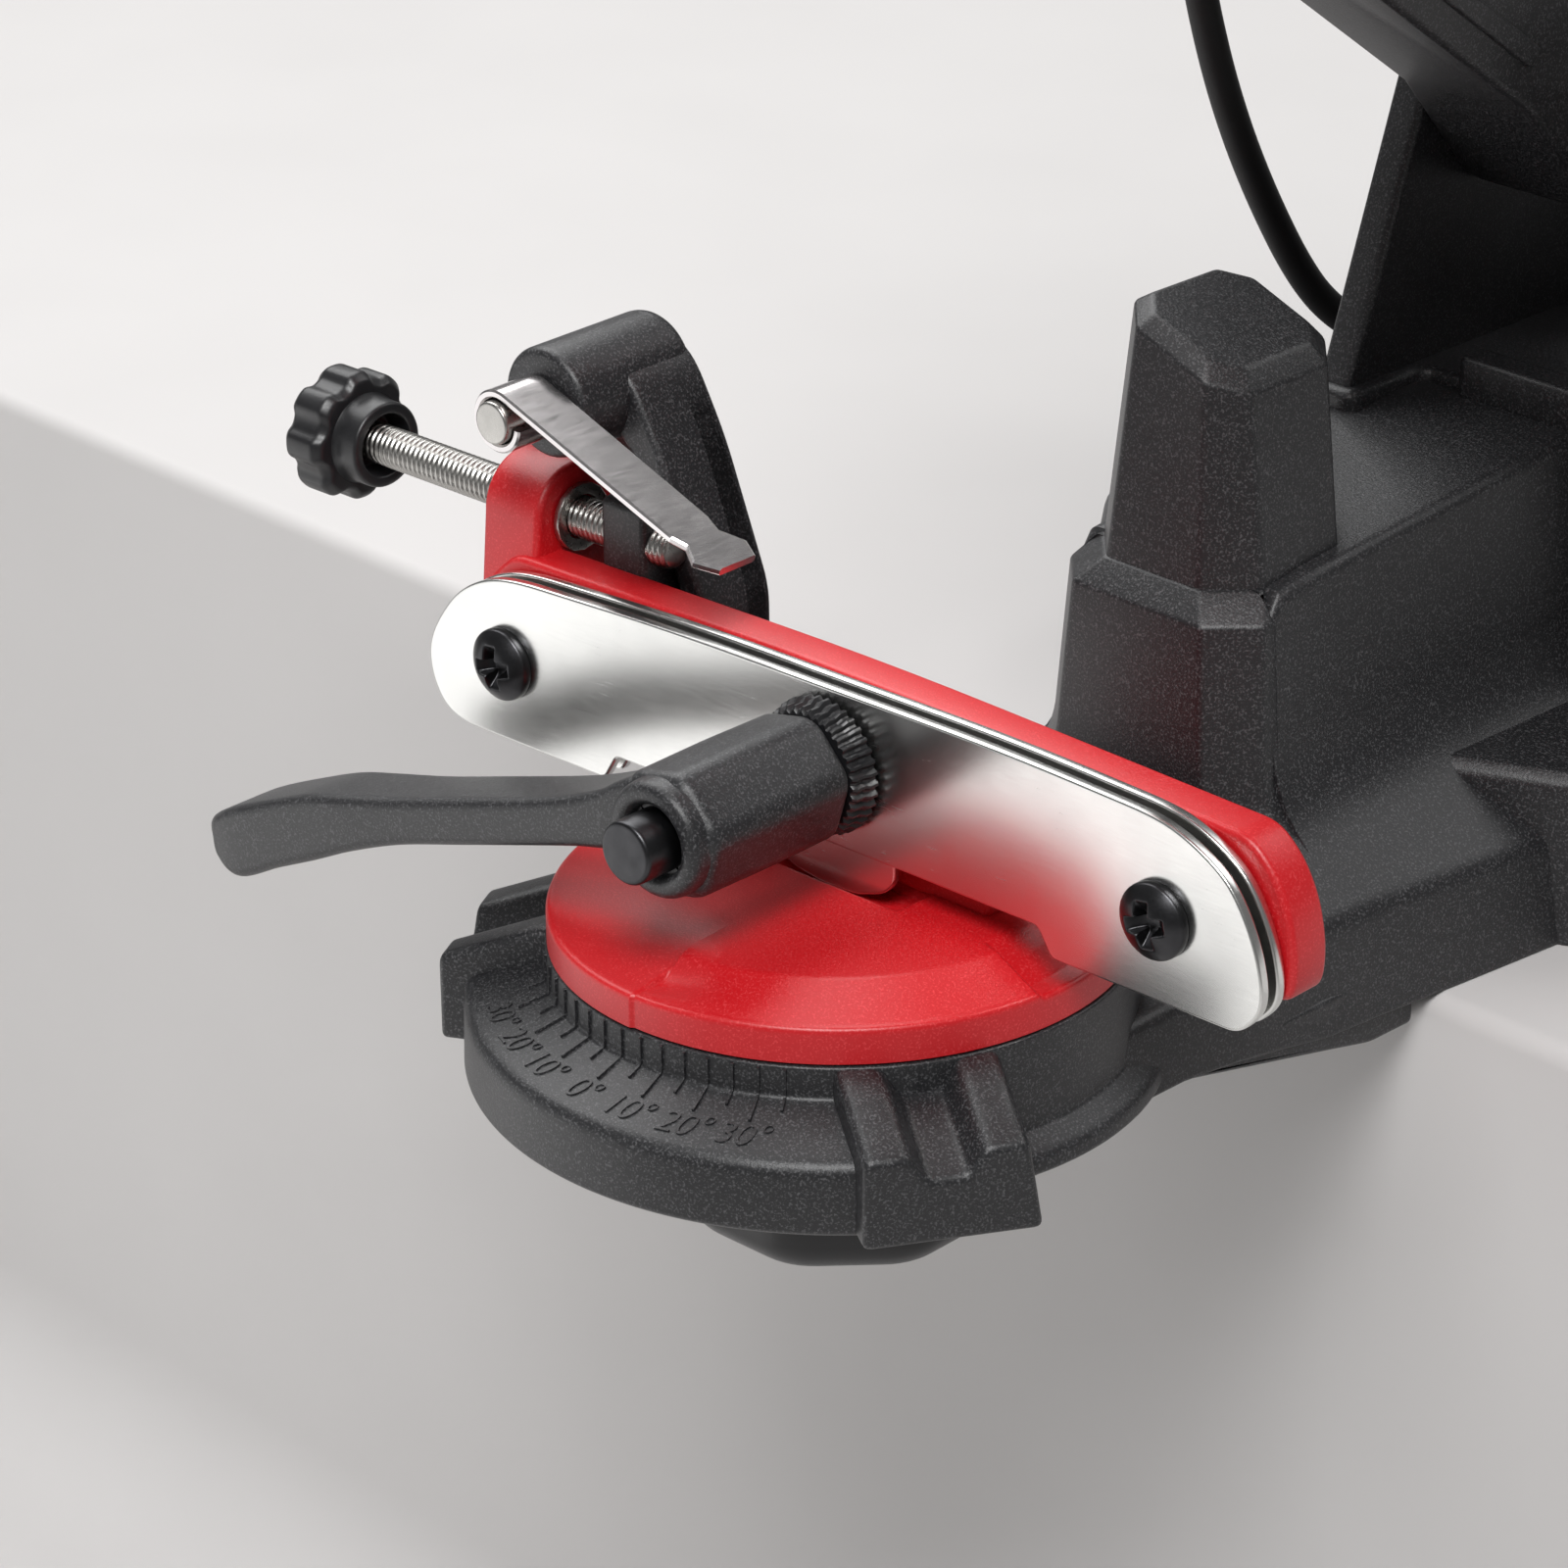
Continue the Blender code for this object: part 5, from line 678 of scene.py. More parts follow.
# A word as an extruded mesh: its points (across, up, out of the page) and faces, centred across
def lettering(text, height, slant, thin, depth):
    curve = bpy.data.curves.new(text, "FONT")
    curve.body = text
    curve.size = height * mm * 1.37
    curve.shear = slant
    curve.offset = thin * (height * mm)
    curve.extrude = depth * mm / 2
    curve.resolution_u = 4
    carrier = bpy.data.objects.new(text, curve)
    scene.collection.objects.link(carrier)
    bpy.context.view_layer.update()
    mesh = bpy.data.meshes.new_from_object(carrier.evaluated_get(bpy.context.evaluated_depsgraph_get()))
    verts = np.empty(len(mesh.vertices) * 3)
    mesh.vertices.foreach_get("co", verts)
    faces = [list(face.vertices) for face in mesh.polygons]
    bpy.data.objects.remove(carrier)
    bpy.data.meshes.remove(mesh)
    verts = verts.reshape(-1, 3) / mm
    return verts - ((verts[:, 0].max() + verts[:, 0].min()) / 2, 0, 0), faces


# Dial figures: across becomes an angle at its radius, up points at the drum, height is counted from the slope
def dialFigure(degrees, d):
    verts, faces = lettering(f"{abs(degrees)}°", d["height"], d["slant"], d["thin"], d["raise"] * 2)
    r = d["baseline"] - verts[:, 1]
    return fromFront(r, dialHeight(r) + verts[:, 2], math.radians(degrees) + verts[:, 0] / r), faces


piece("dial_marks", "base_housing", joined(*[dialMark(a, dial) for a in dial["marks"]]), sharp=35)
piece("dial_figures", "base_housing", joined(*[dialFigure(a, dial) for a in dial["figures"]]), sharp=35)

# Arm and spine: one section across, carried back along the reach. Its corners are the outer wall's foot,
# the deck's edge, the deck's root at the spine, the spine's top edge and the middle; the root is filleted
spine = {
    "half": 18.2, "flare": 3.0, "deckEdge": 16, "draft": 2.6, "level": 60, "low": 9, "crown": 0.2,
    #        reach, foot z, outer half, root z, spine top
    "rows": [(12, 5, 35.9, 14.5, 0), (20, 5, 35.9, 15.0, 0), (27, 5, 35.8, 16.4, 0), (38, 3.6, 35.5, 20.2, 0),
             (48, 1.8, 35.2, 24.0, 0), (57, 0, 35, 27.0, 0), (64.3, 0, 35.7, 27.7, 0),
             (64.4, 0, 35.7, 27.7, 54.2), (67.3, 0, 35.9, 27.8, 58.3), (76, 0, 36.9, 28, 59.4),
             (90, 0, 38.3, 28, 60.6), (110, 0, 40.2, 28, 62.3), (128, 0, 42, 28, 63.9), (140, 0, 43, 28, 64),
             (170, 0, 44, 28, 64), (199.9, 0, 44, 28, 64)],
    "round": (0, 0.8, 2.2, 9, 2.2, 0),
}


def spineShape(s):
    reach, foot, outer, root, top = np.array(s["rows"]).T
    top = np.maximum(top, root + 0.01)
    full = (top - root) / (top.max() - root)
    inner = s["half"] + s["flare"] * (1 - (root - s["deckEdge"]) / (s["level"] - s["deckEdge"]))
    shoulder = np.where(full > 0.5, s["half"], inner - s["low"])
    corners = cornerRows(len(reach), (0, foot), (outer + s["draft"], foot), (outer, s["deckEdge"]),
                         (inner, root), (shoulder, top), (0, top + s["crown"]))
    half = softProfile(corners, s["round"], 6)
    section = np.concatenate([half, half[:, ::-1][:, 1:-1] * (-1, 1)], 1)
    return skin(stand(section[..., 0], reach[:, None], section[..., 1]))


piece("arm_and_spine", "base_housing", spineShape(spine), sharp=40)

# Column: octagon plans stacked up. Its foot flares into the deck like the spine's root, but less in front
column = {
    "front": 57.6, "back": 66, "half": 18.17, "chamfer": 6.5, "backChamfer": 0.4, "soft": 0.7, "step": 54.4,
    "stepTop": 58.1, "lean": 2.8, "draft": 3.0, "deck": 16, "level": 60, "root": 27.9, "fillet": 6,
    "frontFlare": 1.5, "topHalf": 11, "topFront": 63.5, "topBack": 88.5, "topChamfer": 4.6, "footBack": 89,
    "leftTop": 93.6, "rightTop": 85.4, "cap": 2.3, "seam": 0.2, "sunk": -3, "leastChamfer": 1.2,
}


# Plan of an octagon, from its half width, front, back and two chamfers; soft corners
def octagonPlan(half, front, back, chamfer, rear, soft):
    plan = [(-half + chamfer, front), (half - chamfer, front), (half, front + chamfer), (half, back - rear),
            (half - rear, back), (-half + rear, back), (-half, back - rear), (-half, front + chamfer)]
    return rounded(plan, soft, 4)


def lowerColumn(c):
    slope = c["draft"] / (c["level"] - c["deck"])
    atRoot = -slope * (c["level"] - c["root"])
    side = softLine([(atRoot - c["fillet"], c["root"] - c["fillet"] * 0.88, 0),
                     (atRoot, c["root"], c["fillet"]), (-slope * (c["level"] - c["step"]), c["step"], 0.5),
                     (c["lean"], c["stepTop"], 0.4), (c["lean"] + 3, c["stepTop"] + 0.05, 0)], 6)
    sheet = []
    for d, z in side:
        front = c["front"] + max(d, -c["frontFlare"])
        plan = octagonPlan(c["half"] - d, front, c["back"], c["chamfer"], c["backChamfer"], c["soft"])
        sheet.append(stand(*plan.T, z))
    return skin(np.array(sheet))


def upperColumn(c):
    back = c["lean"] + c["seam"]
    foot = (c["half"] - back, c["front"] + back, c["footBack"], c["chamfer"])
    top = (c["topHalf"], c["topFront"], c["topBack"], c["topChamfer"])
    tall = (c["leftTop"] + c["rightTop"]) / 2 - c["stepTop"]
    side = softLine([(0, 0, 0), (0, tall, 0.45), (c["cap"], tall + c["cap"], 0.6),
                     (c["cap"] + 5, tall + c["cap"], 0)], 5)
    sheet = []
    for d, z in [(0, c["sunk"]), *side]:
        share = np.clip(z / tall, -0.1, 1)
        half, front, back, chamfer = (a + (b - a) * share for a, b in zip(foot, top))
        chamfer = max(chamfer - d * 0.45, c["leastChamfer"])
        plan = octagonPlan(half - d, front + d, back - d, chamfer, chamfer, c["soft"])
        tilt = (c["rightTop"] - c["leftTop"]) / (2 * c["topHalf"]) * plan[:, 0] * np.clip(share, 0, 1)
        sheet.append(stand(*plan.T, c["stepTop"] + z + tilt))
    return skin(np.array(sheet))


piece("column_lower", "base_housing", lowerColumn(column), sharp=40)
piece("column_upper", "base_housing", upperColumn(column), sharp=40)

# Lip that hooks over the bench's edge, under the arm: side outline carried across
lip = {"half": 37.2, "round": 1.2, "edge": 0.8,
       "side": [(26, 4.7), (57, -2.2), (67, -4.5), (76, -4.5), (76, 6), (26, 6)]}
piece("bench_lip", "base_housing",
      board(lip["side"], lip["round"], -lip["half"], lip["half"], lip["edge"], "X"), sharp=40)

# Rear platform: plan outline stacked up a drafted wall to a bevelled top edge, with two bench holes
platform = {
    #          half width, reach, round
    "outline": [(18.2, 91.5, 1), (60, 110, 6), (84, 140, 6), (84, 248, 5), (70, 262, 4)],
    "top": 26, "bevel": 1.7, "draft": 1.3, "plate": 5, "recess": 2.6, "rim": 0.6,
    "hole": 4.2, "holeX": 70, "holeReach": 185, "ring": 7.6, "ringDeep": 1.0, "ringBevel": 0.4,
}


def platformPlan(p):
    half = np.array(p["outline"])
    return softPlan(np.concatenate([half, half[::-1] * (-1, 1, 1)]))


def platformWall(p):
    top = p["draft"] + p["bevel"]
    return softLine([(p["plate"], p["recess"], 0), (p["plate"], 0, 0.3), (0, 0, 0.6),
                     (p["draft"], p["top"] - p["bevel"], 1), (top, p["top"], 1),
                     (top + p["rim"], p["top"], 0)])


def holeWall(p):
    floor = p["top"] - p["ringDeep"]
    return [(p["hole"], p["recess"]), (p["hole"], floor), (p["ring"], floor),
            (p["ring"], p["top"] - p["ringBevel"]), (p["ring"] + p["ringBevel"], p["top"])]


# Walls of the outline and of each hole stay open at both ends, then both levels are filled round the holes
def holedPlate(line, profile, holes, holeProfile, steps=40):
    angle = turnSteps(steps)[:, 0]
    parts = [stack(line, profile, caps=False)]
    for centre in holes:
        rings = [stand(r * np.cos(angle), r * np.sin(angle), z, "Z", centre) for r, z in holeProfile]
        parts.append(skin(np.array(rings), caps=False))
    verts, faces = joined(*parts)
    bm = bmesh.new()
    made = [bm.verts.new(v) for v in verts * mm]
    for face in faces:
        bm.faces.new([made[i] for i in face])
    for level in (profile[0][1] * mm, profile[-1][1] * mm):
        rim = [e for e in bm.edges if e.is_boundary and all(abs(v.co.z - level) < 1e-6 for v in e.verts)]
        bmesh.ops.triangle_fill(bm, edges=rim, use_beauty=True)
    bm.verts.index_update()
    verts = np.array([v.co[:] for v in bm.verts]) / mm
    faces = [[v.index for v in f.verts] for f in bm.faces]
    bm.free()
    return verts, faces


holes = [(side * platform["holeX"], platform["holeReach"]) for side in (1, -1)]
piece("rear_platform", "base_housing",
      holedPlate(platformPlan(platform), platformWall(platform), holes, holeWall(platform)), sharp=35)
print("base ring, arm, column and platform made")


# Tower with two ears for the head's pivot, and the low rib across the spine in front of it
tower = {
    "left": -20, "right": 30, "front": 116.5, "back": 199.8, "top": 66, "foot": 18, "notch": -12,
    "shoulderReach": 133, "edge": 1.6, "ear": 6, "earRound": 17, "earBack": 183, "earEdge": 1.2, "earSunk": 4,
    "rib": (-4.5, 18.2, 131, 137), "ribFoot": 58, "ribTop": 70, "ribEdge": 1.1,
}


def block(plan, low, high, edge):
    return board(plan, edge * 1.6, low, high, edge, lowEdge=0.1)


def earShape(low, front, t):
    foot = t["top"] - t["earSunk"]
    pivot = (places["pivotReach"], places["pivotHeight"])
    outline = [(t["earBack"], foot), *arc(pivot, t["earRound"], 10, 162, 40), (front + 0.2, foot)]
    return slab(outline, low, low + t["ear"], t["earEdge"], "X")


def towerPlan(t):
    return [(t["left"], t["front"]), (t["notch"], t["front"]), (t["notch"], t["shoulderReach"]),
            (t["right"], t["shoulderReach"]), (t["right"], t["back"]), (t["left"], t["back"])]


piece("tower", "base_housing", block(towerPlan(tower), tower["foot"], tower["top"], tower["edge"]), sharp=40)
piece("ear_left", "base_housing", earShape(tower["left"], tower["front"], tower), sharp=35)
piece("ear_right", "base_housing",
      earShape(tower["right"] - tower["ear"], tower["shoulderReach"], tower), sharp=35)
piece("tower_rib", "base_housing",
      block(rectangle(*tower["rib"]), tower["ribFoot"], tower["ribTop"], tower["ribEdge"]), sharp=40)
print("tower made")


# Turntable: a polar height field. Right of the pointer the rim is a crisp bevel with a scoop beside the
# pointer, left of it the plateau falls away softly; the bevel ends in a step before the rail's right end
turntable = {
    "under": 24.8, "rim": 39.8, "rimLeft": 40.2, "rimTop": 29.7, "plateau": 31.5, "top": 33, "edge": 39.0,
    "scoop": 2.3, "scoopRadius": 34.4, "scoopWide": 3.6, "scoopAngle": 13.0, "softFrom": 21, "softTo": 39.4,
    "end": 83.0, "endDrop": 1.8, "spigot": 12, "spigotLow": 16.6, "lowest": 0.4,
    #       share of the way out, share of the height left
    "fall": [(0.35, 0.97), (0.62, 0.85), (0.85, 0.62), (0.97, 0.35)], "fallDeep": 0.9, "fallEnd": 1.1,
    "pocketHalf": 13.0, "pocketFront": -2.6, "pocketBack": 3.0, "pocketDeep": 1.9, "pocketAbove": 30,
}


def turntableHeight(r, degrees, t):
    plateau, top = t["plateau"], t["top"]
    crisp = np.interp(r, [0, plateau - 0.5, plateau, plateau + 0.5, 39.2],
                      [top, top, top - 0.07, top - 0.28, t["rimTop"] + 0.15])
    soft = top - (top - t["rimTop"]) * ease(t["softFrom"], t["softTo"], r)
    away = ((r - t["scoopRadius"]) / t["scoopWide"]) ** 2 + (degrees / t["scoopAngle"]) ** 2
    right = crisp - t["scoop"] * np.exp(-away) * (degrees > -1)
    height = soft + (right - soft) * np.clip(ease(-0.5, 0.5, degrees) + ease(-95, -120, degrees), 0, 1)
    drop = t["endDrop"] * ease(t["end"], t["end"] + 2, degrees) * ease(150, 120, degrees) * ease(28, 32, r)
    return np.maximum(height - drop, t["rimTop"] - t["lowest"])


def turntableShape(t):
    degrees = np.unique(np.concatenate([np.arange(-180, 180, 1.5), np.arange(-3, 3.01, 0.25),
                                        np.arange(81, 87, 0.5)]).round(3))
    n, edge = len(degrees), t["edge"]
    r = np.concatenate([np.linspace(0.001, 20, 48), np.linspace(21, 30.5, 12), np.linspace(30.9, edge, 26)])
    height = turntableHeight(r[None], degrees[:, None], t)
    rim = t["rim"] + (t["rimLeft"] - t["rim"]) * (ease(0.5, -0.5, degrees) * ease(-60, -20, degrees))
    out, left = np.array(t["fall"]).T
    wallR = edge + (rim[:, None] - edge) * np.concatenate([out, [1, 1.008, 1.008]])
    last = height[:, -1:]
    wallZ = beside(n, last - (1 - left) * t["fallDeep"], last - t["fallEnd"], [t["under"] + 0.3, t["under"]])
    lowR, lowZ = points((t["spigot"], t["under"]), (t["spigot"], t["spigotLow"] + 0.3),
                        (t["spigot"] - 0.3, t["spigotLow"]), (0.001, t["spigotLow"])).T
    sheet = fromFront(beside(n, r, wallR, lowR), beside(n, height, wallZ, lowZ), np.radians(degrees)[:, None])
    x, y, z = np.moveaxis(sheet, -1, 0)
    half, front, back = t["pocketHalf"], t["pocketFront"], t["pocketBack"]
    inside = ease(half + 0.8, half - 0.8, np.abs(x)) * ease(front - 1.6, front, y) * (z > t["pocketAbove"])
    sheet[..., 2] -= t["pocketDeep"] * inside * ease(back + 1.6, back, y)
    return skin(sheet, closeRows=True, closeColumns=False)


piece("turntable_disc", "turntable", turntableShape(turntable), sharp=45, tiny=0.004)

# Backing wall behind the rail, with its foot on the disc, and the arch that carries the adjusting screw
backWall = {
    "near": 2.75, "far": 9.5, "edge": 0.9,
    #       x, height, round: right end, foot, left end, crown
    "line": [(67.3, 58.8, 2.5), (71.5, 55.0, 2.5), (74.0, 50.2, 2.5), (75.2, 44.4, 2.5), (75.0, 39.6, 2.5),
             (73.8, 37.5, 2.5), (24, 37.5, 2), (24, 32.5, 1.5), (-24, 32.5, 1.5), (-24, 37.5, 2),
             (-69.4, 37.5, 2.5), (-73.1, 40.3, 2.5), (-74.0, 46.7, 2.5), (-71.7, 54.1, 2.5),
             (-65.7, 59.7, 2.5), (0, 60.8, 20)],
}
piece("backing_wall", "turntable",
      slab(softPlan(backWall["line"]), backWall["near"], backWall["far"], backWall["edge"], "Y", 5), sharp=50)
screwAxis = (12, 64)
arch = {"radius": 7.8, "left": -73, "right": -62, "foot": 47, "near": 1.6, "far": 0.3, "edge": 1.0}
archLine = np.concatenate([[(screwAxis[0] - arch["radius"] - arch["near"], arch["foot"]),
                            (screwAxis[0] + arch["radius"] + arch["far"], arch["foot"])],
                           arc(screwAxis, arch["radius"], 0, 180, 32)])
piece("screw_arch", "turntable", slab(archLine, arch["left"], arch["right"], arch["edge"], "X", 5), sharp=50)
guide = {"plan": (-69, -20, 42, 50), "round": 1.2, "near": 9, "far": 13.5, "edge": 0.7, "root": 0.1}
piece("slide_guide", "turntable",
      board(rectangle(*guide["plan"]), guide["round"], guide["near"], guide["far"], guide["edge"], "Y",
            lowEdge=guide["root"]))

# Rail plates: one outline, pressed from 1.6 mm sheet with rolled edges
rail = {
    "spans": {"rail_front": (-2.4, -0.8), "rail_rear": (0.8, 2.4)}, "edge": 0.38,
    #       x, height, round
    "line": [(-61, 58.9, 6), (-67.1, 57.1, 3), (-72.3, 53.7, 3), (-76.7, 47.9, 3), (-78.4, 43.6, 3),
             (-77.8, 39.2, 3), (-75.4, 35.3, 2.4), (-71.4, 33.9, 2), (-43, 34.0, 0.9), (-40.6, 38.0, 0.9),
             (36.8, 38.0, 0.9), (39.2, 34.1, 0.9), (70.4, 34.1, 2), (73.7, 37.5, 2), (74.3, 40.9, 2.4),
             (73.2, 46.2, 3), (70.7, 51.5, 3), (67.7, 55.3, 3), (62.1, 58.4, 3), (56.5, 60.0, 5),
             (30, 61.0, 12), (-30, 60.4, 12)],
}
for name, span in rail["spans"].items():
    piece(name + "_plate", name, slab(softPlan(rail["line"], 6), *span, rail["edge"], "Y"), sharp=60)
tongue = {"span": (-2.2, -0.9), "round": 1.4, "edge": 0.35,
          "line": [(-11.5, 41), (-11.5, 34.6), (-7.0, 32.3), (-1.5, 31.5), (4.5, 31.7), (9.6, 33.4),
                   (11.5, 35.6), (11.5, 41)]}
piece("rail_tongue", "rail_front",
      board(tongue["line"], tongue["round"], *tongue["span"], tongue["edge"], "Y"), sharp=60)
spacer = {"half": 0.5, "edge": 0.1, "round": 1,
          "line": [(-66, 38.4), (66, 38.4), (66, 47), (63, 50), (-63, 50), (-66, 47)]}
piece("rail_spacer_strip", "rail_spacer",
      board(spacer["line"], spacer["round"], -spacer["half"], spacer["half"], spacer["edge"], "Y"), sharp=60)

# Cross recess pan screws: domed head as a height field, less a cross with sloping flanks and a round pit
panScrew = {
    "radius": 5.3, "height": 3.3, "seat": -2.45, "z": 45.9, "long": 2.9, "wide": 0.85, "deep": 2.5,
    "flank": 0.35, "shank": 2.4, "end": 8, "steps": 144,
    #       radius, share of the height
    "side": [(5.28, 0.34), (5.32, 0.22), (5.3, 0.08), (5.15, 0.0), (2.4, 0.0)],
    #        x, turn of the cross
    "heads": {"left": (-62.3, 0.12), "right": (57.1, 0.2)},
}


def panScrewAt(s, place, twist):
    r = np.concatenate([np.linspace(0.01, 3.4, 30), np.linspace(3.55, 5.2, 14)])
    angle = turnSteps(s["steps"])
    dome = s["height"] * (1 - (r / s["radius"]) ** 2.6 * 0.62)
    x, y = r * np.cos(angle - twist), r * np.sin(angle - twist)
    slot = [ease(s["wide"] + s["flank"], s["wide"] - 0.1, np.abs(a)) * ease(s["long"] + 0.5, 0.9, np.abs(b))
            for a, b in ((x, y), (y, x))]
    depth = np.maximum(np.maximum(*slot), ease(1.9, 0.6, r) * 0.8) ** 0.8 * s["deep"]
    sideR, sideH = (np.array(s["side"]) * (1, s["height"])).T
    bottom = s["seat"] - s["end"]
    allR = np.concatenate([r, sideR, [s["shank"], 0.01]])
    allH = beside(s["steps"], dome - depth, sideH, [bottom, bottom])
    return revolved(allR, s["seat"] - allH, angle, "Y", (place, s["z"]), pointed=True)


for side, (place, twist) in panScrew["heads"].items():
    piece(f"rail_screw_{side}_head", "rail_screw_" + side, panScrewAt(panScrew, place, twist), sharp=50,
          tiny=0.015)
print("turntable and rail made")

# Clamp: spindle, knurled washer, hexagon hub with its arm
clamp = {
    "z": 50, "spindle": 4.4, "front": -40.5, "head": 6.5, "headFar": 14, "headNear": 9.8,
    "washer": 9.7, "groove": 9.15, "washerEnd": 8.6, "washerBore": 4.7, "washerNear": -2.75,
    "washerFar": -6.9, "ribs": 38, "ribDeep": 0.055, "ribSlope": 2.2, "hub": 9.9, "hubNear": -7.2,
    "hubMiddle": -20, "hubFront": -34.0, "corner": 2.6, "drop": math.radians(17.6),
    #        radius, place along y, round
    "boss": [(4.75, -30, 0), (4.9, -34.9, 0.4), (5.7, -35.9, 0.6), (7.2, -35.8, 0.8), (8.0, -35.0, 0.6),
             (8.25, -33.0, 0.2), (4.75, -33.0, 0)],
}
clampAxis = (0, clamp["z"])


def spindleLine(c):
    return softLine([(0.01, c["headFar"], 0), (c["head"], c["headFar"], 0.6), (c["head"], c["headNear"], 0.2),
                     (c["spindle"], c["headNear"], 0.1), (c["spindle"], c["front"], 0.75),
                     (0.01, c["front"] - 0.1, 0)], 5)


# A lobe function: 1 at the tips, less by a depth in the gaps, with flanks as steep as the slope
def lobes(count, deep, slope, shift=0.0, top=None):
    scale = math.tanh(slope if top is None else top)
    return lambda angle: 1 - deep * (0.5 - 0.5 * np.tanh((np.cos(count * angle) + shift) * slope) / scale)


def washerLine(c):
    near, far = c["washerNear"], c["washerFar"]
    return [(c["washerBore"], near), (9.0, near), (c["washer"], near - 0.4), (c["washer"], near - 1.6),
            (c["groove"], near - 2.3), (c["groove"], far + 0.5), (c["washerEnd"], far),
            (c["washerBore"], far)]


def hubShape(c):
    angle = math.tau * (np.arange(6) + 0.5) / 6 - c["drop"]
    hexagon = np.stack([c["hub"] * np.cos(angle), c["hub"] * np.sin(angle)], 1)
    near, front = c["hubNear"], c["hubFront"]
    side = softLine([(5, near, 0), (1.1, near, 0.5), (0, near - 1.2, 0.6), (-0.15, c["hubMiddle"], 3),
                     (0, front + 1.5, 0.9), (1.7, front, 0.9), (5, front - 0.05, 0)])
    return stack(rounded(hexagon, c["corner"], 7), side, "Y", clampAxis)


leverArm = {
    "corner": 1.7, "share": 0.42,
    #            x', top, bottom, front, back
    "stations": [(2, 55.6, 45.5, -33.4, -22.5), (-5, 56.6, 45.4, -33.8, -22.4),
                 (-8.5, 55.2, 45.1, -34.0, -22.3), (-12, 52.9, 44.2, -34.1, -22.3),
                 (-17, 50.5, 42.9, -34.1, -22.3), (-25, 47.5, 40.4, -34.1, -22.3),
                 (-40, 42.7, 35.6, -34.1, -22.3), (-52, 38.9, 31.7, -34.1, -22.2),
                 (-62, 36.1, 27.5, -34.2, -22.0), (-70, 33.8, 23.5, -34.2, -22.0),
                 (-78, 30.5, 19.7, -34.2, -22.0), (-86, 26.9, 15.7, -34.0, -22.3),
                 (-90.5, 24.4, 16.6, -33.4, -23.2), (-93.6, 22.4, 18.8, -31.6, -25.0)],
}


# The arm: a soft rectangle in each station's upright plane, blended along x' with a Catmull-Rom curve
def armShape(a):
    x, top, bottom, front, back = smoothRoute(a["stations"], 6).T[..., None]
    cut = np.minimum(a["corner"], np.minimum(top - bottom, back - front) * a["share"])
    turn = np.linspace(0, quarter, 6)
    rise, run = cut * (1 - np.cos(turn)), cut * (1 - np.sin(turn))
    ys = np.concatenate([front + rise, back - run, back - rise, front + run], 1)
    zs = np.concatenate([top - run, top - rise, bottom + run, bottom + rise], 1)
    return skin(stand(ys, zs, x, "X"))


spindle = lathe(spindleLine(clamp), "Y", clampAxis, 64)
piece("clamp_spindle_rod", "clamp_spindle", spindle, sharp=50, tiny=0.02)
washerRibs = lobes(clamp["ribs"], clamp["ribDeep"], clamp["ribSlope"])
washer = lathe(washerLine(clamp), "Y", clampAxis, clamp["ribs"] * 8, washerRibs)
piece("clamp_washer_knurled", "clamp_washer", washer, smoothNylon, sharp=35)
boss = lathe(softLine(clamp["boss"], 5), "Y", clampAxis, 64)
piece("clamp_lever_handle", "clamp_lever", joined(hubShape(clamp), boss, armShape(leverArm)), sharp=38)
print("clamp made")


# Rolled thread: radius = R - depth (1 - |sin(pi (place / pitch - angle / turn))| to the power 0.85)
def threadRadius(radius, along, angle, s):
    wave = np.abs(np.sin(math.pi * (along / s["pitch"] - angle / math.tau)))
    return radius - s["deep"] * (1 - wave ** 0.85)


adjust = {"radius": 3.0, "pitch": 1.0, "deep": 0.34, "left": -108, "right": -42.2, "perPitch": 8,
          "around": 28, "taper": 1.2, "tip": 0.86}


def adjusterShape(s):
    x = np.arange(s["left"], s["right"], s["pitch"] / s["perPitch"])[:, None]
    angle = turnSteps(s["around"]).T
    ends = np.clip((s["right"] - x) / s["taper"], 0, 1)
    r = threadRadius(s["radius"] * (s["tip"] + (1 - s["tip"]) * ends), x, angle, s)
    return skin(stand(r * np.cos(angle), r * np.sin(angle), x, "X", screwAxis))


piece("adjusting_screw_thread", "adjusting_screw", adjusterShape(adjust), sharp=80)
star = {"radius": 9.8, "lobes": 8, "deep": 0.125, "outer": -113.9, "inner": -106, "collar": 6.4,
        "collarEnd": -101.4, "hole": 4.7}


def starShape(s):
    radius, outer, inner, collar, hole = (s[k] for k in ("radius", "outer", "inner", "collar", "hole"))
    face = softLine([(0.01, outer + 1.2, 0), (4.6, outer + 1.1, 0.4), (5.6, outer, 0.5),
                     (radius - 1.3, outer, 0.6), (radius, outer + 1.5, 0.6), (radius, inner - 1.3, 0.5),
                     (radius - 1.1, inner, 0.5), (0.01, inner, 0)])
    sleeve = softLine([(0.01, inner - 1, 0), (collar + 0.9, inner - 1, 0.2), (collar + 0.1, inner + 0.6, 0.8),
                       (collar, s["collarEnd"], 0.7), (hole, s["collarEnd"], 0.5),
                       (hole - 0.5, inner + 0.4, 0.4), (0.01, inner + 0.4, 0)])
    wave = lobes(s["lobes"], s["deep"], 1.7, 0.25, 2.1)
    return joined(lathe(face, "X", screwAxis, 160, wave), lathe(sleeve, "X", screwAxis, 72))


piece("star_knob_moulding", "star_knob", starShape(star), smoothNylon, sharp=40, tiny=0.02)

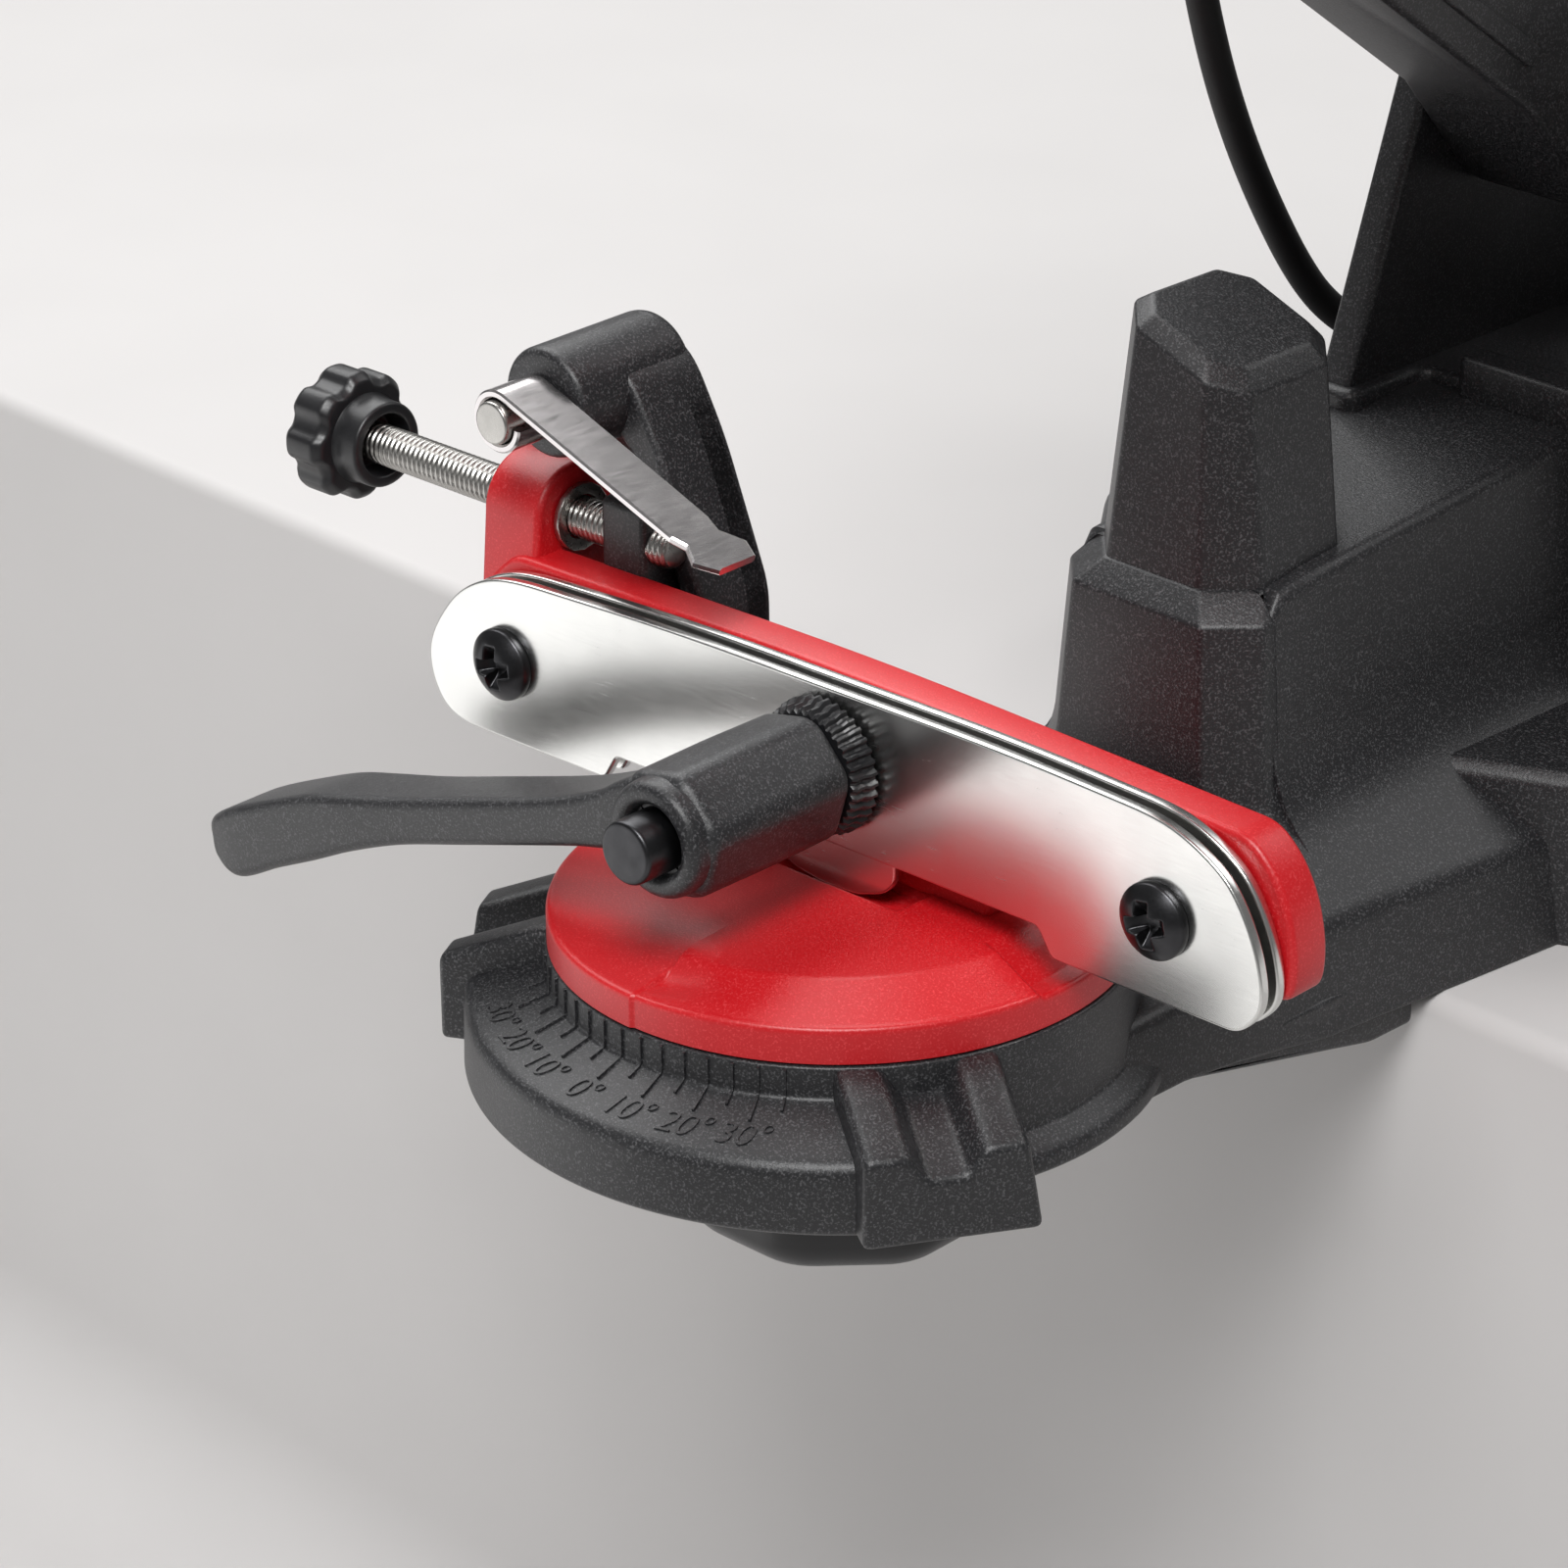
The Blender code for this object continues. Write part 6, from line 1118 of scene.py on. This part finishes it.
# Stop carrier: a barrel round the pin, a web set back behind a rib down its right side, the nut and the foot
pinAxis = (-60.5, 83.0)
carrier = {
    "barrel": 8, "pocket": 3.5, "pocketEnd": 12, "barrelFront": 4.9, "back": 27, "ribFront": 13.6,
    "web": 20.7, "nut": (8.7, 23.7, 55.5, 70), "foot": (-53.7, -38.8, 40, 56),
    "lug": (-53.7, -38.8, 50.4, 56),
    #            x, height, round
    "webLine": [(-54, 39.6, 2.2), (-38.5, 39.6, 2.2), (-38.5, 55.2, 3), (-46.5, 75.6, 4), (-52.6, 86.6, 5),
                (-60.5, 91, 7), (-68.5, 83, 7), (-65, 73.5, 3), (-56, 61, 2.2)],
    "ribLine": [(-42.5, 39.6, 1.7), (-38.5, 39.6, 1.7), (-38.5, 55.2, 3), (-46.5, 75.6, 4), (-52.6, 86.6, 4),
                (-58, 89, 1.7), (-58, 80, 1.7), (-50.5, 73, 3), (-42.5, 53.5, 3)],
}


def carrierShape(c):
    barrel = softLine([(c["pocket"], c["barrelFront"], 0), (c["barrel"], c["barrelFront"], 1.5),
                       (c["barrel"], c["back"], 2.2), (0.01, c["back"], 0)], 6)
    barrel = np.concatenate([[(0.01, c["pocketEnd"]), (c["pocket"], c["pocketEnd"])], barrel])
    return joined(
        lathe(barrel, "Y", pinAxis, 72),
        slab(softPlan(c["webLine"]), c["web"], c["back"], 1.4, "Y"),
        slab(softPlan(c["ribLine"]), c["ribFront"], c["back"] - 0.1, 1.1, "Y"),
        board(rectangle(*c["nut"]), 1.5, -54, -45.5, 1.0, "X"),
        board(rectangle(*c["foot"]), 0.8, 13.8, 20, 0.5, "Y"),
        board(rectangle(*c["lug"]), 0.6, 9.8, 14, 0.35, "Y"))


piece("stop_carrier_moulding", "stop_carrier", carrierShape(carrier), sharp=38, tiny=0.02)
pin = [(0.01, -5.2, 0), (3.1, -5.2, 0.5), (3.1, 24, 0.3), (0.01, 24, 0)]
piece("pawl_pin_rod", "pawl_pin", lathe(softLine(pin), "Y", pinAxis, 48), sharp=45, tiny=0.02)

# Pawl: a strip rolled round the pin. Path = arc round the pin, then a straight run; the section is a soft
# rectangle whose two sides follow their own distances from the middle
pawl = {
    "inner": 3.35, "thick": 1.2, "tip": (-22.1, 64.9), "wrap": 285.0, "corner": 0.28,
    #         share of the straight run, distance from the middle
    "front": [(0, 4.2), (0.80, 4.1), (0.86, 3.3), (0.93, 4.9), (1.0, 2.6)],
    "rear": [(0, 4.2), (0.78, 4.1), (0.85, 3.4), (0.93, 5.3), (1.0, 4.2)],
}


def pawlShape(p):
    run = np.subtract(p["tip"], pinAxis)
    length = np.linalg.norm(run)
    lean = math.atan2(run[1], run[0]) + math.asin(p["inner"] / length)
    direction = np.array([math.cos(lean), math.sin(lean)])
    normal = np.array([-direction[1], direction[0]])
    straight = math.sqrt(length ** 2 - p["inner"] ** 2)
    angle = math.atan2(normal[1], normal[0]) + np.radians(np.linspace(p["wrap"], 0, 56))
    unit = np.stack([np.cos(angle), np.sin(angle)], 1)
    share = np.concatenate([[0.02, 0.1, 0.3, 0.5, 0.7, 0.78], np.linspace(0.80, 1.0, 41)])
    reach = np.outer(share * straight, direction)
    inner, outer = (np.concatenate([pinAxis + unit * d, pinAxis + normal * d + reach])
                    for d in (p["inner"], p["inner"] + p["thick"]))
    along = np.concatenate([np.zeros(len(angle)), share])
    sides = {-1: np.interp(along, *np.array(p["front"]).T), 1: np.interp(along, *np.array(p["rear"]).T)}
    c, k = p["corner"], p["corner"] / p["thick"]
    sheet = []
    for side, back, level in ((-1, c, 0), (-1, 0, k), (-1, 0, 1 - k), (-1, c, 1),
                              (1, c, 1), (1, 0, 1 - k), (1, 0, k), (1, c, 0)):
        x, z = (inner + (outer - inner) * level).T
        sheet.append(stand(x, z, side * (sides[side] - back), "Y"))
    return skin(np.swapaxes(np.array(sheet), 0, 1))


piece("stop_pawl_strip", "stop_pawl", pawlShape(pawl), stainless, sharp=30)

# Lock knob under the seat: eight soft flats
lockKnob = {
    "radius": 23.6, "flats": 8, "soft": 4.5,
    #        inset, height, round
    "side": [(14, -14.5, 0), (12, -17, 1), (2.2, -17, 1.5), (0.2, -14.5, 1.5), (0.6, -5, 1.5), (3, -3, 1.0),
             (8.4, -3, 1.0), (8.8, 2.9, 0.6), (19, 2.9, 0)],
}
corner = math.tau * (np.arange(lockKnob["flats"]) + 0.5) / lockKnob["flats"]
knobPlan = rounded(np.stack([np.cos(corner), np.sin(corner)], 1) * lockKnob["radius"], lockKnob["soft"], 6)
piece("lock_knob_moulding", "lock_knob", stack(knobPlan, softLine(lockKnob["side"])), smoothNylon, sharp=40)
print("stop, adjuster and lock knob made")


# Grinding head. Its barrel, cap and wheel turn about one axis along x, given by reach and height
headAxis = (0.0, 117)

# Motor barrel: radius = R - depth * groove(angle) * length(x), axial cooling grooves with run-out ends
barrel = {"near": 10.3, "far": 88.3, "radius": 31, "inside": 28.5, "grooves": 30, "deep": 1.3, "from": 34,
          "to": 78, "bands": (16, 24), "band": 0.8, "edge": 1.2}


def barrelShape(b):
    angle = turnSteps(b["grooves"] * 12)
    ends = b["edge"] * (1 - np.sin(np.linspace(0, quarter, 5)))
    near, far = b["near"], b["far"]
    x = np.concatenate([near + ends, np.linspace(near + 2, far - 2, 74), far - ends[::-1]])
    groove = 0.5 + 0.5 * np.tanh((np.cos(b["grooves"] * angle) - 0.25) * 3.5)
    bands = sum(band(c - 0.9, c + 0.9, 0.3, x) for c in b["bands"])
    short = np.maximum(b["edge"] - np.minimum(x - near, far - x), 0)
    corner = b["edge"] - np.sqrt(np.maximum(b["edge"] ** 2 - short ** 2, 0))
    r = b["radius"] - b["deep"] * groove * band(b["from"], b["to"], 2, x) - b["band"] * bands - corner
    n = len(angle)
    return revolved(beside(n, r, [b["inside"]] * 2), beside(n, x, [far, near]), angle, "X", headAxis)


piece("motor_barrel", "motor_housing", barrelShape(barrel), sharp=40)

# Motor cap: a shallow dome with slots for the air. Face height = dome - depth * ring(r) * slots(angle)
cap = {"near": 88.5, "far": 100.5, "radius": 31, "flat": 24, "round": 7, "fall": 6.5, "sag": 0.5, "slots": 18,
       "deep": 2.2, "ring": (9, 21), "rebate": 0.7}


def capShape(c):
    angle = turnSteps(c["slots"] * 16)
    r = np.linspace(0.01, c["flat"] - 0.1, 46)
    dome = c["far"] - c["sag"] * (r / c["flat"]) ** 2
    cut = 0.5 + 0.5 * np.tanh((np.cos(c["slots"] * angle) - 0.1) * 4)
    face = dome - c["deep"] * band(*c["ring"], 0.8, r) * cut
    turn = np.linspace(0.06, quarter, 9)
    rebate, near = c["radius"] - c["rebate"], c["near"]
    sideR = [*(c["flat"] + c["round"] * np.sin(turn)), c["radius"], rebate, rebate, 0.01]
    sideX = [*(c["far"] - c["sag"] - c["fall"] * (1 - np.cos(turn))), near + 1.6, near + 1.0, near, near]
    allR, allX = np.concatenate([r, sideR]), beside(len(angle), face, sideX)
    return revolved(allR, allX, angle, "X", headAxis, pointed=True)


piece("motor_cap_slotted", "motor_cap", capShape(cap), sharp=45, tiny=0.02)


# A turned ring with soft outer edges
def ringShape(inner, outer, low, high, soft, centre, steps, softSteps):
    line = softLine([(inner, low, 0), (outer, low, soft), (outer, high, soft), (inner, high, 0)], softSteps)
    return lathe(np.concatenate([line, line[:1]]), "X", centre, steps)


# Wheel: grit edges are never sharp, so its rim has a small round
wheel = {"bore": 11.5, "radius": 54, "half": 1.6, "round": 0.4}
disc = ringShape(wheel["bore"], wheel["radius"], -wheel["half"], wheel["half"], wheel["round"],
                 headAxis, 192, 4)
piece("grinding_wheel_disc", "grinding_wheel", disc, sharp=40)

# Guard: a section of (radius, x) swept from the start to the end angle. The outer faces are height fields:
# face = level + recess * panel(radius) * (1 - rib(angle)), and both ends of the sweep are eased
guard = {
    "start": -24.0, "end": 202.0, "radius": 60, "rim": 57.4, "far": 10, "near": 7, "edge": -11.8, "bore": 11,
    "coverLeft": -14, "coverRight": -12, "coverBore": 10.8, "coverRound": 0.7, "coverEnd": 0.6, "recess": 0.9,
    "ribs": (10, 38, 66, 94, 122, 150, 178), "rib": 1.7, "flank": 0.5, "round": 1.2, "rebate": 0.4,
    "ear": 4.0, "earBore": 1.7, "earOffset": 63.5, "ears": (30, 90, 172), "earEnd": 2.2,
    #          depth below the rim, x
    "grooves": [(0, 4.4), (0.5, 4.1), (0.5, 3.3), (0, 3.0), (0, -8.0), (0.5, -8.3), (0.5, -9.1), (0, -9.4)],
    #          reach, height
    "bridge": [(57, 99.2), (63.8, 99.2), (63.8, 137.8), (54.5, 137.8), (58.2, 125), (59.2, 112)],
    "bridgeHalf": 9, "bridgeEdge": 0.7,
}
earPlaces = [(headAxis[0] + guard["earOffset"] * math.cos(math.radians(a)),
              headAxis[1] + guard["earOffset"] * math.sin(math.radians(a))) for a in guard["ears"]]
socket = {"radius": 3.0, "height": 2.2, "face": -14.05, "key": 2.5, "deep": 3, "around": 48, "shank": 0.55}


# Screw heads with a hexagon socket, on the guard's ears
def socketHead(s, centre):
    angle = turnSteps(s["around"])
    radius, height, key = s["radius"], s["height"], s["key"] / 2
    hexagon = key / np.cos((angle % (math.pi / 3)) - math.pi / 6)
    line = softLine([(radius * s["shank"], -s["deep"], 0), (radius * s["shank"], 0, 0.1), (radius, 0, 0.15),
                     (radius, height, 0.5), (key, height, 0)], 3)[:-1]
    r = beside(s["around"], line[:, 0], hexagon + 0.15, hexagon, hexagon * 0.98, [0.01])
    h = np.concatenate([line[:, 1], [height, height - 0.15, height * 0.3, height * 0.2]])
    return revolved(r, s["face"] - h, angle, "X", centre)


for number, centre in enumerate(earPlaces, 1):
    piece(f"guard_screw_{number}_socket", f"guard_screw_{number}", socketHead(socket, centre), sharp=40)


def guardAngles(g):
    spread = np.linspace(g["start"], g["end"], 227)
    near = (np.array(g["ribs"])[:, None] + np.linspace(-3, 3, 13)).ravel()
    ends = np.array([0.15, 0.3, 0.5])
    return np.unique(np.concatenate([spread, near, g["start"] + ends, g["end"] - ends]).round(3))


def panelField(r, degrees, g, inner, outer):
    panel = ease(inner, inner + 1.4, r) * ease(outer, outer - 1.4, r)
    away = np.min(np.abs(degrees[..., None] - np.array(g["ribs"])), axis=-1)
    across = r * np.sin(np.radians(np.minimum(away, 60)))
    return g["recess"] * panel * ease(g["rib"] - g["flank"], g["rib"] + g["flank"], across)


def coverSheet(g, degrees):
    r = np.concatenate([np.linspace(g["coverBore"], 26, 8), np.linspace(26.5, 54, 30),
                        np.linspace(54.8, g["radius"] - g["coverRound"], 4)])[None]
    turn = np.linspace(0, quarter, 5)[None]
    lift = g["coverEnd"] * ease(0.5, 0.0, np.minimum(degrees - g["start"], g["end"] - degrees))
    face = g["coverLeft"] + panelField(r, degrees, g, 23, 54.5) + lift
    rimR = g["radius"] - g["coverRound"] * (1 - np.sin(turn))
    rimX = g["coverLeft"] + g["coverRound"] * (1 - np.cos(turn)) + lift * (1 - turn / 2)
    n = len(degrees)
    return beside(n, r, rimR, [g["radius"], g["coverBore"]]), beside(n, face, rimX, [g["coverRight"]] * 2)


def housingSheet(g, degrees):
    r = np.concatenate([np.linspace(g["bore"], 32, 6), np.linspace(33, 56, 28),
                        [57, g["radius"] - g["round"]]])[None]
    turn = np.linspace(0, quarter, 6)
    face = g["far"] - panelField(r, degrees, g, 34.5, 55.5)
    groove, grooveX = np.array(g["grooves"]).T
    tailR = [g["radius"], g["radius"] - g["rebate"], g["rim"], g["rim"], g["bore"]]
    tailX = [g["edge"] + g["rebate"], g["edge"], g["edge"], g["near"], g["near"]]
    n = len(degrees)
    return (beside(n, r, g["radius"] - g["round"] * (1 - np.sin(turn)), g["radius"] - groove, tailR),
            beside(n, face, g["far"] - g["round"] * (1 - np.cos(turn)), grooveX, tailX))


def guardShape(g, sheet, low, high):
    degrees = guardAngles(g)[:, None]
    angle = np.radians(degrees)
    r, x = sheet(g, degrees)
    ears = [ringShape(g["earBore"], g["ear"], low, high, 0.3, place, 32, 3) for place in earPlaces]
    return joined(skin(stand(r * np.cos(angle), r * np.sin(angle), x, "X", headAxis)), *ears)


piece("guard_cover_panelled", "guard_cover",
      guardShape(guard, coverSheet, guard["coverLeft"], guard["coverRight"]), sharp=38)
bridge = slab(guard["bridge"], -guard["bridgeHalf"], guard["bridgeHalf"], guard["bridgeEdge"], "X")
piece("guard_housing_panelled", "guard_housing",
      joined(guardShape(guard, housingSheet, guard["edge"], guard["earEnd"]), bridge), sharp=38)

# Grip pad over the handle's back: the handle's ellipse plus a proud height with ribs across it
grip = {
    "x": 50, "half": 15, "deep": 17.5, "rise": 14, "proud": 0.7, "sunk": 0.6, "edge": 1.2, "rib": 0.45,
    "pitch": 4, "from": 44, "to": 86, "low": 12.0, "high": 168.0,
    #            place along the handle, share of its size, share of its rise
    "stations": [(22, 1.15, 0.0), (37, 1.0, 0.25), (57.6, 0.88, 0.6), (81.6, 1.0, 0.85), (93.1, 0.92, 0.97),
                 (96, 0.7, 1.0)],
}


def gripPad(g):
    along = np.linspace(g["from"], g["to"], 150)[:, None]
    angle = np.radians(np.linspace(g["low"], g["high"], 56))[None]
    station, share, lift = np.array(g["stations"]).T
    size = np.interp(along, station, share)
    rise = np.interp(along, station, lift) * g["rise"]
    edge = np.minimum(np.minimum(along - g["from"], g["to"] - along),
                      np.minimum(angle - angle.min(), angle.max() - angle) * g["half"]) / g["edge"]
    soft = np.sqrt(np.clip(1 - (1 - np.clip(edge, 0, 1)) ** 2, 0, 1))
    ribs = 0.5 + 0.5 * np.tanh(3 * np.cos(math.tau * along / g["pitch"]))
    out = g["proud"] * soft - g["rib"] * ribs * np.clip(edge - 1.2, 0, 1)
    outer, inner = (stand(g["x"] + (g["half"] * size + extra) * np.cos(angle),
                          headAxis[1] + rise + (g["deep"] * size + extra) * np.sin(angle), -along, "Y")
                    for extra in (out, -g["sunk"]))
    return skin(np.concatenate([outer, inner[:, ::-1]], 1))


piece("handle_grip_pad", "handle", gripPad(grip), softRubber, sharp=40)

# Depth screw: knurled head on a threaded shank, through the arm from above
depthScrew = {"axis": (0.0, 74), "low": 93, "head": 145.8, "radius": 2.5, "pitch": 0.8, "deep": 0.26,
              "tip": 1.0, "perPitch": 6, "around": 20, "knurls": 24, "knurlDeep": 0.035}


def depthShape(s):
    head = s["head"]
    z = np.arange(s["low"] * mm, (head + 0.4) * mm, s["pitch"] * mm / s["perPitch"])[:, None] / mm
    angle = turnSteps(s["around"]).T
    r = s["radius"] - s["tip"] * (1 - np.clip((z - s["low"]) / s["tip"], 0, 1))
    r = threadRadius(r, z, angle, s)
    shank = skin(stand(r * np.cos(angle), r * np.sin(angle), z, "Z", s["axis"]))
    line = softLine([(0.01, head, 0), (5.2, head, 0.3), (6.7, head + 1.0, 0.3), (6.7, head + 6.8, 0.3),
                     (5.4, head + 8, 0.6), (0.01, head + 8, 0)], 3)
    knurl = lathe(line, "Z", s["axis"], s["knurls"] * 8,
                  lambda a: 1 - s["knurlDeep"] * (0.5 + 0.5 * np.tanh(2 * np.cos(s["knurls"] * a))))
    return joined(shank, knurl)


piece("depth_screw_threaded", "depth_screw", depthShape(depthScrew), sharp=60, tiny=0.02)

# Stiffening ribs on the arm's two sides, clear of the ears
armRibs = {"reach": (68, 122), "lows": (101.5, 127.0), "high": 3.4, "spans": ((-14.5, -13), (10.4, 11.8))}
ribs = [board(rectangle(*armRibs["reach"], low, low + armRibs["high"]), 1.2, *span, 0.6, "X")
        for low in armRibs["lows"] for span in armRibs["spans"]]
piece("tilt_arm_ribs", "tilt_arm", joined(*ribs), sharp=38)

# Return spring: a helix of round wire beside the arm, on the pivot
spring = {"turns": 3, "radius": 9.8, "wire": 1.1, "from": 12.5, "room": 10.0, "perTurn": 30}
turn = np.linspace(0, math.tau * spring["turns"], spring["perTurn"] * spring["turns"] + 1)
coil = np.stack([spring["from"] + spring["room"] * turn / turn[-1],
                 places["pivotReach"] + spring["radius"] * np.cos(turn),
                 places["pivotHeight"] + spring["radius"] * np.sin(turn)], 1)
piece("return_spring_coil", "return_spring", tube(coil, spring["wire"], 14), sharp=60)

# Battery pack: raised grip ribs on both sides and a panel on the back, on the CAD body with rolled edges
pack = {"half": 37, "back": 260.6, "ribs": range(48, 84, 7), "rib": 3, "reach": (222, 252), "proud": 0.9,
        "round": 1.3, "edge": 0.7, "panel": (-26, 26, 42, 104), "panelRound": 4, "panelProud": 0.8}
spans = ((pack["half"] - 1, pack["half"] + pack["proud"]), (-pack["half"] - pack["proud"], -pack["half"] + 1))
packRibs = [board(rectangle(*pack["reach"], z, z + pack["rib"]), pack["round"], *span, pack["edge"], "X")
            for z in pack["ribs"] for span in spans]
panel = board(rectangle(*pack["panel"]), pack["panelRound"], pack["back"] - 1,
              pack["back"] + pack["panelProud"], pack["edge"], "Y")
piece("battery_pack_grips", "battery_pack", joined(*packRibs, panel), smoothNylon, sharp=38)

# Parts that keep their CAD shape, with their edges rolled by a width
easedParts = {
    "tilt_arm": 1.2, "handle": 1.0, "trigger": 0.8, "flange_inner": 0.3, "flange_outer": 0.3,
    "arbor_nut": 0.4, "arbor": 0.4, "front_bearing": 0.3, "bearing_carrier": 0.4, "motor": 0.4,
    "depth_lock_nut": 0.4, "cable_gland_head": 0.4, "cable_gland_base": 0.4, "pivot_shaft": 0.4,
    "pivot_nut": 0.5, "battery_dock": 0.8, "battery_pack": 1.2, "battery_button": 0.7, "terminal_block": 0.3,
    "base_plate": 0.4, **{f"base_screw_{number}": 0.2 for number in range(1, 5)}, "swivel_bolt": 0.3,
    "swivel_washer": 0.25, "screw_clip_outer": 0.15, "screw_clip_inner": 0.15,
}
for node, width in easedParts.items():
    eased(node, width)
print("head made")


# What is left of the CAD model keeps its shape and takes its real finish
for node, slot in slots.items():
    kept = nodes[node]
    if not kept.hide_render:
        kept.data.materials.clear()
        kept.data.materials.append(finishes[slot])
        print("kept CAD node:", node)
